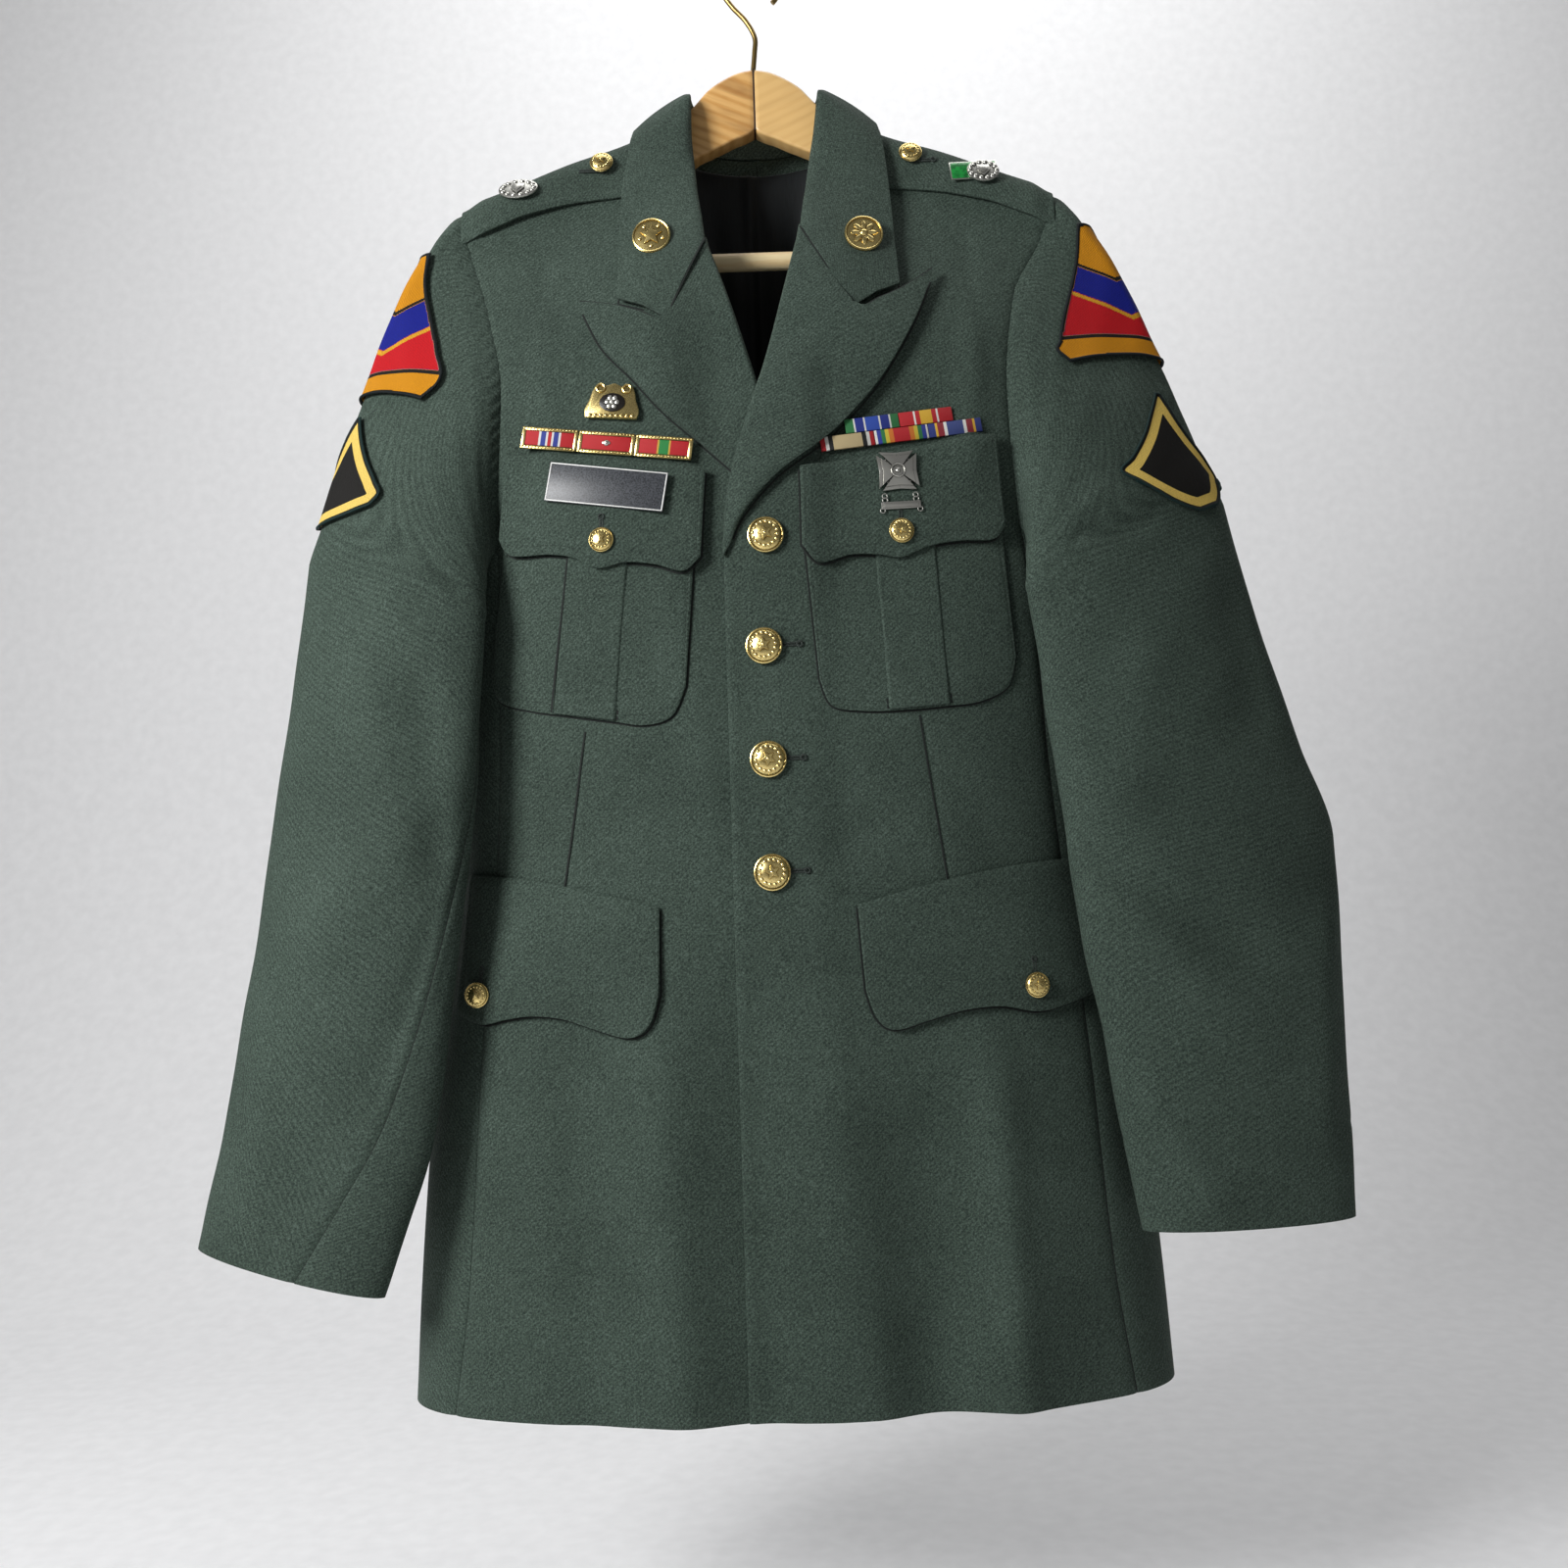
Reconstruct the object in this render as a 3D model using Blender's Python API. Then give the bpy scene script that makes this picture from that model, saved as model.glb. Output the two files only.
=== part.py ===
"""Four-button military dress tunic hanging on a contoured wooden suit hanger.

Metres, +Z up. The origin is the inside top of the hook's loop, the point that rests on a rail.
The tunic faces -Y and +X is the wearer's left, so its left front (at +X) laps over the right one.
Left and right in the names are the wearer's.

The body is one surface: a stack of superellipse rings that narrows, over the chest and the
shoulder blades, to the crest of the shoulders, where the cloth hangs over the hanger. Every
panel, pocket, flap and badge takes its place from that surface.
"""

import math
from typing import Callable, NamedTuple, Sequence

import bmesh
import bpy
from mathutils import Matrix, Vector

# ---------------------------------------------------------------- driving dimensions

HEM_Z = -0.967
UNDERARM_Z = -0.430
UNDERARM_DIP = 0.017
NECK_X = 0.060
SHOULDER_X = 0.201
RING_POWER = 2.35

CLOTH = 0.0016
COLLAR_CLOTH = 0.0014
LINING_CLOTH = 0.0010
SEAM = 0.0004
CREST_SEAM = 0.0010
STEP = 0.0005

CREST_HEIGHT = 0.014
CREST_FRONT = 0.011
HANG_POWER = 1.4

FRONT_BUTTON = 0.0229
SMALL_BUTTON = 0.0159
COLLAR_DISC = 0.0254
NAMEPLATE = (0.0762, 0.0254)
AWARD = (0.0365, 0.0143)
RIBBON = (0.0349, 0.0095)

HOOK_WIRE = 0.00175
HOOK_RADIUS = 0.0210
HANGER_TIP_X = 0.1975
HANGER_CLEARANCE = 0.0044
DOWEL_RADIUS = 0.0060
DOWEL_Z = -0.2270
DOWEL_END = 0.1860


class Ring(NamedTuple):
    """One level of the body: half its width, and the y of its middle, front and back."""

    z: float
    half_width: float
    middle: float
    front: float
    back: float


BODY = (
    Ring(-0.090, 0.262, -0.008, -0.046, 0.036),
    Ring(-0.190, 0.250, -0.008, -0.058, 0.046),
    Ring(-0.300, 0.236, -0.008, -0.072, 0.054),
    Ring(-0.380, 0.226, -0.008, -0.080, 0.056),
    Ring(-0.447, 0.216, -0.006, -0.084, 0.055),
    Ring(-0.540, 0.208, -0.005, -0.086, 0.050),
    Ring(-0.620, 0.204, -0.004, -0.084, 0.046),
    Ring(-0.700, 0.214, -0.004, -0.086, 0.050),
    Ring(-0.800, 0.230, -0.005, -0.088, 0.054),
    Ring(-0.900, 0.239, -0.005, -0.088, 0.056),
    Ring(-0.967, 0.243, -0.005, -0.086, 0.057),
)

# The crest of the shoulders: (|x|, z), then how far below it the chest is full: (|x|, drop).
CREST = ((0.0, -0.104), (0.030, -0.108), (0.060, -0.124), (0.083, -0.139),
         (0.127, -0.156), (0.172, -0.177), (0.201, -0.190), (0.262, -0.222))
REACH = ((0.0, 0.190), (0.100, 0.185), (0.201, 0.150), (0.262, 0.140))
BACK_CREST = ((0.0, 0.032), (0.040, 0.030), (0.060, 0.022), (0.090, 0.011), (0.262, 0.011))

# Edges of the panels: (z, |x|). The armholes run into the side seams at the underarm.
LEFT_ARM_EDGE = ((-0.190, 0.201), (-0.226, 0.188), (-0.268, 0.167), (-0.340, 0.157),
                 (-0.417, 0.160), (-0.470, 0.167), (-0.561, 0.172), (-0.638, 0.179),
                 (-0.732, 0.188), (-0.889, 0.198), (-0.967, 0.209))
RIGHT_ARM_EDGE = ((-0.190, 0.201), (-0.223, 0.193), (-0.269, 0.180), (-0.327, 0.170),
                  (-0.379, 0.172), (-0.430, 0.173), (-0.561, 0.175), (-0.638, 0.180),
                  (-0.732, 0.188), (-0.889, 0.198), (-0.967, 0.209))
BACK_ARM_EDGE = ((-0.190, 0.201), (-0.230, 0.192), (-0.272, 0.183), (-0.330, 0.177),
                 (-0.380, 0.175), (-0.430, 0.174), (-0.470, 0.170), (-0.560, 0.160),
                 (-0.620, 0.156), (-0.700, 0.160), (-0.967, 0.184))
# The V of each front, down to the straight front edge: (z, x towards that front's own side).
LEFT_V = ((-0.124, 0.060), (-0.150, 0.051), (-0.180, 0.043), (-0.216, 0.034), (-0.230, 0.026),
          (-0.274, 0.016), (-0.325, 0.003), (-0.343, -0.003), (-0.386, -0.016),
          (-0.430, -0.025), (-0.455, -0.028), (-0.967, -0.028))
RIGHT_V = ((-0.124, 0.060), (-0.150, 0.052), (-0.180, 0.045), (-0.216, 0.038), (-0.252, 0.028),
           (-0.303, 0.016), (-0.343, 0.003), (-0.386, -0.008), (-0.430, -0.017),
           (-0.455, -0.020), (-0.967, -0.020))
# How far the left front stands off the right one it covers: (z, lift).
OVERLAP = ((-0.300, 0.0), (-0.345, 0.0048), (-0.455, 0.0048), (-0.490, 0.0026), (-0.967, 0.0026))
CHEST_ROWS = 8
SKIRT_ROWS = 11
# The bands that long panels are made in: name, first and last row.
FRONT_BANDS = (("upper", 0, 12), ("waist", 12, 17), ("skirt", 17, 23))
BACK_BANDS = (("upper", 0, 12), ("lower", 12, 23))
BAND_GAP = 0.0005
OVERLAP_FULL_X = 0.021
OVERLAP_NONE_X = 0.046
FRONT_EDGE_X = -0.028

Point2 = tuple[float, float]
Band = tuple[str, int, int]


# ---------------------------------------------------------------- curves and surfaces

def smooth(table: Sequence[tuple], at: float, column: int = 1) -> float:
    """Read a table as a smooth curve that never overshoots between its rows."""
    rows = table if table[0][0] < table[-1][0] else table[::-1]
    if at <= rows[0][0]:
        return rows[0][column]
    if at >= rows[-1][0]:
        return rows[-1][column]
    index = max(i for i in range(len(rows) - 1) if rows[i][0] <= at)

    def slope(i: int) -> float:
        def chord(j: int) -> float:
            return (rows[j + 1][column] - rows[j][column]) / (rows[j + 1][0] - rows[j][0])
        if i == 0:
            return chord(0)
        if i == len(rows) - 1:
            return chord(i - 1)
        before, after = chord(i - 1), chord(i)
        return 0.0 if before * after <= 0 else 2 * before * after / (before + after)

    width = rows[index + 1][0] - rows[index][0]
    u = (at - rows[index][0]) / width
    return ((2 * u**3 - 3 * u**2 + 1) * rows[index][column]
            + (u**3 - 2 * u**2 + u) * width * slope(index)
            + (3 * u**2 - 2 * u**3) * rows[index + 1][column]
            + (u**3 - u**2) * width * slope(index + 1))


def along(points: Sequence[Point2], share: float) -> Vector:
    """The point a share of the way along a smooth curve through hand-placed points."""
    place = share * (len(points) - 1)
    index = min(int(place), len(points) - 2)
    u = place - index
    before = Vector(points[max(index - 1, 0)])
    start, end = Vector(points[index]), Vector(points[index + 1])
    after = Vector(points[min(index + 2, len(points) - 1)])
    return (start * (1 - 2.5 * u**2 + 1.5 * u**3) + end * (0.5 * u + 2 * u**2 - 1.5 * u**3)
            + before * (-0.5 * u + u**2 - 0.5 * u**3) + after * (0.5 * u**3 - 0.5 * u**2))


def ease(value: float) -> float:
    """0 below 0, 1 above 1, smooth between."""
    value = min(max(value, 0.0), 1.0)
    return value * value * (3 - 2 * value)


def crest_z(x: float) -> float:
    """Height of the shoulders' crest."""
    return smooth(CREST, abs(x))


def crest_y(x: float) -> float:
    """The crest bends forward towards the arms, like the hanger in it."""
    return -0.004 - 0.016 * (min(abs(x), 0.230) / 0.200) ** 2


def drape(x: float, z: float) -> float:
    """How far the skirt's soft waves push the front out."""
    strength = ease((-0.70 - z) / 0.26)
    hollow = -0.008 * math.exp(-((x - 0.087) / 0.026) ** 2)
    swell = 0.004 * math.exp(-((x - 0.140) / 0.028) ** 2)
    right_swell = 0.004 * math.exp(-((x + 0.090) / 0.045) ** 2)
    return strength * (hollow + swell + right_swell)


def ring_y(x: float, z: float, side: int) -> float:
    """The full body at one height: side -1 is its front, +1 its back."""
    half, middle = smooth(BODY, z, 1), smooth(BODY, z, 2)
    depth = smooth(BODY, z, 3 if side < 0 else 4) - middle
    fullness = max(0.0, 1 - min(abs(x) / half, 1.0) ** RING_POWER) ** (1 / RING_POWER)
    wave = drape(x, z) if side < 0 else 0.0
    return middle + depth * fullness - wave


def body_y(x: float, z: float, side: int) -> float:
    """The outer face of the tunic's body, from the crest of the shoulders to the hem."""
    drop = max(0.0, crest_z(x) - z)
    crest = CREST_FRONT if side < 0 else smooth(BACK_CREST, abs(x))
    full = (ring_y(x, z, side) - crest_y(x)) * side
    rounding = math.sqrt(1 - (1 - min(drop / CREST_HEIGHT, 1.0)) ** 2)
    hang = math.sin(math.pi / 2 * min(drop / smooth(REACH, abs(x)), 1.0)) ** HANG_POWER
    return crest_y(x) + side * (CREST_SEAM * (1 - hang) + crest * rounding + (full - crest) * hang)


def outward(x: float, z: float, side: int) -> Vector:
    """The body's outward normal."""
    step = 0.001
    by_x = (body_y(x + step, z, side) - body_y(x - step, z, side)) / (2 * step)
    by_z = (body_y(x, z + step, side) - body_y(x, z - step, side)) / (2 * step)
    return (Vector((by_x, -1, by_z)) * -side).normalized()


def on_body(x: float, z: float, lift: float = 0.0, side: int = -1) -> Vector:
    """A point that stands off the body by a lift."""
    point = Vector((x, body_y(x, z, side), z))
    return point + outward(x, z, side) * lift if lift else point


def overlap_lift(x: float, z: float) -> float:
    """How far the left front is lifted by the right front and lapel under it."""
    fade = 1 - ease((x - OVERLAP_FULL_X) / (OVERLAP_NONE_X - OVERLAP_FULL_X))
    return smooth(OVERLAP, z) * fade


def on_front(x: float, z: float, lift: float) -> Vector:
    """A point that stands off whichever front is on top."""
    return on_body(x, z, lift + (overlap_lift(x, z) if x >= FRONT_EDGE_X else 0.0))


def on_ring(z: float, angle: float, sign: int) -> Vector:
    """A point of the body by its angle round the ring: 0 the front middle, pi the back."""
    half, middle = smooth(BODY, z, 1), smooth(BODY, z, 2)
    side = -1 if angle < math.pi / 2 else 1
    depth = abs(smooth(BODY, z, 3 if side < 0 else 4) - middle)
    x = half * abs(math.sin(angle)) ** (2 / RING_POWER)
    y = middle + side * depth * abs(math.cos(angle)) ** (2 / RING_POWER)
    if side < 0:
        y -= drape(sign * x, z)
    return Vector((sign * x, y, z))


def ring_angle(x: float, z: float) -> float:
    """The angle, from the nearer middle, at which the ring reaches a distance x."""
    return math.asin(min(1.0, (abs(x) / smooth(BODY, z, 1)) ** (RING_POWER / 2)))


# ---------------------------------------------------------------- materials

def material(name: str, colour: tuple[float, float, float], roughness: float,
             metallic: float = 0.0) -> bpy.types.Material:
    """A plain Principled material."""
    made = bpy.data.materials.new(name)
    made.use_nodes = True
    shader = made.node_tree.nodes["Principled BSDF"]
    shader.inputs["Base Color"].default_value = (*colour, 1.0)
    shader.inputs["Roughness"].default_value = roughness
    shader.inputs["Metallic"].default_value = metallic
    made.diffuse_color = (*colour, 1.0)
    return made


FINISHES = {
    "wool": ((0.036, 0.052, 0.043), 0.90, 0.0),
    "satin": ((0.010, 0.016, 0.015), 0.45, 0.0),
    "brass": ((0.83, 0.62, 0.23), 0.25, 1.0),
    "silver": ((0.62, 0.62, 0.60), 0.35, 1.0),
    "plate": ((0.030, 0.031, 0.034), 0.35, 0.0),
    "ribbon": ((0.45, 0.02, 0.02), 0.80, 0.0),
    "enamel": ((0.02, 0.20, 0.07), 0.20, 0.0),
    "patch": ((0.55, 0.30, 0.03), 0.85, 0.0),
    "maple": ((0.68, 0.42, 0.19), 0.45, 0.0),
    "dowel": ((0.76, 0.58, 0.38), 0.50, 0.0),
    "wire": ((0.42, 0.33, 0.20), 0.35, 1.0),
}


# ---------------------------------------------------------------- making solids

def add(name: str, mesh: bpy.types.Mesh, finish: str) -> bpy.types.Object:
    """Put a mesh in the scene as one named piece."""
    mesh.materials.append(bpy.data.materials[finish])
    piece = bpy.data.objects.new(name, mesh)
    bpy.context.scene.collection.objects.link(piece)
    return piece


def sheet(name: str, rows: Sequence[Sequence[Vector]], thickness: float, finish: str,
          facing: tuple[float, float, float]) -> bpy.types.Object:
    """A piece of cloth: a grid of points on its visible face, thickened behind it."""
    width = len(rows[0])
    corners = [(r * width + c, r * width + c + 1, (r + 1) * width + c + 1, (r + 1) * width + c)
               for r in range(len(rows) - 1) for c in range(width - 1)]
    mesh = bpy.data.meshes.new(name)
    mesh.from_pydata([tuple(point) for row in rows for point in row], [], corners)
    towards = sum((face.normal * face.area for face in mesh.polygons), Vector())
    if towards.dot(Vector(facing)) < 0:
        mesh.flip_normals()
    mesh.shade_smooth()
    piece = add(name, mesh, finish)
    thicken = piece.modifiers.new("Thickness", "SOLIDIFY")
    thicken.thickness = thickness
    thicken.offset = -1.0
    return piece


def banded(name: str, rows: Sequence[Sequence[Vector]], bands: Sequence[Band],
           facing: tuple[float, float, float]) -> None:
    """A long panel in shorter solids, so that each one's collision shape keeps to the cloth."""
    for band, first, last in bands:
        part = [list(row) for row in rows[first:last + 1]]
        if first > 0:
            part[0] = [a + (b - a).normalized() * BAND_GAP / 2 for a, b in zip(part[0], part[1])]
        if last < len(rows) - 1:
            part[-1] = [b + (a - b).normalized() * BAND_GAP / 2 for a, b in zip(part[-2], part[-1])]
        sheet(f"{name}_{band}", part, CLOTH, "wool", facing)


def turned(name: str, profile: Sequence[Point2], finish: str, place: Matrix,
           sides: int = 16) -> bpy.types.Object:
    """A round piece: (radius, height) from the middle of its face round to its back."""
    mesh = bpy.data.meshes.new(name)
    mesh.from_pydata([(radius, 0.0, height) for radius, height in profile],
                     [(i, i + 1) for i in range(len(profile) - 1)], [])
    piece = add(name, mesh, finish)
    spin = piece.modifiers.new("Turn", "SCREW")
    spin.steps = spin.render_steps = sides
    spin.use_merge_vertices = True
    spin.merge_threshold = 0.00001
    spin.use_smooth_shade = True
    piece.matrix_world = place
    return piece


def flat(name: str, outline: Sequence[Point2], thickness: float, finish: str,
         place: Matrix) -> bpy.types.Object:
    """A flat plate: its outline extruded along the place's own +Z."""
    shape = bmesh.new()
    base = shape.faces.new([shape.verts.new((x, y, 0.0)) for x, y in outline])
    base.normal_update()
    if base.normal.z > 0:
        base.normal_flip()
    raised = bmesh.ops.extrude_face_region(shape, geom=[base])["geom"]
    bmesh.ops.translate(shape, vec=(0, 0, thickness),
                        verts=[v for v in raised if isinstance(v, bmesh.types.BMVert)])
    bmesh.ops.recalc_face_normals(shape, faces=shape.faces)
    mesh = bpy.data.meshes.new(name)
    shape.to_mesh(mesh)
    shape.free()
    piece = add(name, mesh, finish)
    piece.matrix_world = place
    return piece


def rectangle(width: float, height: float) -> list[Point2]:
    """An outline centred on its middle."""
    return [(-width / 2, -height / 2), (width / 2, -height / 2),
            (width / 2, height / 2), (-width / 2, height / 2)]


def oval(width: float, height: float, sides: int = 14) -> list[Point2]:
    """An oval outline."""
    return [(width / 2 * math.cos(math.tau * i / sides), height / 2 * math.sin(math.tau * i / sides))
            for i in range(sides)]


def frame_at(point: Vector, normal: Vector, tilt: float = 0.0) -> Matrix:
    """A place with +Z along a normal and +X level, turned by a tilt about the normal."""
    across = Vector((0, 0, 1)).cross(normal).normalized()
    upright = normal.cross(across)
    turn = Matrix((across, upright, normal)).transposed().to_4x4()
    return Matrix.Translation(point) @ turn @ Matrix.Rotation(tilt, 4, "Z")


def place_on(x: float, z: float, lift: float, tilt: float = 0.0) -> Matrix:
    """A place on the tunic's front, standing off it by a lift."""
    return frame_at(on_front(x, z, lift), outward(x, z, -1), tilt)


# ---------------------------------------------------------------- body panels

def crest_shares() -> list[float]:
    """Shares of the way from crest to underarm: close over the rounded crest, wider below."""
    reach = -0.160 - UNDERARM_Z
    rounded = [CREST_HEIGHT * (1 - math.cos(math.radians(a))) / reach for a in (0, 25, 50, 70, 90)]
    below = [rounded[-1] + (1 - rounded[-1]) * (i / CHEST_ROWS) ** 1.1
             for i in range(1, CHEST_ROWS + 1)]
    return rounded + below


def skirt_levels() -> list[float]:
    """The heights of the rows from the underarm to the hem, shared by all panels."""
    return [UNDERARM_Z + (HEM_Z - UNDERARM_Z) * i / SKIRT_ROWS for i in range(1, SKIRT_ROWS + 1)]


def panel(top: Callable[[float], float], inner: Callable[[float], float],
          outer: Callable[[float], float], place: Callable[[float, float], Vector],
          columns: int) -> list[list[Vector]]:
    """A panel's grid between an inner and an outer edge, from its top line to the hem."""
    grid = []
    for share_down in crest_shares():
        row = []
        for column in range(columns + 1):
            x = (inner(UNDERARM_Z) + outer(UNDERARM_Z)) / 2
            for _ in range(12):
                z = top(x) + (UNDERARM_Z - top(x)) * share_down
                x = inner(z) + (outer(z) - inner(z)) * column / columns
            row.append(place(x, z))
        grid.append(row)
    for z in skirt_levels():
        width = outer(z) - inner(z)
        grid.append([place(inner(z) + width * c / columns, z) for c in range(columns + 1)])
    return grid


def fronts() -> None:
    """The two fronts, lapped at the middle; the left one is on top."""
    for name, sign, v_edge, arm_edge in (("front_left", 1, LEFT_V, LEFT_ARM_EDGE),
                                         ("front_right", -1, RIGHT_V, RIGHT_ARM_EDGE)):
        def place(x: float, z: float, sign: int = sign) -> Vector:
            lift = overlap_lift(x, z) if sign > 0 else 0.0
            return on_body(sign * x, z, lift)
        grid = panel(crest_z, lambda z: smooth(v_edge, z), lambda z: smooth(arm_edge, z) - SEAM,
                     place, columns=8)
        banded(name, grid, FRONT_BANDS, (0, -1, 0))


def sides() -> None:
    """The underarm panels, from the front seam round to the back seam."""
    for name, sign, arm_edge in (("side_left", 1, LEFT_ARM_EDGE), ("side_right", -1, RIGHT_ARM_EDGE)):
        columns = 7
        top = [underarm_point(sign, arm_edge, i / columns) for i in range(columns + 1)]
        rows = [[side_point(sign, arm_edge, z, i / columns) for i in range(columns + 1)]
                for z in skirt_levels()]
        sheet(name, [top, *rows], CLOTH, "wool", (sign, 0, 0))


def side_point(sign: int, arm_edge: Sequence[Point2], z: float, share: float) -> Vector:
    """A point of a side panel, a share of the way from its front seam to its back seam."""
    start = ring_angle(smooth(arm_edge, z) + SEAM, z)
    end = math.pi - ring_angle(smooth(BACK_ARM_EDGE, z) + SEAM, z)
    return on_ring(z, start + (end - start) * share, sign)


def underarm_point(sign: int, arm_edge: Sequence[Point2], share: float) -> Vector:
    """A point of the armhole's lower edge, which dips under the arm."""
    z = UNDERARM_Z - SEAM - UNDERARM_DIP * math.sin(math.pi * share)
    return side_point(sign, arm_edge, z, share)


def neckline_z(x: float) -> float:
    """Top line of the back: the back neck, then the crest."""
    if abs(x) >= NECK_X:
        return crest_z(x)
    return -0.124 - 0.008 * math.cos(math.pi / 2 * x / NECK_X)


def backs() -> None:
    """Two back panels with a seam down the middle that opens into the vent."""
    for name, sign in (("back_left", 1), ("back_right", -1)):
        grid = panel(neckline_z, lambda z: SEAM, lambda z: smooth(BACK_ARM_EDGE, z) - SEAM,
                     lambda x, z, sign=sign: on_body(sign * x, z, side=1), columns=7)
        banded(name, grid, BACK_BANDS, (0, 1, 0))


def lining() -> None:
    """The satin lining of the back, inside the neck."""
    half, top, bottom = 0.078, -0.026, -0.420
    inside = -(CLOTH + LINING_CLOTH + 4 * STEP)
    grid = []
    for row in range(9):
        points = []
        for column in range(9):
            x = half * (column / 4 - 1)
            start = neckline_z(x) + top
            points.append(on_body(x, start + (bottom - start) * row / 8, inside, side=1))
        grid.append(points)
    sheet("lining_back", grid, LINING_CLOTH, "satin", (0, -1, 0))


# ---------------------------------------------------------------- lapels and collar

class Lapel(NamedTuple):
    """A lapel: its outline from the break to the tip, and its top edge from roll to tip."""

    name: str
    sign: int
    roll: tuple[Point2, ...]
    outline: tuple[Point2, ...]
    top: tuple[Point2, ...]


LAPELS = (
    Lapel("lapel_left", 1,
          roll=((-0.0275, -0.4460), (-0.025, -0.430), (-0.016, -0.386), (-0.003, -0.343),
                (0.003, -0.325), (0.016, -0.274), (0.0280, -0.2245)),
          outline=((-0.0225, -0.4385), (-0.014, -0.422), (0.006, -0.399), (0.032, -0.379),
                   (0.057, -0.355), (0.077, -0.330), (0.098, -0.293), (0.113, -0.2550)),
          top=((0.0280, -0.2245), (0.0425, -0.2555), (0.0585, -0.2860), (0.0765, -0.2790),
               (0.0930, -0.2700), (0.113, -0.2550))),
    Lapel("lapel_right", -1,
          roll=((-0.0195, -0.4460), (-0.016, -0.430), (-0.007, -0.386), (0.004, -0.343),
                (0.0085, -0.325), (0.024, -0.268), (0.0350, -0.2315)),
          outline=((-0.0135, -0.4350), (-0.004, -0.419), (0.018, -0.394), (0.041, -0.372),
                   (0.064, -0.350), (0.083, -0.327), (0.103, -0.303), (0.117, -0.272)),
          top=((0.0350, -0.2315), (0.047, -0.2605), (0.0605, -0.2892), (0.0765, -0.2838),
               (0.094, -0.2772), (0.117, -0.272))),
)
LAPEL_LIFT = 0.0024
LAPEL_OPEN_LIFT = 0.0042
# The right lapel lies flat where the left front presses on it: |x| of none and all of its lift.
PRESSED_X = 0.024
OPEN_X = 0.070


def lapel_point(lapel: Lapel, up: float, across: float) -> Vector:
    """A point of a lapel: 0 to 1 from break to gorge, and from roll to outer edge."""
    start, end = along(lapel.roll, up), along(lapel.outline, up)
    chord = lambda share: Vector(lapel.top[0]).lerp(Vector(lapel.top[-1]), share)
    sag = along(lapel.top, across) - chord(across)
    x, z = start.lerp(end, across) + sag * up * up
    opening = LAPEL_OPEN_LIFT * ease(up / 0.4) * (0.35 + 0.65 * across)
    if lapel.sign > 0:
        return on_front(x, z, LAPEL_LIFT + opening)
    opening *= ease((x - PRESSED_X) / (OPEN_X - PRESSED_X))
    return on_body(-x, z, LAPEL_LIFT + opening)


def lapels() -> None:
    """The two lapels, turned back over the fronts."""
    for lapel in LAPELS:
        grid = [[lapel_point(lapel, up / 13, across / 7) for across in range(8)]
                for up in range(14)]
        sheet(lapel.name, grid, CLOTH, "wool", (0, -1, 0))


class Fold(NamedTuple):
    """One station of the collar: the seam, the fold and the outer edge, each (x, y, z)."""

    seam: tuple[float, float, float]
    fold: tuple[float, float, float]
    edge: tuple[float, float, float]


# From the back neck round the side of the neck; the front of the collar follows the body.
NECK_FOLDS = (
    Fold((0.0, 0.0272, -0.1312), (0.0, 0.0315, -0.0965), (0.0, 0.0385, -0.1530)),
    Fold((0.022, 0.0262, -0.1302), (0.020, 0.0302, -0.0968), (0.027, 0.0372, -0.1525)),
    Fold((0.041, 0.0212, -0.1272), (0.035, 0.0225, -0.0985), (0.053, 0.0310, -0.1500)),
    Fold((0.053, 0.0100, -0.1206), (0.0425, 0.0100, -0.1005), (0.073, 0.0180, -0.1380)),
    Fold((0.0570, -0.0040, -0.1180), (0.0445, -0.0050, -0.1010), (0.0815, -0.0070, -0.1265)),
    Fold((0.0567, -0.0120, -0.1215), (0.0440, -0.0130, -0.1055), (0.0845, -0.0215, -0.1385)),
    Fold((0.0555, -0.0185, -0.1270), (0.0430, -0.0205, -0.1120), (0.0865, -0.0290, -0.1560)),
)


class FrontFold(NamedTuple):
    """A station of the collar's front: (x, z) of its fold and outer edge, and its lift."""

    fold: Point2
    edge: Point2
    lift: float


LEFT_FOLDS = (
    FrontFold((0.0395, -0.143), (0.0875, -0.193), 0.0100),
    FrontFold((0.0360, -0.165), (0.0885, -0.230), 0.0070),
    FrontFold((0.0330, -0.187), (0.0900, -0.2665), 0.0058),
    FrontFold((0.0300, -0.205), (0.0740, -0.2730), 0.0054),
    FrontFold((0.0268, -0.2195), (0.0570, -0.2800), 0.0050),
)
RIGHT_FOLDS = (
    FrontFold((0.0430, -0.143), (0.0895, -0.185), 0.0100),
    FrontFold((0.0415, -0.165), (0.0910, -0.226), 0.0070),
    FrontFold((0.0395, -0.190), (0.0915, -0.2710), 0.0058),
    FrontFold((0.0370, -0.209), (0.0750, -0.2775), 0.0054),
    FrontFold((0.0340, -0.2265), (0.0590, -0.2832), 0.0050),
)
FOLD_HALF = 0.0026
FOLD_DEPTH = 0.0030
FALL_SWELL = 0.0012
# How far the stand reaches back from the fold on the chest, and how it clears the front.
STAND_REACH = (0.0100, 0.0060, 0.0024)
STAND_LIFT = 0.0006


def neck_section(station: Fold, sign: int) -> list[Vector]:
    """A section round the neck: up the stand, over the fold, down the fall."""
    seam, fold, edge = (Vector((sign * x, y, z)) for x, y, z in station)
    to_seam, to_edge = (seam - fold).normalized(), (edge - fold).normalized()
    down = (to_seam + to_edge).normalized() * FOLD_DEPTH
    apart = (to_edge - to_seam).normalized()
    inner, outer = fold + down - apart * FOLD_HALF, fold + down + apart * FOLD_HALF
    fall = [outer.lerp(edge, share) + apart * FALL_SWELL * math.sin(math.pi * share)
            for share in (0.33, 0.67, 1.0)]
    return [seam, seam.lerp(inner, 0.5), inner, fold, outer, *fall]


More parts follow.
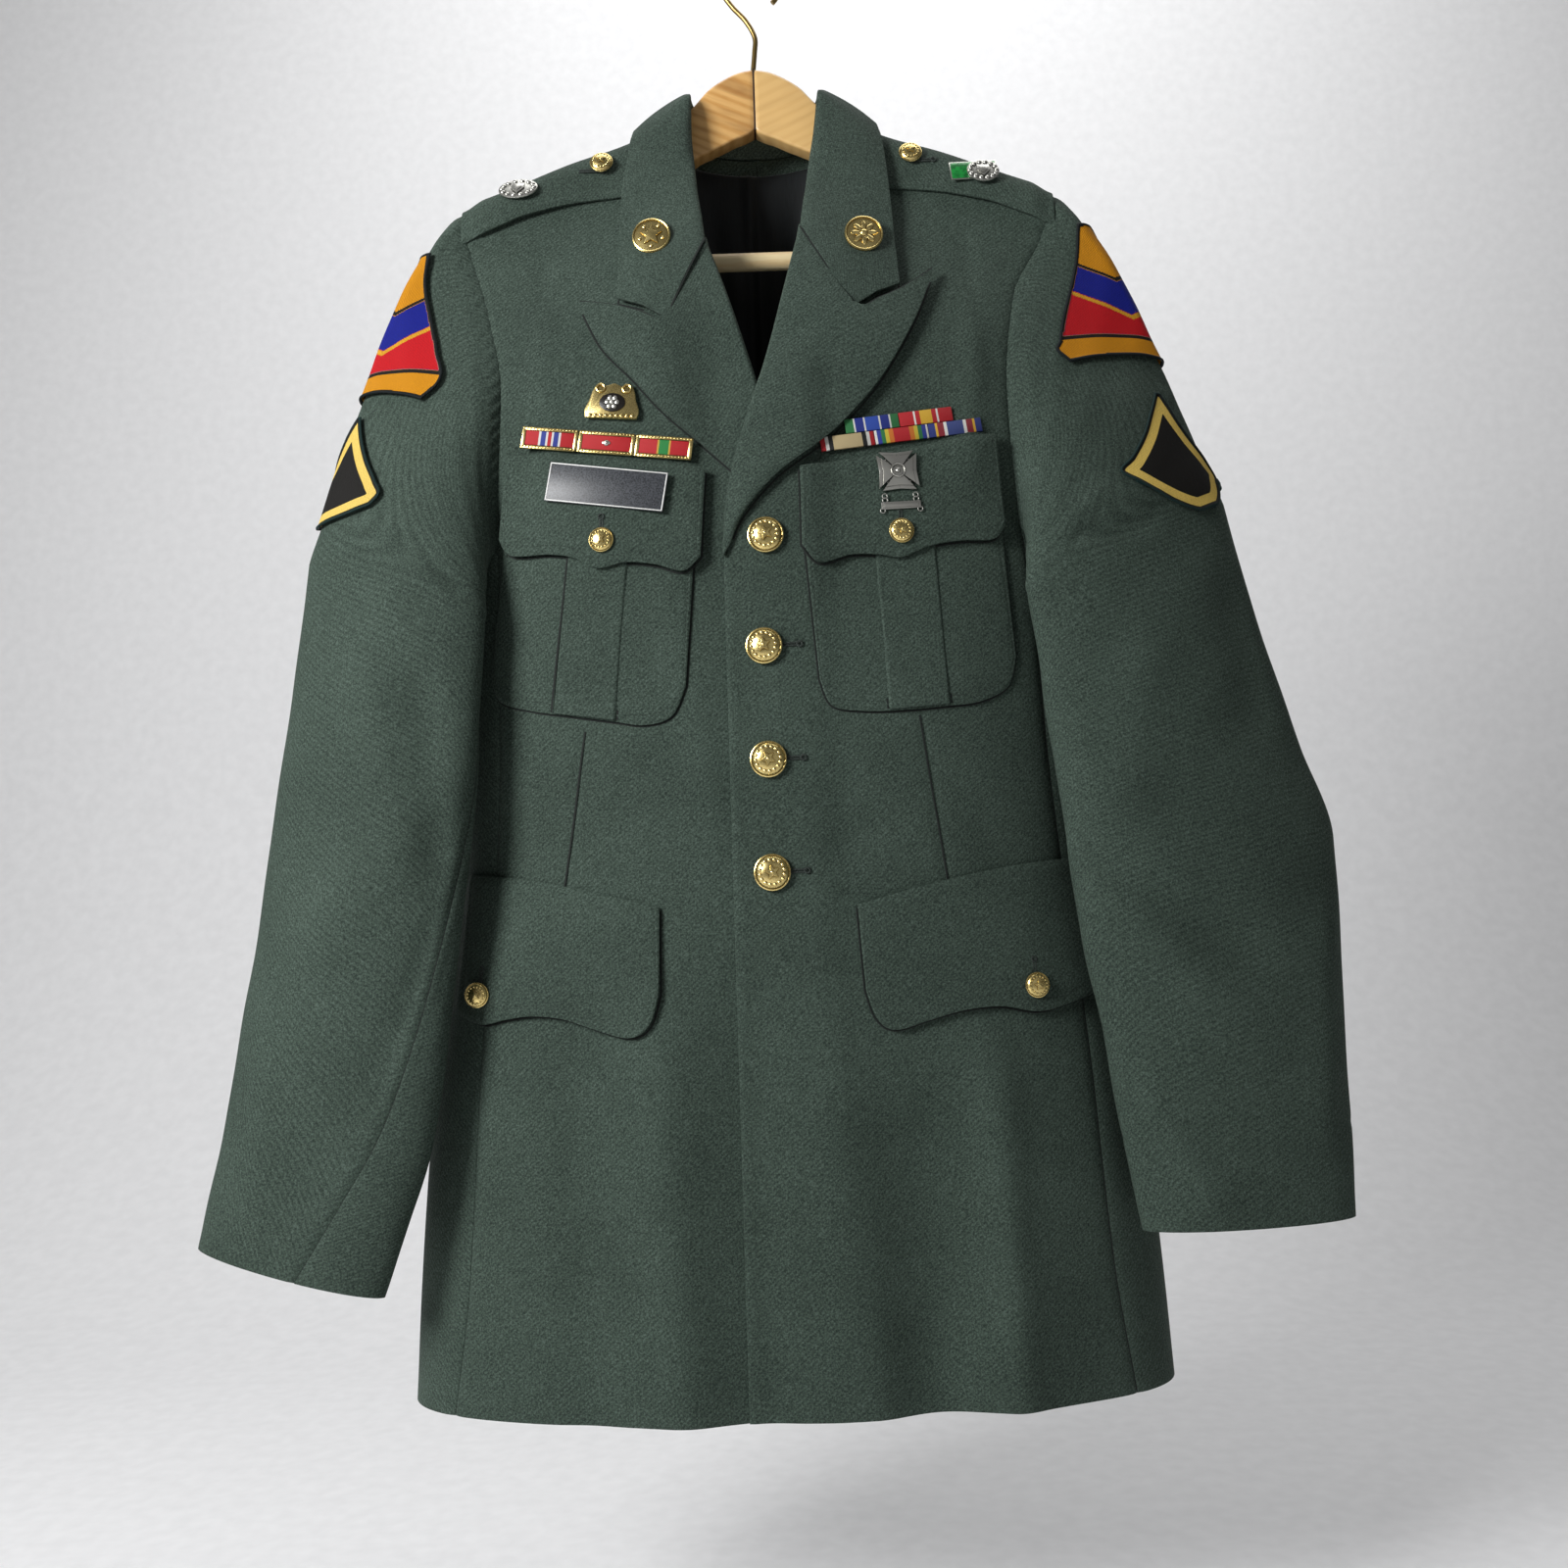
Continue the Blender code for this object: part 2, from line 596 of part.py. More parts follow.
def front_section(station: FrontFold, sign: int) -> list[Vector]:
    """A section on the chest, where stand and fall lie over the front."""
    (fold_x, fold_z), (edge_x, edge_z), lift = station
    section = [on_body(sign * (fold_x + reach), fold_z, STAND_LIFT) for reach in STAND_REACH]
    section.append(on_body(sign * (fold_x - STAND_LIFT), fold_z, lift * 0.55))
    for share in (0.08, 0.36, 0.68, 1.0):
        x = fold_x + (edge_x - fold_x) * share
        z = fold_z + (edge_z - fold_z) * share
        section.append(on_body(sign * x, z, lift))
    return section


def collar() -> None:
    """Stand and fall in one folded strip, from gorge to gorge round the back of the neck."""
    left = [front_section(s, 1) for s in reversed(LEFT_FOLDS)]
    right = [front_section(s, -1) for s in RIGHT_FOLDS]
    neck_left = [neck_section(s, 1) for s in reversed(NECK_FOLDS)]
    neck_right = [neck_section(s, -1) for s in NECK_FOLDS[1:]]
    sheet("collar", left + neck_left + neck_right + right, COLLAR_CLOTH, "wool", (0, -1, 0.6))


# ---------------------------------------------------------------- pockets and straps

class Patch(NamedTuple):
    """A piece laid on the front: its top and bottom lines from -X to +X, and its lift.

    pleat is where a box pleat starts and ends, as shares of the top line and the bottom line.
    """

    name: str
    top: tuple[Point2, ...]
    bottom: tuple[Point2, ...]
    lift: float
    columns: int
    rows: int
    pleat: tuple[Point2, Point2] | None = None


POCKETS = (
    Patch("breast_pocket_right", ((-0.166, -0.420), (-0.045, -0.431)),
          ((-0.178, -0.513), (-0.172, -0.529), (-0.150, -0.537), (-0.125, -0.542),
           (-0.098, -0.547), (-0.079, -0.550), (-0.062, -0.545), (-0.053, -0.527)), 0.0022, 9, 4,
          ((0.347, 0.669), (0.366, 0.575))),
    Patch("breast_pocket_left", ((0.022, -0.431), (0.147, -0.420)),
          ((0.029, -0.526), (0.036, -0.542), (0.055, -0.546), (0.080, -0.546),
           (0.105, -0.544), (0.128, -0.541), (0.147, -0.531), (0.153, -0.512)), 0.0022, 9, 4,
          ((0.344, 0.648), (0.377, 0.596))),
    Patch("breast_flap_right", ((-0.163, -0.372), (-0.038, -0.390)),
          ((-0.168, -0.427), (-0.160, -0.438), (-0.136, -0.440), (-0.120, -0.4435),
           (-0.105, -0.451), (-0.088, -0.4485), (-0.070, -0.451), (-0.053, -0.456),
           (-0.042, -0.447)), 0.0066, 12, 4),
    Patch("breast_flap_left", ((0.021, -0.393), (0.145, -0.370)),
          ((0.021, -0.443), (0.031, -0.454), (0.050, -0.449), (0.067, -0.449),
           (0.082, -0.451), (0.100, -0.444), (0.120, -0.4405), (0.140, -0.439),
           (0.148, -0.429)), 0.0066, 12, 4),
    Patch("hip_flap_right", ((-0.197, -0.637), (-0.157, -0.642), (-0.115, -0.651), (-0.073, -0.662)),
          ((-0.205, -0.724), (-0.187, -0.731), (-0.170, -0.728), (-0.153, -0.726),
           (-0.133, -0.728), (-0.112, -0.735), (-0.092, -0.740), (-0.080, -0.733),
           (-0.074, -0.715)), 0.0034, 13, 5),
    Patch("hip_flap_left", ((0.047, -0.664), (0.096, -0.652), (0.146, -0.643), (0.197, -0.638)),
          ((0.050, -0.716), (0.056, -0.733), (0.067, -0.740), (0.088, -0.735),
           (0.110, -0.730), (0.133, -0.729), (0.156, -0.733), (0.180, -0.728),
           (0.205, -0.720)), 0.0034, 13, 5),
)


PLEAT_LIFT = 0.0019
PLEAT_FOLD = 0.008


def row_shares(patch: Patch, down: float) -> list[tuple[float, float]]:
    """Where a row's points stand along it, each with the lift of the pleat there."""
    if patch.pleat is None:
        return [(column / patch.columns, 0.0) for column in range(patch.columns + 1)]
    thirds = [i / 3 for i in range(4)]
    first, last = (top + (bottom - top) * down for top, bottom in zip(*patch.pleat))
    before = [((first - PLEAT_FOLD) * third, 0.0) for third in thirds]
    width = last - first - 2 * PLEAT_FOLD
    pleat = [(first + PLEAT_FOLD + width * third, PLEAT_LIFT) for third in thirds]
    after = [(1 - (1 - last - PLEAT_FOLD) * third, 0.0) for third in reversed(thirds)]
    return before + pleat + after


def pockets() -> None:
    """Patch pockets with a box pleat, and the scalloped flaps of breast and hips."""
    for patch in POCKETS:
        grid = []
        for row in range(patch.rows + 1):
            down = row / patch.rows
            points = []
            for share, rise in row_shares(patch, down):
                x, z = along(patch.top, share).lerp(along(patch.bottom, share), down)
                points.append(on_front(x, z, patch.lift + rise))
            grid.append(points)
        sheet(patch.name, grid, CLOTH, "wool", (0, -1, 0))


# Front edge of the shoulder straps: (|x|, drop below the crest).
STRAP_EDGE = ((0.070, 0.046), (0.087, 0.043), (0.101, 0.039), (0.123, 0.034),
              (0.143, 0.030), (0.162, 0.027), (0.1995, 0.027))
STRAP_START_X = 0.0800
STRAP_END_X = 0.1990
STRAP_LIFT = 0.0038


def on_strap(x: float, drop: float, lift: float = STRAP_LIFT) -> Vector:
    """A point over the shoulder: drop below the crest, to the front or (negative) the back."""
    return on_body(x, crest_z(x) - abs(drop), lift, side=-1 if drop >= 0 else 1)


def straps() -> None:
    """Shoulder straps from under the collar to the sleeve seams."""
    for name, sign in (("shoulder_strap_left", 1), ("shoulder_strap_right", -1)):
        grid = []
        for row in range(11):
            x = STRAP_START_X + (STRAP_END_X - STRAP_START_X) * row / 10
            front = smooth(STRAP_EDGE, x)
            drops = [-0.006, -0.0015, 0.0002, 0.0018, 0.0055, 0.0100,
                     0.014 + (front - 0.014) * 0.3, 0.014 + (front - 0.014) * 0.65, front]
            grid.append([on_strap(sign * x, drop) for drop in drops])
        sheet(name, grid, CLOTH, "wool", (0, -0.3, 1))


# ---------------------------------------------------------------- sleeves

class Cut(NamedTuple):
    """A section of a sleeve: its outer and inner edge, and how far it swells each way."""

    outer: tuple[float, float, float]
    inner: tuple[float, float, float]
    front: float
    back: float


LEFT_SLEEVE = (
    Cut((0.298, -0.034, -0.412), (0.160, -0.084, -0.478), 0.024, 0.014),
    Cut((0.310, -0.036, -0.470), (0.166, -0.082, -0.520), 0.026, 0.017),
    Cut((0.322, -0.039, -0.522), (0.170, -0.079, -0.562), 0.028, 0.020),
    Cut((0.336, -0.041, -0.574), (0.175, -0.079, -0.604), 0.028, 0.020),
    Cut((0.353, -0.043, -0.632), (0.179, -0.079, -0.648), 0.027, 0.020),
    Cut((0.352, -0.046, -0.684), (0.184, -0.078, -0.694), 0.026, 0.019),
    Cut((0.350, -0.050, -0.742), (0.194, -0.077, -0.746), 0.024, 0.018),
    Cut((0.349, -0.053, -0.804), (0.202, -0.076, -0.806), 0.022, 0.017),
    Cut((0.347, -0.056, -0.864), (0.212, -0.075, -0.865), 0.020, 0.016),
)
RIGHT_SLEEVE = (
    Cut((0.299, -0.034, -0.432), (0.177, -0.084, -0.484), 0.024, 0.014),
    Cut((0.306, -0.037, -0.492), (0.181, -0.082, -0.532), 0.026, 0.017),
    Cut((0.313, -0.039, -0.548), (0.184, -0.079, -0.580), 0.028, 0.020),
    Cut((0.322, -0.042, -0.612), (0.190, -0.079, -0.632), 0.028, 0.020),
    Cut((0.330, -0.045, -0.672), (0.198, -0.079, -0.690), 0.026, 0.020),
    Cut((0.339, -0.049, -0.728), (0.204, -0.078, -0.740), 0.024, 0.019),
    Cut((0.347, -0.052, -0.778), (0.213, -0.077, -0.794), 0.022, 0.018),
    Cut((0.355, -0.055, -0.820), (0.228, -0.076, -0.842), 0.021, 0.017),
    Cut((0.363, -0.058, -0.860), (0.245, -0.074, -0.890), 0.020, 0.016),
)
CAP_ROWS = 9
CAP_SPREAD = 0.75
SLEEVE_GAP = 0.0014
UNDERARM_STAND = 0.0025
FRONT_SEAM = 0.58
HIND_SEAM = 0.88
SEAM_TURN = 0.0048
# Share of the way round the armhole for each turn round the arm.
LOOP_SHARE = ((0.0, 0.0), (0.25, 0.200), (0.50, 0.360), (0.72, 0.490), (0.80, 0.590),
              (0.88, 0.750), (0.95, 0.900), (1.0, 1.0))
# Columns from the hind to the front seam, and on under the arm; close over the shoulder.
TOP_COLUMNS = (0.0, 0.06, 0.105, 0.14, 0.172, 0.21, 0.26, 0.33, 0.42, 0.52, 0.63, 0.75,
               0.87, 0.96, 1.0)
UNDER_COLUMNS = (0.0, 0.05, 0.16, 0.32, 0.48, 0.62, 0.75, 0.88, 1.0)
TOP_BANDS = (("upper", 0, 12), ("fore", 12, 17))


def ellipse_share(turn: float) -> tuple[float, float]:
    """Across (+1 outer, -1 inner) and swell (+ front, - back) at a turn of 0 to 1."""
    return math.cos(math.tau * turn), math.sin(math.tau * turn)


def cut_point(cut: Cut, turn: float, sign: int) -> Vector:
    """A point round a sleeve's section; turn 0 is its outer edge, 0.25 its front."""
    across, swell = ellipse_share(turn)
    outer, inner = Vector(cut.outer), Vector(cut.inner)
    middle, half = (outer + inner) / 2, (outer - inner) / 2
    depth = Vector((0, -1, 0))
    depth = (depth - half.normalized() * depth.dot(half.normalized())).normalized()
    point = middle + half * across + depth * swell * (cut.front if swell > 0 else cut.back)
    point.x *= sign
    return point


def armhole_loop(arm_edge: Sequence[Point2], sign: int) -> list[Vector]:
    """The armhole as a closed run of points: top, front, underarm, back and up again."""
    loop = []
    steps = 24
    top = crest_z(SHOULDER_X)
    for i in range(steps):
        z = top + (UNDERARM_Z - top) * (i / steps) ** 1.6
        loop.append(on_body(sign * smooth(arm_edge, z), z))
    for i in range(steps + 1):
        point = underarm_point(sign, arm_edge, i / steps)
        away = outward_ring(point, sign) * UNDERARM_STAND * math.sin(math.pi * i / steps)
        loop.append(point + away + Vector((0, 0, 3 * SEAM)))
    for i in range(steps - 1, -1, -1):
        z = top + (UNDERARM_Z - top) * (i / steps) ** 1.6
        loop.append(on_body(sign * smooth(BACK_ARM_EDGE, z), z, side=1))
    return [point + Vector((sign * SLEEVE_GAP, 0, 0)) for point in loop]


def outward_ring(point: Vector, sign: int) -> Vector:
    """Level direction away from the body's side."""
    return Vector((sign, (point.y + 0.006) / 0.060, 0)).normalized()


def loop_point(loop: Sequence[Vector], turn: float) -> Vector:
    """The point a share of the way round a closed run, by length."""
    lengths = [(loop[i + 1] - loop[i]).length for i in range(len(loop) - 1)]
    left = (turn % 1.0) * sum(lengths)
    for i, length in enumerate(lengths):
        if left <= length:
            return loop[i].lerp(loop[i + 1], left / max(length, 1e-9))
        left -= length
    return loop[-1]


def cap_point(loop: Sequence[Vector], cut: Cut, sign: int, down: float, turn: float) -> Vector:
    """The sleeve's cap, swelling out from the armhole and turning down into the arm."""
    start, end = loop_point(loop, smooth(LOOP_SHARE, turn % 1.0)), cut_point(cut, turn, sign)
    reach = (end - start).length
    high = ease((start.z - UNDERARM_Z) / (crest_z(SHOULDER_X) - UNDERARM_Z))
    level = outward_ring(start, sign) * (0.55 + 0.03 * high)
    leave = (level + Vector((0, 0, -0.63 + 0.30 * high))) * reach * (0.95 - 0.30 * high)
    arrive = Vector((sign * (0.2 + 0.15 * high), 0, -1)) * reach * 0.9
    u = down
    return (start * (2 * u**3 - 3 * u**2 + 1) + leave * (u**3 - 2 * u**2 + u)
            + end * (3 * u**2 - 2 * u**3) + arrive * (u**3 - u**2))


def sleeve_point(sign: int, cuts: Sequence[Cut], loop: Sequence[Vector], down: float,
                 turn: float) -> Vector:
    """A point of a sleeve: down counts cap rows first, then one for each further cut."""
    if down <= CAP_ROWS:
        return cap_point(loop, cuts[0], sign, (down / CAP_ROWS) ** CAP_SPREAD, turn)
    place = down - CAP_ROWS
    index = min(int(place), len(cuts) - 2)
    return cut_point(cuts[index], turn, sign).lerp(cut_point(cuts[index + 1], turn, sign),
                                                  place - index)


SLEEVES = (("sleeve_left", 1, LEFT_SLEEVE, LEFT_ARM_EDGE),
           ("sleeve_right", -1, RIGHT_SLEEVE, RIGHT_ARM_EDGE))


def front_seam(sign: int, down: float) -> float:
    """The front seam stays behind the left sleeve and swings forward on the right one."""
    swing = ease((down - CAP_ROWS - 0.6) / 7.4) if sign < 0 else 0.0
    return FRONT_SEAM - 0.30 * swing


def sleeves() -> None:
    """Each sleeve in two pieces: the top sleeve and the narrower under sleeve."""
    rows = CAP_ROWS + len(LEFT_SLEEVE) - 1
    gap = SEAM_TURN
    for name, sign, cuts, arm_edge in SLEEVES:
        loop = armhole_loop(arm_edge, sign)
        for piece, columns, facing in (("top", TOP_COLUMNS, (sign, -1, 0)),
                                       ("under", UNDER_COLUMNS, (-sign, 1, 0))):
            grid = []
            for row in range(rows + 1):
                seam = front_seam(sign, row)
                start, end = (HIND_SEAM - 1, seam) if piece == "top" else (seam, HIND_SEAM)
                turns = [start + gap + (end - start - 2 * gap) * share for share in columns]
                grid.append([sleeve_point(sign, cuts, loop, row, turn) for turn in turns])
            if piece == "top":
                banded(f"{name}_top", grid, TOP_BANDS, facing)
            else:
                sheet(f"{name}_under", grid, CLOTH, "wool", facing)


# ---------------------------------------------------------------- sleeve patches

class SleevePatch(NamedTuple):
    """A badge sewn round a sleeve: its rows as (height, first turn, last turn).

    Its foot falls by tilt from the first turn to the last, and rises by bow in the middle.
    """

    name: str
    sleeve: int
    tilt: float
    bow: float
    rows: tuple[tuple[float, float, float], ...]


SLEEVE_PATCHES = (
    SleevePatch("shoulder_patch_left", 0, 0.0, 0.010,
                ((-0.2174, 0.008, 0.030), (-0.2409, -0.018, 0.067), (-0.2715, -0.050, 0.120),
                 (-0.3077, -0.085, 0.187), (-0.3160, -0.093, 0.203), (-0.3235, -0.088, 0.198))),
    SleevePatch("shoulder_patch_right", 1, 0.0, 0.012,
                ((-0.2235, 0.005, 0.030), (-0.2400, -0.012, 0.048), (-0.2733, -0.048, 0.107),
                 (-0.2981, -0.075, 0.153), (-0.3220, -0.098, 0.192), (-0.3330, -0.090, 0.182))),
    SleevePatch("rank_patch_left", 0, 0.008, -0.018,
                ((-0.3404, 0.094, 0.106), (-0.3560, 0.092, 0.142), (-0.3697, 0.083, 0.173),
                 (-0.3870, 0.060, 0.215), (-0.3980, 0.040, 0.246), (-0.4040, 0.050, 0.238))),
    SleevePatch("rank_patch_right", 1, 0.0, -0.006,
                ((-0.3362, 0.055, 0.067), (-0.3530, 0.030, 0.107), (-0.3697, 0.000, 0.147),
                 (-0.3860, -0.035, 0.187), (-0.3970, -0.060, 0.208), (-0.4040, -0.050, 0.200))),
)
PATCH_LIFT = 0.0034
PATCH_CLOTH = 0.0014
PATCH_ROWS = 10
PATCH_COLUMNS = 12


def head_down(loop: Sequence[Vector], cut: Cut, sign: int, height: float, turn: float) -> float:
    """How far down the sleeve head a height is reached at a turn."""
    above, below = 0.0, 1.0
    for _ in range(20):
        middle = (above + below) / 2
        if cap_point(loop, cut, sign, middle, turn).z > height:
            above = middle
        else:
            below = middle
    return above


def sleeve_patches() -> None:
    """A triangular unit patch and a rank chevron on each sleeve."""
    step = 0.01
    for patch in SLEEVE_PATCHES:
        _, sign, cuts, arm_edge = SLEEVES[patch.sleeve]
        loop = armhole_loop(arm_edge, sign)

        def at(height: float, turn: float) -> Vector:
            down = head_down(loop, cuts[0], sign, height, turn)
            point = cap_point(loop, cuts[0], sign, down, turn)
            by_turn = cap_point(loop, cuts[0], sign, down, turn + step) - point
            by_down = cap_point(loop, cuts[0], sign, down + step, turn) - point
            return point + by_turn.cross(by_down).normalized() * sign * PATCH_LIFT

        top, bottom = patch.rows[0][0], patch.rows[-1][0]
        grid = []
        for row in range(PATCH_ROWS + 1):
            share = row / PATCH_ROWS
            height = top + (bottom - top) * share
            first, last = smooth(patch.rows, height, 1), smooth(patch.rows, height, 2)
            points = []
            for column in range(PATCH_COLUMNS + 1):
                across = column / PATCH_COLUMNS
                shift = patch.tilt * (0.5 - across) + patch.bow * (1 - (2 * across - 1) ** 2)
                points.append(at(height + shift * share ** 2, first + (last - first) * across))
            grid.append(points)
        sheet(patch.name, grid, PATCH_CLOTH, "patch", (sign, -0.6, 0))


# ---------------------------------------------------------------- buttons and insignia

def button_profile(diameter: float) -> list[Point2]:
    """A domed metal button with a rolled rim."""
    radius = diameter / 2
    return [(0.0, 0.31 * diameter), (0.50 * radius, 0.28 * diameter),
            (0.84 * radius, 0.18 * diameter), (radius, 0.07 * diameter), (0.86 * radius, 0.0),
            (0.0, 0.0)]


class Stud(NamedTuple):
    """A button and where it sits on the front."""

    name: str
    x: float
    z: float
    lift: float
    diameter: float


STUDS = (
    *(Stud(f"front_button_{i + 1}", x, z, lift, FRONT_BUTTON) for i, (x, z, lift) in enumerate(
        ((-0.001, -0.435, 0.0006), (-0.004, -0.504, 0.0006), (-0.004, -0.574, 0.0006),
         (-0.004, -0.643, 0.0006)))),
    Stud("breast_button_right", -0.102, -0.434, 0.0074, SMALL_BUTTON),
    Stud("breast_button_left", 0.082, -0.435, 0.0074, SMALL_BUTTON),
    Stud("hip_button_right", -0.186, -0.713, 0.0042, SMALL_BUTTON),
    Stud("hip_button_left", 0.154, -0.717, 0.0042, SMALL_BUTTON),
)
STRAP_BUTTON_X = 0.1045
STRAP_BUTTON_DROP = 0.0120


def buttons() -> None:
    """Four front buttons, and a small one on each pocket flap and shoulder strap."""
    for stud in STUDS:
        turned(stud.name, button_profile(stud.diameter), "brass",
               place_on(stud.x, stud.z, stud.lift), sides=14)
    for name, sign in (("strap_button_left", 1), ("strap_button_right", -1)):
        turned(name, button_profile(SMALL_BUTTON), "brass",
               strap_place(sign * STRAP_BUTTON_X, STRAP_BUTTON_DROP, 0.0010), sides=14)


def strap_place(x: float, drop: float, gap: float, tilt: float = 0.0) -> Matrix:
    """A place on a shoulder strap."""
    normal = outward(x, crest_z(x) - drop, -1)
    return frame_at(on_strap(x, drop, STRAP_LIFT + gap), normal, tilt)


def cross_outline(half: float) -> list[Point2]:
    """A cross with four flared arms."""
    waist, tip = half * 0.20, half * 0.86
    arm = [(waist, -waist), (half, -tip), (half * 0.92, 0.0), (half, tip)]
    outline = []
    for quarter in range(4):
        turn = Matrix.Rotation(quarter * math.pi / 2, 2)
        outline += [tuple(turn @ Vector(point)) for point in arm]
    return outline


def insignia() -> None:
    """Collar discs, nameplate, award bars, ribbon rows and metal badges."""
    disc = [(0.0, 0.0022), (0.42 * COLLAR_DISC, 0.0022), (0.5 * COLLAR_DISC, 0.0012),
            (0.5 * COLLAR_DISC, 0.0), (0.0, 0.0)]
    turned("collar_disc_right", disc, "brass", place_on(-0.068, -0.228, 0.0082), sides=18)
    turned("collar_disc_left", disc, "brass", place_on(0.067, -0.232, 0.0082), sides=18)
    flat("nameplate", rectangle(*NAMEPLATE), 0.0015, "plate",
         place_on(-0.0985, -0.4005, 0.0074, math.radians(-9.5)))
    awards = place_on(-0.0995, -0.3695, 0.0010, math.radians(-8.0))
    flat("award_ribbons", rectangle(3 * AWARD[0] + 2 * SEAM, AWARD[1]), 0.0022, "ribbon", awards)
    width, height = RIBBON
    stepped = [(-1.5 * width, -height / 2), (1.5 * width, -height / 2), (1.5 * width, height / 2),
               (width, height / 2), (width, 1.5 * height), (-width, 1.5 * height),
               (-width, height / 2), (-1.5 * width, height / 2)]
    flat("ribbon_rack", stepped, 0.0018, "ribbon",
         place_on(0.086, -0.3705, 0.0010, math.radians(7.5)))
    flat("unit_badge", [(-0.0165, -0.0115), (0.0165, -0.0115), (0.0175, -0.006), (0.0135, 0.006),
                        (0.0060, 0.0120), (-0.0060, 0.0120), (-0.0135, 0.006), (-0.0175, -0.006)],
         0.0030, "brass", place_on(-0.0950, -0.3425, 0.0010, math.radians(-6.0)))
    flat("marksman_cross", cross_outline(0.0128), 0.0020, "silver",
         place_on(0.0815, -0.397, 0.0074, math.radians(3.0)))
    flat("marksman_bar", rectangle(0.0250, 0.0052), 0.0016, "silver",
         place_on(0.0825, -0.4190, 0.0074, math.radians(3.0)))
    flat("shoulder_badge_right", oval(0.0270, 0.0180), 0.0024, "silver",
         strap_place(-0.160, 0.0080, 0.0012))
    flat("shoulder_tab_left", rectangle(0.0320, 0.0150), 0.0012, "enamel",
         strap_place(0.146, 0.0110, 0.0012, math.radians(3.0)))
    flat("shoulder_badge_left", oval(0.0220, 0.0185), 0.0024, "silver",
         strap_place(0.152, 0.0105, 0.0030))


# ---------------------------------------------------------------- hanger

ARM_TOP = ((0.0, -0.0850), (0.019, -0.0900), (0.031, -0.0985), (0.042, -0.1110),
           (0.060, -0.1266))
ARM_HEIGHT = ((0.0, 0.0453), (0.019, 0.0490), (0.031, 0.0460), (0.042, 0.0395),
              (0.060, 0.0400), (0.127, 0.041), (0.172, 0.045), (0.203, 0.040))
ARM_HALF_THICKNESS = ((0.0, 0.0070), (0.060, 0.0070), (0.160, 0.0077), (0.203, 0.0074))
ARM_END = ((0.186, 1.0), (0.194, 0.86), (HANGER_TIP_X, 0.50))
ARM_SECTION = ((1, 0.78), (0.82, 0.92), (0.42, 1), (-0.42, 1), (-0.82, 0.92), (-1, 0.78),
               (-1, -0.86), (-0.70, -1), (0.70, -1), (1, -0.86))


def arm_top(x: float) -> float:
    """Top of a hanger arm, just under the shoulder once it is inside the tunic."""
    return smooth(ARM_TOP, x) if x < NECK_X else crest_z(x) - HANGER_CLEARANCE


def hanger_arm(name: str, sign: int) -> None:
    """One contoured arm, with a socket for the dowel near its tip."""
    shape = bmesh.new()
    loops = []
    stations = [0.00015, 0.012, 0.024, 0.033, 0.042, 0.051, 0.060, 0.080, 0.105, 0.127,
                0.150, 0.172, 0.187, 0.194, HANGER_TIP_X]
    for x in stations:
        shrink = smooth(ARM_END, x)
        height = smooth(ARM_HEIGHT, x) / 2
        middle = Vector((sign * x, crest_y(x), arm_top(x) - height))
        half = smooth(ARM_HALF_THICKNESS, x)
        loops.append([shape.verts.new(middle + Vector((0, across * half * shrink,
                                                       up * height * shrink)))
                      for across, up in ARM_SECTION])
    for one, two in zip(loops, loops[1:]):
        for i in range(len(ARM_SECTION)):
            j = (i + 1) % len(ARM_SECTION)
            shape.faces.new((one[i], one[j], two[j], two[i]))
    shape.faces.new(loops[0])
    shape.faces.new(loops[-1][::-1])
    bmesh.ops.recalc_face_normals(shape, faces=shape.faces)
    mesh = bpy.data.meshes.new(name)
    shape.to_mesh(mesh)
    shape.free()
    arm = add(name, mesh, "maple")
    socket = rod(f"{name}_socket", DOWEL_RADIUS + 0.0003, sign * 0.10, sign * (DOWEL_END + 0.0003))
    socket.hide_render = True
    socket.display_type = "WIRE"
    cut = arm.modifiers.new("Socket", "BOOLEAN")
    cut.operation = "DIFFERENCE"
    cut.object = socket


def rod(name: str, radius: float, start_x: float, end_x: float) -> bpy.types.Object:
    """A rod along X at the dowel's height."""
    shape = bmesh.new()
    bmesh.ops.create_cone(shape, cap_ends=True, segments=12, radius1=radius, radius2=radius,
                          depth=abs(end_x - start_x))
    mesh = bpy.data.meshes.new(name)
    shape.to_mesh(mesh)
    shape.free()
    piece = add(name, mesh, "dowel")
    middle = (start_x + end_x) / 2
    piece.matrix_world = (Matrix.Translation((middle, crest_y(0.178), DOWEL_Z))
                          @ Matrix.Rotation(math.pi / 2, 4, "Y"))
    return piece


def hook_route() -> list[Vector]:
    """The hook's wire: up from the wood, back to the left, over the loop and down its right."""
    neck = ((0.0000, -0.0835), (0.0014, -0.0700), (0.0018, -0.0590), (-0.0040, -0.0470),
            (-0.0125, -0.0370), (-0.0188, -0.0280))
    points = [along(neck, i / 12) for i in range(13)]
    middle = Vector((0.0, -(HOOK_RADIUS - HOOK_WIRE)))
    for i in range(19):
        angle = math.radians(180 - 12.5 * i)
        points.append(middle + Vector((math.cos(angle), math.sin(angle))) * HOOK_RADIUS)
    return [Vector((x, crest_y(0.0), z)) for x, z in points]


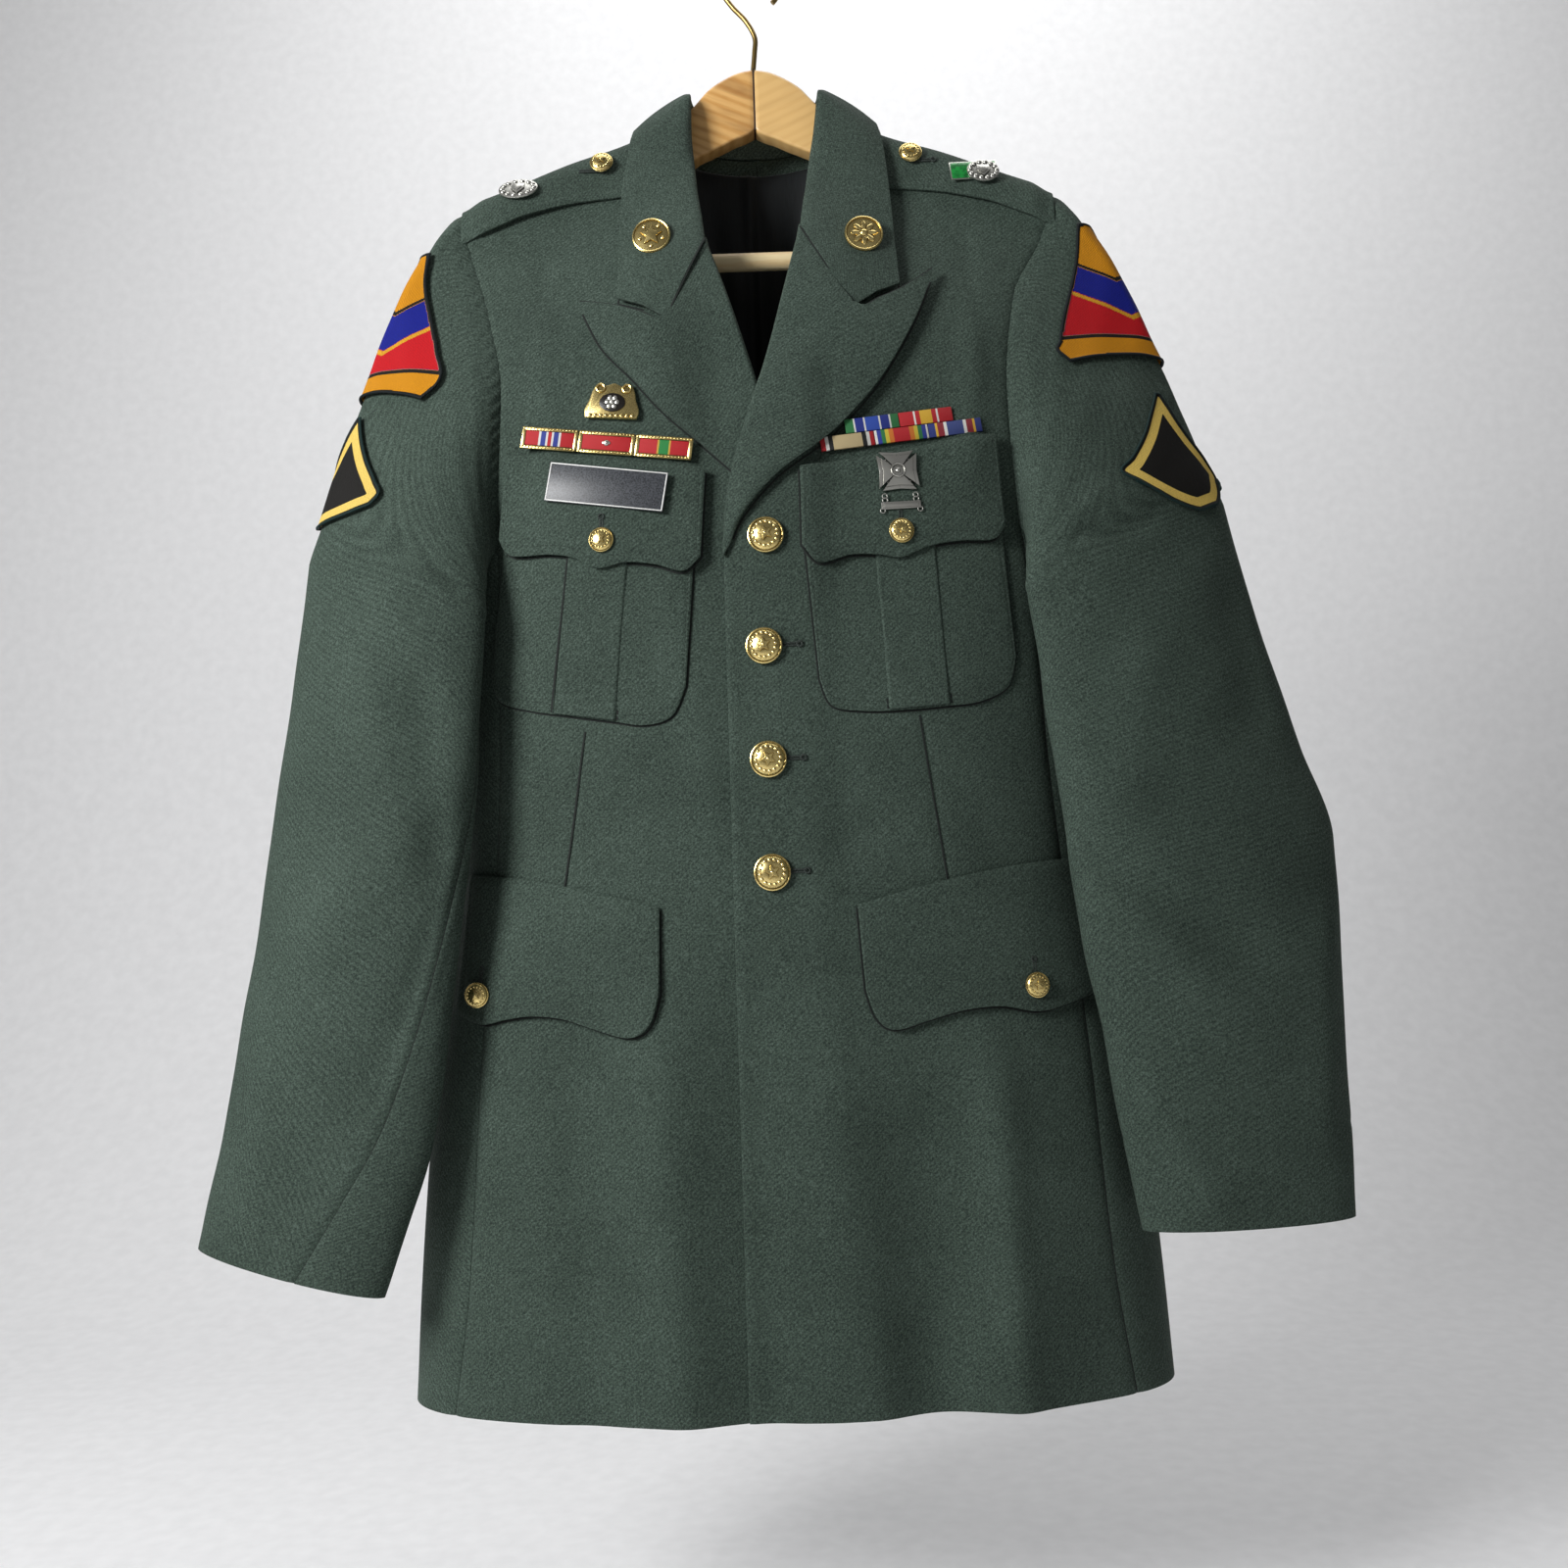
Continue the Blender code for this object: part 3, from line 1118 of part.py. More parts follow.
def hanger() -> None:
    """A two-piece wooden hanger with a trouser dowel and a wire hook."""
    hanger_arm("hanger_arm_left", 1)
    hanger_arm("hanger_arm_right", -1)
    rod("hanger_dowel", DOWEL_RADIUS, -DOWEL_END, DOWEL_END)
    wire = bpy.data.curves.new("hanger_hook", "CURVE")
    wire.dimensions = "3D"
    wire.bevel_depth = HOOK_WIRE
    wire.bevel_resolution = 2
    wire.use_fill_caps = True
    route = hook_route()
    line = wire.splines.new("POLY")
    line.points.add(len(route) - 1)
    for point, place in zip(line.points, route):
        point.co = (*place, 1.0)
    wire.materials.append(bpy.data.materials["wire"])
    bpy.context.scene.collection.objects.link(bpy.data.objects.new("hanger_hook", wire))


# ---------------------------------------------------------------- the whole part

def main() -> None:
    """Clear the scene and build the tunic on its hanger."""
    for thing in list(bpy.data.objects):
        bpy.data.objects.remove(thing, do_unlink=True)
    for name, (colour, roughness, metallic) in FINISHES.items():
        material(name, colour, roughness, metallic)
    fronts()
    sides()
    backs()
    lining()
    lapels()
    collar()
    pockets()
    straps()
    sleeves()
    sleeve_patches()
    buttons()
    insignia()
    hanger()


main()
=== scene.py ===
"""A green wool dress tunic with its buttons and insignia, on a maple hanger.

Metres, +Z up, the tunic faces -Y and +X is the wearer's left. Left and right in names are the
wearer's. The cloth is laid on one body form, panel by panel, the way a tailor cuts it.
"""

from __future__ import annotations

import logging
import math
from dataclasses import dataclass, field
from enum import Enum
from typing import Callable, ClassVar, Sequence

import bpy
import numpy as np
from mathutils import Matrix, Vector

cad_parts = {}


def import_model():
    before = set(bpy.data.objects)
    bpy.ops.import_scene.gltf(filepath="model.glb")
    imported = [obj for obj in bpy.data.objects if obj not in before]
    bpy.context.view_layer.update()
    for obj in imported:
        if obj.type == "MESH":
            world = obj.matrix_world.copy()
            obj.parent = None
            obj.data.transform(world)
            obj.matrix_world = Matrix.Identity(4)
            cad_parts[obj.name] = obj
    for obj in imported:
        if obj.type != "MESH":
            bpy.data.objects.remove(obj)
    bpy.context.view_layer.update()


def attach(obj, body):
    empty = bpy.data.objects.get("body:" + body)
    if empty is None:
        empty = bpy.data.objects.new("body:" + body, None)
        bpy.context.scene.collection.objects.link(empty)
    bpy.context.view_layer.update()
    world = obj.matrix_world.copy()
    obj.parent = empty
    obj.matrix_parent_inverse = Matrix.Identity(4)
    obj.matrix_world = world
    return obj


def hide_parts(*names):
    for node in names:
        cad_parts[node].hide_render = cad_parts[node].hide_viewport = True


LOG = logging.getLogger("tunic")
Rows = Sequence[Sequence[float]]
Point2 = tuple[float, float]
Point3 = tuple[float, float, float]
Array = np.ndarray
Thing = bpy.types.Object
Material = bpy.types.Material
Tree = bpy.types.NodeTree


# ---------------------------------------------------------------- curves

class Curve:
    """A smooth curve through given rows that never overshoots them."""

    def __init__(self, rows: Rows, column: int = 1, samples: int = 900) -> None:
        """Sample the curve once.

        Args:
            rows: rows of numbers, the first being where on the curve the row lies.
            column: the column that holds the value.
            samples: how finely the curve is kept.
        """
        knots = np.array(sorted((row[0], row[column]) for row in rows), dtype=float)
        at, value = knots[:, 0], knots[:, 1]
        chord = np.diff(value) / np.diff(at)
        slope = np.empty_like(at)
        slope[0], slope[-1] = chord[0], chord[-1]
        before, after = chord[:-1], chord[1:]
        level = before * after > 0
        total = np.where(level, before + after, 1.0)
        slope[1:-1] = np.where(level, 2 * before * after / total, 0.0)
        self.at = np.linspace(at[0], at[-1], samples)
        i = np.clip(np.searchsorted(at, self.at, side="right") - 1, 0, len(at) - 2)
        width = at[i + 1] - at[i]
        u = (self.at - at[i]) / width
        self.value = ((2 * u**3 - 3 * u**2 + 1) * value[i]
                      + (u**3 - 2 * u**2 + u) * width * slope[i]
                      + (3 * u**2 - 2 * u**3) * value[i + 1]
                      + (u**3 - u**2) * width * slope[i + 1])

    def __call__(self, at: Array | float) -> Array:
        """Read the curve at one place or many."""
        return np.interp(at, self.at, self.value)


class Path:
    """A smooth run through given points, read by its share from 0 to 1."""

    def __init__(self, points: Rows) -> None:
        """Keep the points as an array."""
        self.points = np.array(points, dtype=float)

    def __call__(self, share: Array | float) -> Array:
        """Points of the run.

        Args:
            share: shares of the way along, from 0 to 1.

        Returns:
            One point for each share, in the last axis.
        """
        p = self.points
        place = np.asarray(share, dtype=float) * (len(p) - 1)
        i = np.clip(place.astype(int), 0, len(p) - 2)
        u = (place - i)[..., None]
        before, start = p[np.maximum(i - 1, 0)], p[i]
        end, after = p[i + 1], p[np.minimum(i + 2, len(p) - 1)]
        return (start * (1 - 2.5 * u**2 + 1.5 * u**3) + end * (0.5 * u + 2 * u**2 - 1.5 * u**3)
                + before * (-0.5 * u + u**2 - 0.5 * u**3) + after * (0.5 * u**3 - 0.5 * u**2))


def ease(value: Array | float) -> Array:
    """0 below 0, 1 above 1, smooth between."""
    value = np.clip(value, 0.0, 1.0)
    return value * value * (3 - 2 * value)


def bell(distance: Array, width: float) -> Array:
    """A smooth bump: 1 at no distance, 0.37 at one width, almost 0 at two."""
    return np.exp(-((distance / width) ** 2))


def net(rows: int, columns: int) -> tuple[Array, Array]:
    """Shares from 0 to 1 down the rows and across the columns of a grid."""
    down, across = np.linspace(0, 1, rows)[:, None], np.linspace(0, 1, columns)[None, :]
    return tuple(np.broadcast_arrays(down, across))


def travel(grid: Array, axis: int) -> Array:
    """How far each point of a grid lies from its first row (axis 0) or column (axis 1)."""
    return np.linalg.norm(np.gradient(grid, axis=axis), axis=-1).cumsum(axis)


def lengths(line: Array) -> Array:
    """How far along a line of points each of them lies."""
    return np.concatenate([[0], np.cumsum(np.linalg.norm(np.diff(line, axis=0), axis=1))])


def unit(vectors: Array) -> Array:
    """Each vector at length 1."""
    return vectors / np.maximum(np.linalg.norm(vectors, axis=-1, keepdims=True), 1e-12)


# ---------------------------------------------------------------- the body form

class Side(Enum):
    """Which face of the body a piece lies on."""

    FRONT = -1
    BACK = 1


@dataclass(frozen=True)
class Crease:
    """A soft ridge, or with a negative height a hollow, along a line on the cloth."""

    start: Point2
    end: Point2
    width: float
    height: float

    def height_at(self, x: Array, z: Array) -> Array:
        """How far the crease lifts the cloth at each place.

        Args:
            x: places across, in metres.
            z: heights.

        Returns:
            Lifts in metres.
        """
        along = np.array(self.end) - np.array(self.start)
        length = np.hypot(*along)
        along = along / length
        dx, dz = x - self.start[0], z - self.start[1]
        run, off = dx * along[0] + dz * along[1], dx * along[1] - dz * along[0]
        taper = ease(run / (0.35 * length) + 0.5) * ease((length - run) / (0.35 * length) + 0.5)
        return self.height * taper * bell(off, self.width)


@dataclass
class BodyForm:
    """The shape of the worn body, which every panel, pocket and badge lies on."""

    hem_z: float = -0.967
    underarm_z: float = -0.430
    underarm_dip: float = 0.017
    neck_x: float = 0.060
    shoulder_x: float = 0.201
    power: float = 2.35
    crest_height: float = 0.014
    crest_front: float = 0.011
    hang_power: float = 1.4
    # The crest's y in the middle, and how far it bends forward at bend_x.
    crest_mid_y: float = -0.004
    bend: float = 0.016
    bend_x: float = 0.200
    bend_end_x: float = 0.230
    # z, half width, middle, front, back
    rings: Rows = (
        (-0.090, 0.262, -0.008, -0.046, 0.036), (-0.190, 0.250, -0.008, -0.058, 0.046),
        (-0.300, 0.236, -0.008, -0.072, 0.054), (-0.380, 0.226, -0.008, -0.080, 0.056),
        (-0.447, 0.216, -0.006, -0.084, 0.055), (-0.540, 0.208, -0.005, -0.086, 0.050),
        (-0.620, 0.204, -0.004, -0.084, 0.046), (-0.700, 0.214, -0.004, -0.086, 0.050),
        (-0.800, 0.230, -0.005, -0.088, 0.054), (-0.900, 0.239, -0.005, -0.088, 0.056),
        (-0.967, 0.243, -0.005, -0.086, 0.057))
    crest: Rows = ((0.0, -0.104), (0.030, -0.108), (0.060, -0.124), (0.083, -0.139),
                   (0.127, -0.156), (0.172, -0.177), (0.201, -0.190), (0.262, -0.222))
    reach: Rows = ((0.0, 0.190), (0.100, 0.185), (0.201, 0.150), (0.262, 0.140))
    back_crest: Rows = ((0.0, 0.032), (0.040, 0.030), (0.060, 0.022), (0.090, 0.011),
                        (0.262, 0.011))
    left_arm: Rows = ((-0.190, 0.201), (-0.226, 0.188), (-0.268, 0.167), (-0.340, 0.157),
                      (-0.417, 0.160), (-0.470, 0.167), (-0.561, 0.172), (-0.638, 0.179),
                      (-0.732, 0.188), (-0.889, 0.198), (-0.967, 0.209))
    right_arm: Rows = ((-0.190, 0.201), (-0.223, 0.193), (-0.269, 0.180), (-0.327, 0.170),
                       (-0.379, 0.172), (-0.430, 0.173), (-0.561, 0.175), (-0.638, 0.180),
                       (-0.732, 0.188), (-0.889, 0.198), (-0.967, 0.209))
    back_arm: Rows = ((-0.190, 0.201), (-0.230, 0.192), (-0.272, 0.183), (-0.330, 0.177),
                      (-0.380, 0.175), (-0.430, 0.174), (-0.470, 0.170), (-0.560, 0.160),
                      (-0.620, 0.156), (-0.700, 0.160), (-0.967, 0.184))
    left_v: Rows = ((-0.124, 0.060), (-0.150, 0.051), (-0.180, 0.043), (-0.216, 0.034),
                    (-0.230, 0.026), (-0.274, 0.016), (-0.325, 0.003), (-0.343, -0.003),
                    (-0.386, -0.016), (-0.430, -0.025), (-0.455, -0.028), (-0.967, -0.028))
    right_v: Rows = ((-0.124, 0.060), (-0.150, 0.052), (-0.180, 0.045), (-0.216, 0.038),
                     (-0.252, 0.028), (-0.303, 0.016), (-0.343, 0.003), (-0.386, -0.008),
                     (-0.430, -0.017), (-0.455, -0.020), (-0.967, -0.020))
    # How far the left front stands off the right one it covers: z, lift.
    overlap: Rows = ((-0.300, 0.0), (-0.345, 0.0048), (-0.455, 0.0048), (-0.490, 0.0026),
                     (-0.967, 0.0026))
    # Waves that hang in the skirt's front: x, width, how far out.
    skirt_waves: Rows = ((0.087, 0.026, -0.008), (0.140, 0.028, 0.004), (-0.090, 0.045, 0.004))
    skirt_z: float = -0.70
    skirt_fade: float = 0.26
    # Waves of the back, the same on both halves: x, width, how far out, first z, fade.
    back_waves: Rows = ((0.085, 0.030, 0.0024, -0.62, 0.3), (0.125, 0.018, -0.0016, -0.28, 0.1))
    overlap_full_x: float = 0.021
    overlap_none_x: float = 0.046
    front_edge_x: float = -0.028
    front_creases: Sequence[Crease] = (
        Crease((-0.040, -0.300), (-0.010, -0.560), 0.016, -0.0022),
        Crease((-0.060, -0.460), (-0.030, -0.640), 0.012, 0.0014),
        Crease((0.040, -0.560), (0.120, -0.640), 0.016, 0.0018),
        Crease((-0.040, -0.610), (-0.130, -0.560), 0.016, 0.0016),
        Crease((0.020, -0.640), (0.090, -0.600), 0.010, -0.0012),
        Crease((0.150, -0.250), (0.125, -0.400), 0.013, 0.0028),
        Crease((-0.155, -0.250), (-0.135, -0.400), 0.013, 0.0028),
        Crease((0.135, -0.215), (0.150, -0.330), 0.008, -0.0016),
        Crease((-0.140, -0.215), (-0.158, -0.330), 0.008, -0.0016),
        Crease((-0.075, -0.730), (-0.062, -0.990), 0.020, 0.0058),
        Crease((-0.125, -0.740), (-0.118, -0.990), 0.020, -0.0036),
        Crease((-0.022, -0.700), (-0.014, -0.990), 0.020, -0.0040),
        Crease((0.035, -0.740), (0.048, -0.990), 0.018, 0.0042),
        Crease((0.128, -0.760), (0.140, -0.990), 0.016, 0.0044),
        Crease((0.141, -0.664), (0.195, -0.652), 0.0022, -0.0010),
    )

    def __post_init__(self) -> None:
        """Turn the tables into curves."""
        self.half, self.middle, self.front, self.back = (Curve(self.rings, c) for c in (1, 2, 3, 4))
        self.crest_z, self.full_reach = Curve(self.crest), Curve(self.reach)
        self.crest_back = Curve(self.back_crest)
        self.arm = {1: Curve(self.left_arm), -1: Curve(self.right_arm)}
        self.arm_back = Curve(self.back_arm)
        self.v_edge = {1: Curve(self.left_v), -1: Curve(self.right_v)}
        self.overlap_z = Curve(self.overlap)

    def crest_y(self, x: Array) -> Array:
        """The crest bends forward towards the arms, like the hanger in it."""
        out = np.minimum(np.abs(x), self.bend_end_x) / self.bend_x
        return self.crest_mid_y - self.bend * out**2

    def drape(self, x: Array, z: Array) -> Array:
        """How far the skirt's soft waves push the front out, in metres."""
        strength = ease((self.skirt_z - z) / self.skirt_fade)
        return strength * sum(out * bell(x - at, width) for at, width, out in self.skirt_waves)

    def relief(self, x: Array, z: Array, side: Side) -> Array:
        """Creases and the small unevenness of hung cloth, fading out at the side seams.

        Args:
            x: places across, in metres.
            z: heights.
            side: the face of the body.

        Returns:
            Lifts in metres.
        """
        fade = 1 - ease((np.abs(x) - 0.130) / 0.036)
        wave = (0.00045 * np.sin(41 * x + 23 * z + 0.7) * np.sin(37 * z - 9 * x + 1.1)
                + 0.00030 * np.sin(88 * x - 31 * z) * np.sin(61 * z + 17 * x + 0.4))
        if side is Side.FRONT:
            wave = wave + sum(crease.height_at(x, z) for crease in self.front_creases)
        else:
            for at, width, out, from_z, fade_z in self.back_waves:
                wave = wave + out * bell(np.abs(x) - at, width) * ease((from_z - z) / fade_z)
        return wave * fade * ease((self.crest_z(np.abs(x)) - 0.030 - z) / 0.050)

    def y(self, x: Array, z: Array, side: Side) -> Array:
        """The outer face of the tunic's body.

        Args:
            x: places across, in metres.
            z: heights.
            side: the face of the body.

        Returns:
            The face's y at each place.
        """
        sign, ax = side.value, np.abs(x)
        half, middle = self.half(z), self.middle(z)
        depth = (self.front if sign < 0 else self.back)(z) - middle
        fullness = np.maximum(0.0, 1 - np.minimum(ax / half, 1.0) ** self.power) ** (1 / self.power)
        ring = middle + depth * fullness - (self.drape(x, z) if sign < 0 else 0.0)
        drop = np.maximum(0.0, self.crest_z(ax) - z)
        crest = self.crest_front if sign < 0 else self.crest_back(ax)
        full = (ring - self.crest_y(x)) * sign
        rounding = np.sqrt(1 - (1 - np.minimum(drop / self.crest_height, 1.0)) ** 2)
        hang = np.sin(np.pi / 2 * np.minimum(drop / self.full_reach(ax), 1.0)) ** self.hang_power
        return (self.crest_y(x) + sign * (crest * rounding + (full - crest) * hang)
                + sign * self.relief(x, z, side))

    def normal(self, x: Array, z: Array, side: Side) -> Array:
        """Outward normals of the body.

        Args:
            x: places across, in metres.
            z: heights.
            side: the face of the body.

        Returns:
            Unit vectors.
        """
        step = 0.001
        by_x = (self.y(x + step, z, side) - self.y(x - step, z, side)) / (2 * step)
        by_z = (self.y(x, z + step, side) - self.y(x, z - step, side)) / (2 * step)
        return unit(np.stack([by_x, -np.ones_like(by_x), by_z], -1) * -side.value)

    def point(self, x: Array, z: Array, lift: Array | float = 0.0,
              side: Side = Side.FRONT) -> Array:
        """Points that stand off the body by a lift.

        Args:
            x: places across, in metres.
            z: heights.
            lift: how far off the cloth.
            side: the face of the body.

        Returns:
            The points.
        """
        x, z = np.broadcast_arrays(np.asarray(x, float), np.asarray(z, float))
        base = np.stack([x, self.y(x, z, side), z], -1)
        return base + self.normal(x, z, side) * np.asarray(lift)[..., None]

    def overlap_lift(self, x: Array, z: Array) -> Array:
        """How far the left front is lifted by the right front and lapel under it."""
        span = self.overlap_none_x - self.overlap_full_x
        return self.overlap_z(z) * (1 - ease((x - self.overlap_full_x) / span))

    def on_front(self, x: Array, z: Array, lift: Array | float) -> Array:
        """Points that stand off whichever front is on top.

        Args:
            x: places across, in metres.
            z: heights.
            lift: how far off the cloth.

        Returns:
            The points.
        """
        x, z = np.asarray(x, float), np.asarray(z, float)
        extra = np.where(x >= self.front_edge_x, self.overlap_lift(x, z), 0.0)
        return self.point(x, z, lift + extra)

    def ring_angle(self, x: Array, z: Array) -> Array:
        """The angle, from the nearer middle, at which the ring reaches a distance x."""
        return np.arcsin(np.minimum(1.0, (np.abs(x) / self.half(z)) ** (self.power / 2)))

    def on_ring(self, z: Array, angle: Array, sign: int) -> Array:
        """Points by their angle round the ring: 0 is the front middle, pi the back.

        Args:
            z: heights.
            angle: angles round the ring.
            sign: 1 for the left side, -1 for the right.

        Returns:
            The points.
        """
        front = angle < np.pi / 2
        middle = self.middle(z)
        depth = np.abs(np.where(front, self.front(z), self.back(z)) - middle)
        x = sign * self.half(z) * np.abs(np.sin(angle)) ** (2 / self.power)
        y = middle + np.where(front, -1, 1) * depth * np.abs(np.cos(angle)) ** (2 / self.power)
        y = y - np.where(front, self.drape(x, z), 0.0)
        return np.stack([x, y, np.broadcast_to(z, x.shape)], -1)

    def place(self, x: float, z: float, lift: float, tilt: float = 0.0,
              level: float = 0.0) -> Matrix:
        """A place on the tunic's front, with +Z out of the cloth and +X level.

        Args:
            x: where across.
            z: where in height.
            lift: how far off the cloth.
            tilt: turn about the cloth's normal.
            level: 0 to follow the cloth, up to 1 to look straight forward.

        Returns:
            The place as a matrix.
        """
        point = Vector(self.on_front(np.array(x), np.array(z), lift))
        normal = Vector(self.normal(np.array(x), np.array(z), Side.FRONT))
        return frame_at(point, normal.lerp(Vector((0, -1, 0)), level).normalized(), tilt)


def frame_at(point: Vector, normal: Vector, tilt: float = 0.0) -> Matrix:
    """A place with +Z along a normal and +X level, turned by a tilt about the normal.

    Args:
        point: the origin of the place.
        normal: where its +Z looks.
        tilt: the turn, in radians.

    Returns:
        The place as a matrix.
    """
    across = Vector((0, 0, 1)).cross(normal).normalized()
    upright = normal.cross(across)
    turn = Matrix((across, upright, normal)).transposed().to_4x4()
    return Matrix.Translation(point) @ turn @ Matrix.Rotation(tilt, 4, "Z")


# ---------------------------------------------------------------- finishes

def linear(code: str) -> tuple[float, float, float, float]:
    """Turn the six hex digits of an sRGB colour into the linear values that a shader takes."""
    parts = (int(code[i:i + 2], 16) / 255 for i in (0, 2, 4))
    return (*(p / 12.92 if p <= 0.04045 else ((p + 0.055) / 1.055) ** 2.4 for p in parts), 1.0)


def node(tree: Tree, kind: str, inputs: dict | None = None,
         stops: Sequence[tuple[float, str]] = (), **settings: object) -> bpy.types.Node:
    """Add one shader node with its inputs, its settings and, for a ramp, its colours.

    Args:
        tree: the material's node tree.
        kind: the node's Blender name, without its ShaderNode.
        inputs: by name, each a value, another node or one of its outputs.
        stops: places and colours of a colour ramp.
        settings: properties of the node itself.

    Returns:
        The new node.
    """
    made = tree.nodes.new(f"ShaderNode{kind}")
    for name, value in settings.items():
        setattr(made, name, value)
    if stops:
        ramp = made.color_ramp.elements
        ramp.remove(ramp[1])
        ramp[0].position, ramp[0].color = stops[0][0], linear(stops[0][1])
        for at, code in stops[1:]:
            ramp.new(at).color = linear(code)
    for name, value in (inputs or {}).items():
        socket = next(s for s in made.inputs if s.name == name and s.enabled)
        if isinstance(value, bpy.types.Node):
            value = next(out for out in value.outputs if out.enabled)
        if isinstance(value, bpy.types.NodeSocket):
            tree.links.new(value, socket)
        else:
            socket.default_value = value
    return made


def begin(name: str) -> tuple[Material, Tree]:
    """A new material with an empty tree.

    Args:
        name: the material's name.

    Returns:
        The material and its tree.
    """
    made = bpy.data.materials.new(name)
    made.use_nodes = True
    made.node_tree.nodes.clear()
    return made, made.node_tree


def finish(tree: Tree, colour: bpy.types.Node, height: bpy.types.Node,
           depth: float, strength: float, **settings: object) -> None:
    """End a tree in a Principled shader with a bumped surface.

    Args:
        tree: the material's node tree.
        colour: the node that gives the base colour.
        height: the node that gives the surface's relief.
        depth: how deep the relief is, in metres.
        strength: how much of it shows.
        settings: the shader's other inputs, with _ for a space.
    """
    bump = node(tree, "Bump", {"Height": height, "Distance": depth, "Strength": strength})
    inputs = {name.replace("_", " "): value for name, value in settings.items()}
    inputs = {"Base Color": colour, "Normal": bump, **inputs}
    shader = node(tree, "BsdfPrincipled", inputs)
    node(tree, "OutputMaterial", {"Surface": shader})


# A wave texture repeats every pi / 10 of its own units.
WAVE_MM = 1000 * math.pi / 10


@dataclass(frozen=True)
class SergeWool:
    """Wool serge, a fine hard twill: matt, heathered, with a diagonal line in it."""

    name: str = "serge_wool"
    dark: str = "1d2722"
    shade: str = "37443c"
    light: str = "55645b"
    # Real serge has a wale every 0.6 mm; it is drawn at 2.4 mm so that it shows.
    wale_mm: float = 2.4
    # Dyed fibres clump in specks of about a millimetre; they are drawn a little larger.
    heather_mm: float = 1.15

    def make(self) -> Material:
        """Build the cloth's nodes.

        Returns:
            The material, whose twill follows the piece's own UV map in metres.
        """
        made, tree = begin(self.name)
        uv = node(tree, "UVMap", uv_map="cloth")
        spot = node(tree, "TexCoord").outputs["Object"]
        lie = node(tree, "Mapping", {"Vector": uv, "Rotation": (0, 0, 0.85)})
        wale = node(tree, "TexWave", {
            "Vector": lie, "Scale": WAVE_MM / self.wale_mm, "Distortion": 3.0, "Detail": 2.0,
            "Detail Scale": 4.0})
        heather = node(tree, "TexNoise", {
            "Vector": spot, "Scale": 1000 / self.heather_mm, "Detail": 3.0, "Roughness": 0.75})
        broad = node(tree, "TexNoise", {"Vector": spot, "Scale": 16.0, "Detail": 3.0})
        yarn = node(tree, "Mix", {"Factor": 0.93, "A": wale.outputs["Fac"], "B": heather})
        mixed = node(tree, "Mix", {"Factor": 0.12, "A": yarn, "B": broad})
        colour = node(tree, "ValToRGB", {
            "Fac": mixed}, ((0.34, self.dark), (0.50, self.shade), (0.68, self.light)))
        finish(tree, colour, yarn, 0.0004, 0.45, Roughness=0.86, Sheen_Weight=0.05,
               Sheen_Roughness=0.5, Sheen_Tint=linear("b4bdb2"), Specular_IOR_Level=0.22)
        return made


@dataclass(frozen=True)
class LiningSatin:
    """Rayon lining satin: smooth, nearly black, with soft long highlights."""

    name: str = "lining_satin"
    shade: str = "04080a"
    light: str = "0b1316"
    # Threads are 0.1 mm apart; they are drawn ten times as far.
    thread_mm: float = 1.0

    def make(self) -> Material:
        """Build the satin's nodes.

        Returns:
            The material, drawn long along the piece's own UV map.
        """
        made, tree = begin(self.name)
        uv = node(tree, "UVMap", uv_map="cloth")
        lie = node(tree, "Mapping", {"Vector": uv, "Scale": (1000 / self.thread_mm, 90.0, 1.0)})
        thread = node(tree, "TexNoise", {"Vector": lie, "Scale": 1.0, "Detail": 2.0})
        colour = node(tree, "ValToRGB", {"Fac": thread}, ((0.3, self.shade), (0.7, self.light)))
        finish(tree, colour, thread, 0.0002, 0.3, Roughness=0.5, Specular_IOR_Level=0.3)
        return made


@dataclass(frozen=True)
class StruckMetal:
    """Die-struck plated metal: bright where it is rubbed, with painted shade in its recesses."""

    name: str
    bright: str
    dull_and_shade: str
    roughness: float
    # Scratches and grain are about half a millimetre apart, worn patches 4 mm.
    grain_mm: float = 0.5
    patch_mm: float = 4.0
    # Painted shade, from ambient occlusion, darkens the corners up to two and a half millimetres
    # away.
    shade_reach_m: float = 0.0025

    def make(self) -> Material:
        """Build the metal's nodes.

        Returns:
            The material.
        """
        made, tree = begin(self.name)
        spot = node(tree, "TexCoord").outputs["Object"]
        grain = node(tree, "TexNoise", {
            "Vector": spot, "Scale": 1000 / self.grain_mm, "Detail": 3.0})
        cloud = node(tree, "TexNoise", {
            "Vector": spot, "Scale": 1000 / self.patch_mm, "Detail": 5.0})
        # Painted shade: ambient occlusion darkens the colour in recesses, mixed with the worn
        # patches of the cloud.
        recess_shade = node(tree, "AmbientOcclusion", {"Distance": self.shade_reach_m}, samples=8)
        shade_and_wear = node(tree, "Mix", {"Factor": 0.14, "A": recess_shade.outputs["AO"], "B": cloud})
        colour = node(tree, "ValToRGB", {"Fac": shade_and_wear}, ((0.50, self.dull_and_shade), (0.90, self.bright)))
        rough = node(tree, "MapRange", {
            "Value": grain, "To Min": self.roughness - 0.08, "To Max": self.roughness + 0.14})
        finish(tree, colour, grain, 0.00012, 0.35, Roughness=rough, Metallic=1.0)
        return made


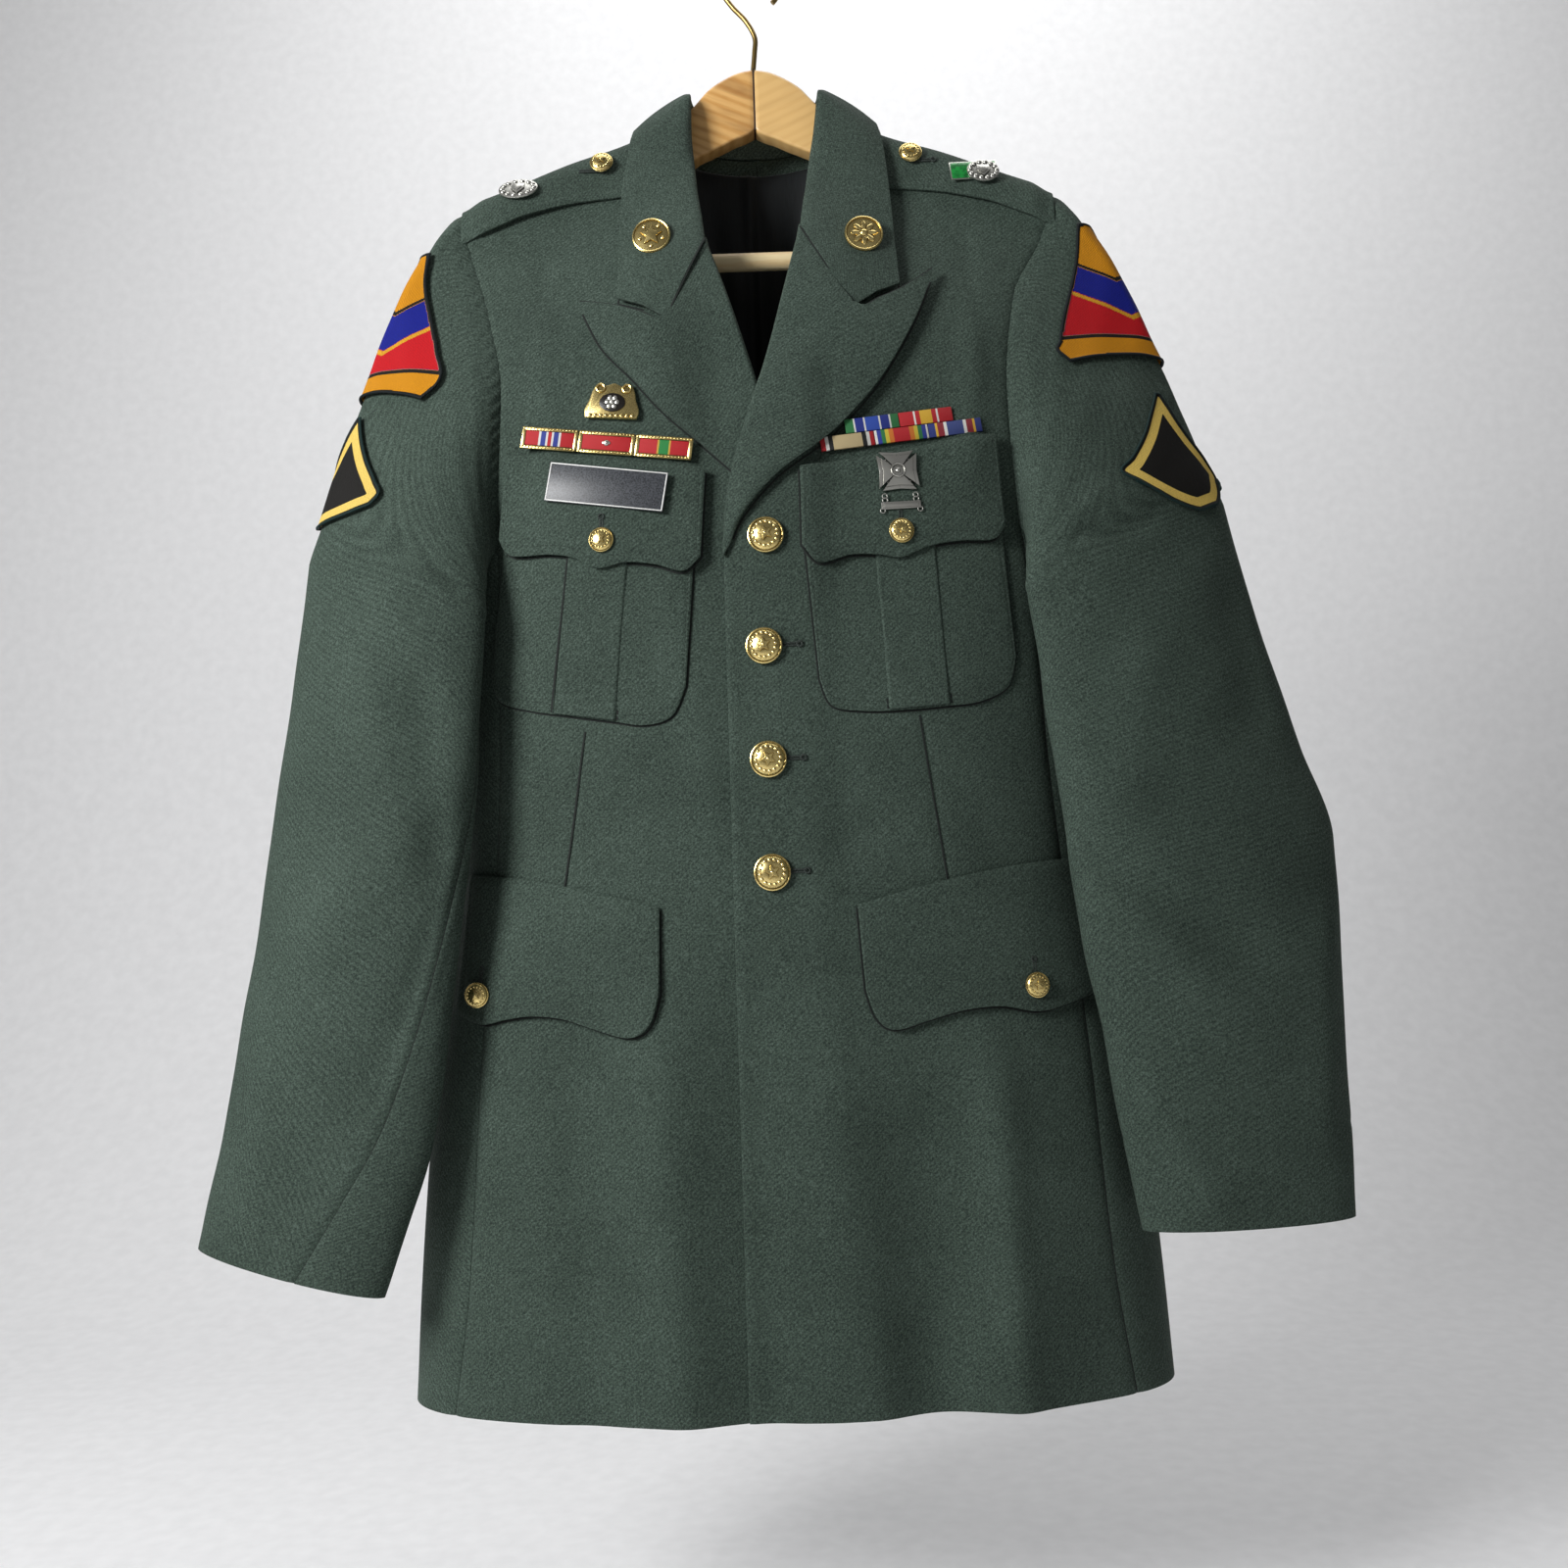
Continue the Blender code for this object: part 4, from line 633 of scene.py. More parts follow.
@dataclass(frozen=True)
class Maple:
    """Clear-varnished maple: straight grain that wanders, with darker mineral streaks."""

    name: str
    pale: str = "e2ba7a"
    honey: str = "d3a462"
    streak: str = "8a5a2c"
    tilt: float = 0.0
    streaks: float = 0.35
    roughness: float = 0.36
    # Growth rings are drawn 7 mm apart on the face, fibres a millimetre.
    ring_mm: float = 7.0
    fibre_mm: float = 1.0

    def make(self) -> Material:
        """Build the wood's nodes, with the grain along the arm.

        Returns:
            The material.
        """
        made, tree = begin(self.name)
        spot = node(tree, "TexCoord").outputs["Object"]
        turned = node(tree, "Mapping", {"Vector": spot, "Rotation": (0, self.tilt, 0)})
        drawn = node(tree, "Mapping", {"Vector": turned, "Scale": (0.10, 1, 1)})
        ring = node(tree, "TexWave", {
            "Vector": drawn, "Scale": WAVE_MM / self.ring_mm, "Distortion": 9.0, "Detail": 2.0,
            "Detail Scale": 0.35}, bands_direction="Z")
        fibre = node(tree, "TexNoise", {
            "Vector": drawn, "Scale": 1000 / self.fibre_mm, "Detail": 3.0})
        tone = node(tree, "Mix", {"Factor": 0.45, "A": ring.outputs["Fac"], "B": fibre})
        wood = node(tree, "ValToRGB", {"Fac": tone}, ((0.10, self.honey), (0.62, self.pale)))
        wide = node(tree, "Mapping", {
            "Vector": turned, "Scale": (0.16, 0.4, 1), "Location": (0.3, 0.0, 0.12)})
        stain = node(tree, "TexNoise", {
            "Vector": wide, "Scale": 70.0, "Detail": 3.0, "Distortion": 0.5})
        amount = node(tree, "MapRange", {
            "Value": stain, "From Min": 0.50, "From Max": 0.68, "To Max": self.streaks})
        colour = node(tree, "Mix", {
            "Factor": amount, "A": wood, "B": linear(self.streak)}, data_type="RGBA")
        finish(tree, colour, fibre, 0.0002, 0.25, Roughness=self.roughness, Coat_Weight=0.25,
               Coat_Roughness=0.22)
        return made


@dataclass(frozen=True)
class WovenRibbon:
    """Ribbed silk ribbon in vertical stripes, read across the bar from 0 to 1."""

    name: str
    stripes: Sequence[tuple[float, str]]
    # The ribs of a 9.5 mm bar are 0.5 mm apart.
    rib_share: float = 0.5 / 9.5

    def make(self) -> Material:
        """Build the ribbon's nodes.

        Returns:
            The material, read from the bar's own UV map.
        """
        made, tree = begin(self.name)
        uv = node(tree, "UVMap", uv_map="cloth")
        across = node(tree, "SeparateXYZ", {"Vector": uv})
        total = sum(width for width, _ in self.stripes)
        stops, at = [], 0.0
        for width, code in self.stripes:
            stops.append((at / total, code))
            at += width
        silk = node(tree, "ValToRGB", {"Fac": across.outputs[0]}, stops)
        silk.color_ramp.interpolation = "CONSTANT"
        ribs = node(tree, "TexWave", {
            "Vector": uv, "Scale": math.pi / 10 / self.rib_share, "Distortion": 0.0},
            bands_direction="Y")
        shade = node(tree, "ValToRGB", {"Fac": ribs}, ((0.0, "c8c8c8"), (1.0, "ffffff")))
        colour = node(tree, "Mix", {
            "Factor": 1.0, "A": silk, "B": shade}, data_type="RGBA", blend_type="MULTIPLY")
        finish(tree, colour, ribs, 0.00015, 0.6, Roughness=0.62)
        return made


@dataclass(frozen=True)
class PlainFinish:
    """Enamel, plastic, thread and the painted shade of seams, each in one colour with its own
    slight mottling.
    """

    name: str
    shade: str
    dark: str
    roughness: float
    speck_mm: float = 1.1
    depth: float = 0.0001
    coat: float = 0.0

    def make(self) -> Material:
        """Build the finish's nodes.

        Returns:
            The material.
        """
        made, tree = begin(self.name)
        spot = node(tree, "TexCoord").outputs["Object"]
        noise = node(tree, "TexNoise", {
            "Vector": spot, "Scale": 1000 / self.speck_mm, "Detail": 3.0})
        colour = node(tree, "ValToRGB", {"Fac": noise}, ((0.38, self.dark), (0.60, self.shade)))
        finish(tree, colour, noise, self.depth, 0.5, Roughness=self.roughness,
               Coat_Weight=self.coat)
        return made


@dataclass(frozen=True)
class Embroidery:
    """Machine embroidery in bands that follow the badge: satin stitch, its gloss along the thread
    drawn as painted sheen and shade.
    """

    name: str
    # Colours along the badge's own band attribute, 0 to 1.
    bands: Sequence[tuple[float, str]]
    # Threads lie 0.4 mm apart; they are drawn at 1 mm so that they show.
    thread_mm: float = 1.0

    def make(self) -> Material:
        """Build the embroidery's nodes.

        Returns:
            The material, read from the badge's attribute and UV map.
        """
        made, tree = begin(self.name)
        band = node(tree, "Attribute", attribute_name="band").outputs["Fac"]
        uv = node(tree, "UVMap", uv_map="cloth")
        thread = node(tree, "TexWave", {
            "Vector": uv, "Scale": WAVE_MM / self.thread_mm, "Distortion": 2.5, "Detail": 2.0,
            "Detail Scale": 3.0})
        silk = node(tree, "ValToRGB", {"Fac": band}, self.bands)
        silk.color_ramp.interpolation = "CONSTANT"
        shade = node(tree, "ValToRGB", {"Fac": thread}, ((0.0, "b8b8b8"), (1.0, "ffffff")))
        colour = node(tree, "Mix", {
            "Factor": 1.0, "A": silk, "B": shade}, data_type="RGBA", blend_type="MULTIPLY")
        finish(tree, colour, thread, 0.0003, 0.6, Roughness=0.62, Specular_IOR_Level=0.2)
        return made


class Finishes:
    """Every finish of the tunic, made once and handed out by name."""

    def __init__(self) -> None:
        """Make the materials."""
        self.made: dict[str, Material] = {}
        for each in (
                SergeWool(), LiningSatin(),
                StruckMetal("gold_plate", "f4dc94", "8a6a26", 0.24),
                StruckMetal("oxidised_silver", "d2d1ca", "5c5c58", 0.32),
                StruckMetal("hook_wire", "9c8450", "6a5930", 0.32),
                # The right arm's maple is darker and more streaked than the left arm's: its brown
                # streaks are the wood's own, and part of its darker tone is painted shade, as that
                # arm turns away from the window.
                Maple("maple_left", honey="dcb171", tilt=0.42, streaks=0.12),
                Maple("maple_right", pale="dfb06e", honey="c8924f", tilt=-0.42, streaks=0.55),
                Maple("dowel_wood", pale="efdcae", honey="dfc08a", streak="b98f5c", streaks=0.2,
                      roughness=0.48),
                PlainFinish("plate_black", "4a4d52", "24262a", 0.40, 0.9),
                PlainFinish("plate_white", "e9e9e6", "d2d2cf", 0.45),
                PlainFinish("green_enamel", "1c8a3a", "12602a", 0.18, 3.3, coat=0.6),
                PlainFinish("dark_enamel", "1b1714", "100d0b", 0.30),
                PlainFinish("thread_green", "2a352d", "1a231e", 0.80),
                # Painted shade: a near-black finish for the strips laid in seams and under free
                # edges.
                PlainFinish("thread_black", "141c18", "090e0c", 0.85, 0.6, 0.0003),
                PlainFinish("buttonhole_gimp", "333d38", "0f1512", 0.80, 0.6, 0.0002),
                PlainFinish("glue_line", "3a2412", "24160b", 0.60),
        ):
            self.add(each)

    def get(self, name: str) -> Material:
        """The finish of that name."""
        return self.made[name]

    def add(self, each: object) -> Material:
        """Make one more finish, which has a name and a make method, and return its material."""
        self.made[each.name] = each.make()
        return self.made[each.name]


# ---------------------------------------------------------------- making cloth

def stand(name: str, data: bpy.types.ID) -> Thing:
    """Put new data into the scene as an object of its own.

    Args:
        name: the object's name.
        data: its mesh, curve, light or camera.

    Returns:
        The object.
    """
    made = bpy.data.objects.new(name, data)
    bpy.context.scene.collection.objects.link(made)
    return made


def around(count: int, reach: float, tall: float | None = None, start: float = 0.0) -> list[Point2]:
    """Points evenly round a circle or an oval.

    Args:
        count: how many.
        reach: the oval's half width.
        tall: its half height, by default the same.
        start: the first point's angle.

    Returns:
        The points.
    """
    tall = reach if tall is None else tall
    angles = (start + 2 * math.pi * i / count for i in range(count))
    return [(reach * math.cos(a), tall * math.sin(a)) for a in angles]


def star(reach: float, waist: float) -> list[Point2]:
    """The outline of a five-pointed star, point up."""
    tips, notches = around(5, reach, start=math.pi / 2), around(5, waist, start=0.7 * math.pi)
    return [corner for pair in zip(tips, notches) for corner in pair]


def box(width: float, height: float) -> list[Point2]:
    """The outline of a rectangle about its middle."""
    x, y = width / 2, height / 2
    return [(-x, -y), (x, -y), (x, y), (-x, y)]


@dataclass
class Cutter:
    """Turns grids of points into pieces of cloth with an edge, a grain and a thickness."""

    finishes: Finishes
    form: BodyForm

    def piece(self, name: str, grid: Array, thickness: float, finish: str,
              facing: Point3, uv: Array | None = None,
              wrap: bool = False, soft_edge: float = 0.00045) -> Thing:
        """Make one piece of cloth from a grid on its visible face.

        Args:
            name: the piece's name.
            grid: points, rows by columns by three.
            thickness: how thick the cloth is behind the visible face.
            finish: the name of its finish.
            facing: roughly where the visible face looks.
            uv: the grain's place for each point, in metres; by default X and Z.
            wrap: whether the last column joins the first.
            soft_edge: how far the cut edge is rounded over.

        Returns:
            The piece, with its modifiers applied.
        """
        rows, columns = grid.shape[:2]
        index = np.arange(rows * columns).reshape(rows, columns)
        if wrap:
            index = np.concatenate([index, index[:, :1]], 1)
        corners = np.stack([index[:-1, :-1], index[:-1, 1:], index[1:, 1:], index[1:, :-1]], -1)
        corners = corners.reshape(-1, 4)
        flat = grid.reshape(-1, 3)
        span = np.cross(flat[corners[:, 2]] - flat[corners[:, 0]],
                        flat[corners[:, 3]] - flat[corners[:, 1]])
        if span.sum(0) @ np.array(facing) < 0:
            corners = corners[:, ::-1]
        mesh = bpy.data.meshes.new(name)
        mesh.from_pydata(flat.tolist(), [], corners.tolist())
        grain = (np.stack([grid[..., 0], grid[..., 2]], -1) if uv is None else uv).reshape(-1, 2)
        layer = mesh.uv_layers.new(name="cloth")
        layer.data.foreach_set("uv", grain[corners.reshape(-1)].astype(np.float32).reshape(-1))
        mesh.shade_smooth()
        made = stand(name, mesh)
        mesh.materials.append(self.finishes.get(finish))
        if thickness:
            solid = made.modifiers.new("Thickness", "SOLIDIFY")
            solid.thickness, solid.offset = thickness, -1.0
        if soft_edge and thickness:
            edge = made.modifiers.new("Edge", "BEVEL")
            edge.width, edge.segments = soft_edge, 2
            edge.limit_method, edge.angle_limit = "ANGLE", math.radians(58)
        Bench.apply(made)
        return made

    def dress(self, made: Thing, slot: str, *nodes: str,
              flat: Point2 | None = None, area: float | None = None) -> Thing:
        """Let a piece ride and stand for its solids.

        Args:
            made: the piece.
            slot: a material slot's name; not used.
            nodes: the solids that it stands for.
            flat: for cloth, the size of the rectangle that it was cut from; not used.
            area: the cut's area, where it fills less than the rectangle; not used.

        Returns:
            The same piece.
        """
        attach(made, "root")
        if nodes:
            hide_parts(*nodes)
        LOG.info("%s: %d faces", made.name, len(made.data.polygons))
        return made

    def coat(self, made: Thing, finish: str, angle: float = 35.0) -> Thing:
        """Give a piece the finish of that name, smooth up to an angle in degrees."""
        return Bench.paint(made, self.finishes.get(finish), angle)

    def seam_groove(self, distance: Array, depth: float = 0.0011, width: float = 0.0028) -> Array:
        """How far cloth sinks beside a seam."""
        return -depth * bell(distance, width)


class Bench:
    """The workbench: small wrappers round Blender's own modelling operators."""

    @staticmethod
    def clear() -> None:
        """Leave edit mode and let go of everything."""
        if bpy.context.object and bpy.context.object.mode != "OBJECT":
            bpy.ops.object.mode_set(mode="OBJECT")
        bpy.ops.object.select_all(action="DESELECT")

    @staticmethod
    def take(*things: Thing) -> None:
        """Select these things, the first one active.

        Args:
            things: pieces.
        """
        Bench.clear()
        for thing in things:
            thing.select_set(True)
        bpy.context.view_layer.objects.active = things[0]

    @staticmethod
    def apply(made: Thing) -> None:
        """Apply all modifiers of a piece.

        Args:
            made: the piece.
        """
        Bench.take(made)
        for modifier in list(made.modifiers):
            bpy.ops.object.modifier_apply(modifier=modifier.name)
        Bench.clear()

    @staticmethod
    def join(name: str, *things: Thing) -> Thing:
        """Join things into one piece.

        Args:
            name: the new piece's name.
            things: its parts, the main one first.

        Returns:
            The piece.
        """
        Bench.take(*things)
        if len(things) > 1:
            bpy.ops.object.join()
        made = bpy.context.object
        made.name = made.data.name = name
        Bench.clear()
        return made

    @staticmethod
    def settle(made: Thing, place: Matrix) -> Thing:
        """Put a piece in its place and keep the place in its mesh.

        Args:
            made: the piece.
            place: where it goes.

        Returns:
            The same piece.
        """
        made.matrix_world = place @ made.matrix_world
        Bench.take(made)
        bpy.ops.object.transform_apply(location=True, rotation=True, scale=True)
        Bench.clear()
        return made

    @staticmethod
    def paint(made: Thing, material: Material, angle: float = 35.0) -> Thing:
        """Give a piece its one finish and smooth shading up to an angle.

        Args:
            made: the piece.
            material: its finish.
            angle: sharpest edge that is smoothed, in degrees.

        Returns:
            The same piece.
        """
        made.data.materials.clear()
        made.data.materials.append(material)
        Bench.take(made)
        bpy.ops.object.shade_smooth_by_angle(angle=math.radians(angle))
        Bench.clear()
        return made

    @staticmethod
    def disc(radius: float, depth: float, sides: int, bevel: float = 0.0003,
             at: Point3 = (0, 0, 0)) -> Thing:
        """A round plate with its front edge rounded, its back at the given place.

        Args:
            radius: its radius.
            depth: how thick it is.
            sides: how round it is.
            bevel: how far its edge is rounded.
            at: the middle of its back.

        Returns:
            The disc.
        """
        Bench.clear()
        bpy.ops.mesh.primitive_cylinder_add(vertices=sides, radius=radius, depth=depth,
                                            location=(at[0], at[1], at[2] + depth / 2))
        return Bench.round_over(bpy.context.object, bevel)

    @staticmethod
    def round_over(made: Thing, width: float, segments: int = 2) -> Thing:
        """Bevel the sharp edges of a piece in edit mode.

        Args:
            made: the piece.
            width: the bevel's width.
            segments: its steps.

        Returns:
            The same piece.
        """
        Bench.take(made)
        bpy.ops.object.mode_set(mode="EDIT")
        bpy.ops.mesh.select_mode(type="EDGE")
        bpy.ops.mesh.select_all(action="DESELECT")
        bpy.ops.mesh.edges_select_sharp(sharpness=math.radians(40))
        bpy.ops.mesh.bevel(offset=width, segments=segments, affect="EDGES")
        bpy.ops.object.mode_set(mode="OBJECT")
        Bench.clear()
        return made

    @staticmethod
    def plate(outline: Sequence[Point2], depth: float, bevel: float = 0.0003) -> Thing:
        """A flat plate of any outline, extruded towards +Z and rounded over.

        Args:
            outline: its corners.
            depth: how thick it is.
            bevel: how far its edges are rounded.

        Returns:
            The plate.
        """
        mesh = bpy.data.meshes.new("plate")
        mesh.from_pydata([(x, y, 0.0) for x, y in outline], [], [tuple(range(len(outline)))])
        made = stand("plate", mesh)
        Bench.take(made)
        bpy.ops.object.mode_set(mode="EDIT")
        bpy.ops.mesh.select_all(action="SELECT")
        bpy.ops.mesh.extrude_region_move(TRANSFORM_OT_translate={"value": (0, 0, depth)})
        bpy.ops.mesh.select_all(action="SELECT")
        bpy.ops.mesh.normals_make_consistent(inside=False)
        bpy.ops.object.mode_set(mode="OBJECT")
        return Bench.round_over(made, bevel)

    @staticmethod
    def ball(radius: float, at: Point3, squash: float = 1.0, sides: int = 12) -> Thing:
        """A low raised boss, a ball pressed flat along Z.

        Args:
            radius: its radius.
            at: its middle.
            squash: its height for its width.
            sides: how round it is.

        Returns:
            The boss.
        """
        Bench.clear()
        bpy.ops.mesh.primitive_uv_sphere_add(segments=sides, ring_count=max(6, sides // 2),
                                             radius=radius, location=at)
        made = bpy.context.object
        made.scale.z = squash
        bpy.ops.object.transform_apply(location=True, rotation=True, scale=True)
        Bench.clear()
        return made

    @staticmethod
    def ring(radius: float, thickness: float, at: Point3 = (0, 0, 0), sides: int = 40) -> Thing:
        """A round wire ring lying flat.

        Args:
            radius: its radius.
            thickness: the wire's radius.
            at: its middle.
            sides: how round it is.

        Returns:
            The ring.
        """
        Bench.clear()
        bpy.ops.mesh.primitive_torus_add(major_radius=radius, minor_radius=thickness,
                                         major_segments=sides, minor_segments=8, location=at)
        made = bpy.context.object
        bpy.ops.object.transform_apply(location=True, rotation=True, scale=True)
        Bench.clear()
        return made

    @staticmethod
    def move(made: Thing, x: float = 0.0, y: float = 0.0, z: float = 0.0) -> Thing:
        """Shift a piece and keep the place in its mesh."""
        return Bench.settle(made, Matrix.Translation((x, y, z)))

    @staticmethod
    def beads(spots: Sequence[Point2], height: float, radius: float, squash: float,
              sides: int) -> list[Thing]:
        """Equal bosses at several places on one level, each pressed flat by squash."""
        return [Bench.ball(radius, (x, y, height), squash, sides) for x, y in spots]

    @staticmethod
    def copy(source: Thing, name: str) -> Thing:
        """A copy with a mesh of its own.

        Args:
            source: the piece to copy.
            name: the copy's name.

        Returns:
            The copy.
        """
        made = source.copy()
        made.data = source.data.copy()
        made.name = made.data.name = name
        bpy.context.scene.collection.objects.link(made)
        return made


# ---------------------------------------------------------------- panels

@dataclass
class BodyPanels:
    """Fronts, side panels, back and lining of the tunic's body."""

    cutter: Cutter
    cloth: float = 0.0016
    chest_rows: int = 110
    skirt_rows: int = 150
    front_columns: int = 70
    side_columns: int = 44
    back_columns: int = 60
    # Head and foot of the waist darts, as x and z.
    dart_left: tuple[Point2, Point2] = ((0.090, -0.547), (0.103, -0.652))
    dart_right: tuple[Point2, Point2] = ((0.117, -0.545), (0.133, -0.652))
    dart_width: float = 0.0022
    dart_depth: float = 0.0009
    edge_round: float = 0.0020
    edge_drop: float = 0.0010
    # The side panel's width at the hem, round the body.
    side_girth: float = 0.130
    nape_z: float = -0.124
    nape_dip: float = 0.008
    vent_z: float = -0.78
    vent_fade: float = 0.05
    vent_width: float = 0.035
    vent_lap: float = 0.0012
    vent_sunk: float = -0.0004
    lining_cloth: float = 0.0008
    lining_half: float = 0.078
    lining_foot_z: float = -0.420
    lining_below_neck: float = 0.012
    lining_gap: float = 0.0050

    def levels(self) -> tuple[Array, Array]:
        """Shares from crest to underarm, and heights from underarm to hem.

        Returns:
            The shares and the heights.
        """
        form = self.cutter.form
        turn = np.radians(np.linspace(0, 90, 9))
        rounded = form.crest_height * (1 - np.cos(turn)) / 0.270
        below = rounded[-1] + (1 - rounded[-1]) * np.linspace(0, 1, self.chest_rows + 1)[1:]
        skirt = np.linspace(form.underarm_z, form.hem_z, self.skirt_rows + 1)[1:]
        return np.concatenate([rounded, below]), skirt

    def grid(self, top: Callable, inner: Callable, outer: Callable,
             columns: int) -> tuple[Array, Array]:
        """X and Z of a panel between an inner and an outer edge, from its top line to the hem.

        Args:
            top: height of the top line at each x.
            inner: x of the inner edge at each height.
            outer: x of the outer edge.
            columns: how many steps across.

        Returns:
            X and Z, rows by columns.
        """
        form = self.cutter.form
        shares, skirt = self.levels()
        across = np.linspace(0, 1, columns + 1)[None, :]
        x = np.full((len(shares), columns + 1), 0.1)
        for _ in range(14):
            z = top(x) + (form.underarm_z - top(x)) * shares[:, None]
            x = inner(z) + (outer(z) - inner(z)) * across
        low = np.repeat(skirt[:, None], columns + 1, 1)
        low_x = inner(low) + (outer(low) - inner(low)) * across
        return np.concatenate([x, low_x]), np.concatenate([z, low])

    def darts(self, x: Array, z: Array, sign: int) -> Array:
        """The waist dart: a thin seam that pinches the cloth above the hip pocket.

        Args:
            x: places across, in metres.
            z: heights.
            sign: 1 for the left side, -1 for the right.

        Returns:
            Lifts in metres.
        """
        top, foot = self.dart_left if sign > 0 else self.dart_right
        share = np.clip((z - top[1]) / (foot[1] - top[1]), 0, 1)
        line = top[0] + (foot[0] - top[0]) * share
        inside = ease((top[1] - z) / 0.02 + 0.5) * ease((z - foot[1]) / 0.01 + 0.8)
        return -self.dart_depth * inside * bell(x - line, self.dart_width)

    def back_top(self, x: Array) -> Array:
        """Height of the back's top line: the shoulder's crest, and a dip below the collar.

        Args:
            x: places across, in metres.

        Returns:
            Heights.
        """
        form = self.cutter.form
        share = np.minimum(np.abs(x) / form.neck_x, 1)
        nape = self.nape_z - self.nape_dip * np.cos(np.pi / 2 * share)
        return np.where(np.abs(x) >= form.neck_x, form.crest_z(np.abs(x)), nape)

    @staticmethod
    def middle(z: Array) -> Array:
        """The centre seam: it stays at x = 0 at each height z."""
        return 0 * z

    def build(self) -> None:
        """Cut and lay all panels of the body."""
        form, cutter = self.cutter.form, self.cutter
        for name, sign in (("front_left", 1), ("front_right", -1)):
            x, z = self.grid(form.crest_z, form.v_edge[sign], form.arm[sign], self.front_columns)
            lift = cutter.seam_groove(form.arm[sign](z) - x)
            lift = lift + self.darts(x, z, sign)
            if sign > 0:
                edge = self.edge_drop * bell(x - form.v_edge[1](z), self.edge_round)
                lift = lift + form.overlap_lift(x, z) - edge
            grid = form.point(sign * x, z, lift)
            made = cutter.piece(f"coat_{name}", grid, self.cloth, "serge_wool", (0, -1, 0))
            cutter.dress(made, "wool", *(f"{name}_{band}" for band in ("upper", "waist", "skirt")),
                         flat=(0.24, 0.86), area=0.168)
        for name, sign in (("side_left", 1), ("side_right", -1)):
            self.side(name, sign)
        for name, sign in (("back_left", 1), ("back_right", -1)):
            x, z = self.grid(self.back_top, self.middle, form.arm_back, self.back_columns)
            vent = ease((self.vent_z - z) / self.vent_fade)
            vent = vent * (self.vent_lap if sign > 0 else self.vent_sunk)
            lift = cutter.seam_groove(form.arm_back(z) - x) + cutter.seam_groove(x)
            lift = lift + vent * (1 - ease(x / self.vent_width))
            grid = form.point(sign * x, z, lift, Side.BACK)
            made = cutter.piece(f"coat_{name}", grid, self.cloth, "serge_wool", (0, 1, 0))
            cutter.dress(made, "wool", f"{name}_upper", f"{name}_lower", flat=(0.20, 0.86),
                         area=0.149)
        self.lining()

    def side(self, name: str, sign: int) -> None:
        """The underarm panel, from the front seam round to the back seam.

        Args:
            name: the panel's name.
            sign: 1 for the left side, -1 for the right.
        """
        form, cutter = self.cutter.form, self.cutter
        share = np.linspace(0, 1, self.side_columns + 1)[None, :]
        skirt = np.concatenate([[form.underarm_z], self.levels()[1]])
        depth = (skirt - form.underarm_z) / (form.hem_z - form.underarm_z)
        dip = form.underarm_dip * np.sin(np.pi * share)
        z = skirt[:, None] - dip * (1 - depth[:, None]) ** 6
        start = form.ring_angle(form.arm[sign](z), z)
        end = math.pi - form.ring_angle(form.arm_back(z), z)
        grid = form.on_ring(z, start + (end - start) * share, sign)
        by_row, by_column = np.gradient(grid, axis=0), np.gradient(grid, axis=1)
        normal = unit(np.cross(by_column, by_row)) * -sign
        ends = np.minimum(share, 1 - share) * self.side_girth
        puff = 0.0014 * np.sin(9 * z + 3 * share) * np.sin(np.pi * share) * ease((-0.5 - z) / 0.1)
        lift = cutter.seam_groove(ends) + puff
        if (normal[len(skirt) // 2, self.side_columns // 2, 0] * sign) < 0:
            normal = -normal
        grid = grid + normal * np.broadcast_to(lift, z.shape)[..., None]
        girth = np.cumsum(np.linalg.norm(by_column, axis=-1), 1)
        uv = np.stack([girth, grid[..., 2]], -1)
        made = cutter.piece(f"coat_{name}", grid, self.cloth, "serge_wool", (sign, 0, 0), uv)
        cutter.dress(made, "wool", name, flat=(0.14, 0.54), area=0.072)

    def lining(self) -> None:
        """The satin lining of the back, inside the neck, with a soft centre pleat."""
        form, cutter = self.cutter.form, self.cutter
        x = np.linspace(-self.lining_half, self.lining_half, 81)[None, :]
        share = np.linspace(0, 1, 90)[:, None]
        start = self.back_top(x) - self.lining_below_neck
        z = start + (self.lining_foot_z - start) * share
        pleat = (0.0016 * bell(x + 0.006, 0.004)
                 + 0.0009 * np.sin(210 * x + 6 * z) * ease(share / 0.3))
        x = np.broadcast_to(x, z.shape)
        grid = form.point(x, z, -self.lining_gap - pleat, Side.BACK)
        made = cutter.piece("coat_lining_back", grid, self.lining_cloth, "lining_satin",
                            (0, -1, 0))
        cutter.dress(made, "satin", "lining_back", flat=(0.16, 0.29), area=0.044)


# ---------------------------------------------------------------- lapels and collar

@dataclass(frozen=True)
class LapelCut:
    """A lapel's roll line, outer edge and top edge, each from its lower or inner end."""

    name: str
    sign: int
    roll: Sequence[Point2]
    outline: Sequence[Point2]
    top: Sequence[Point2]


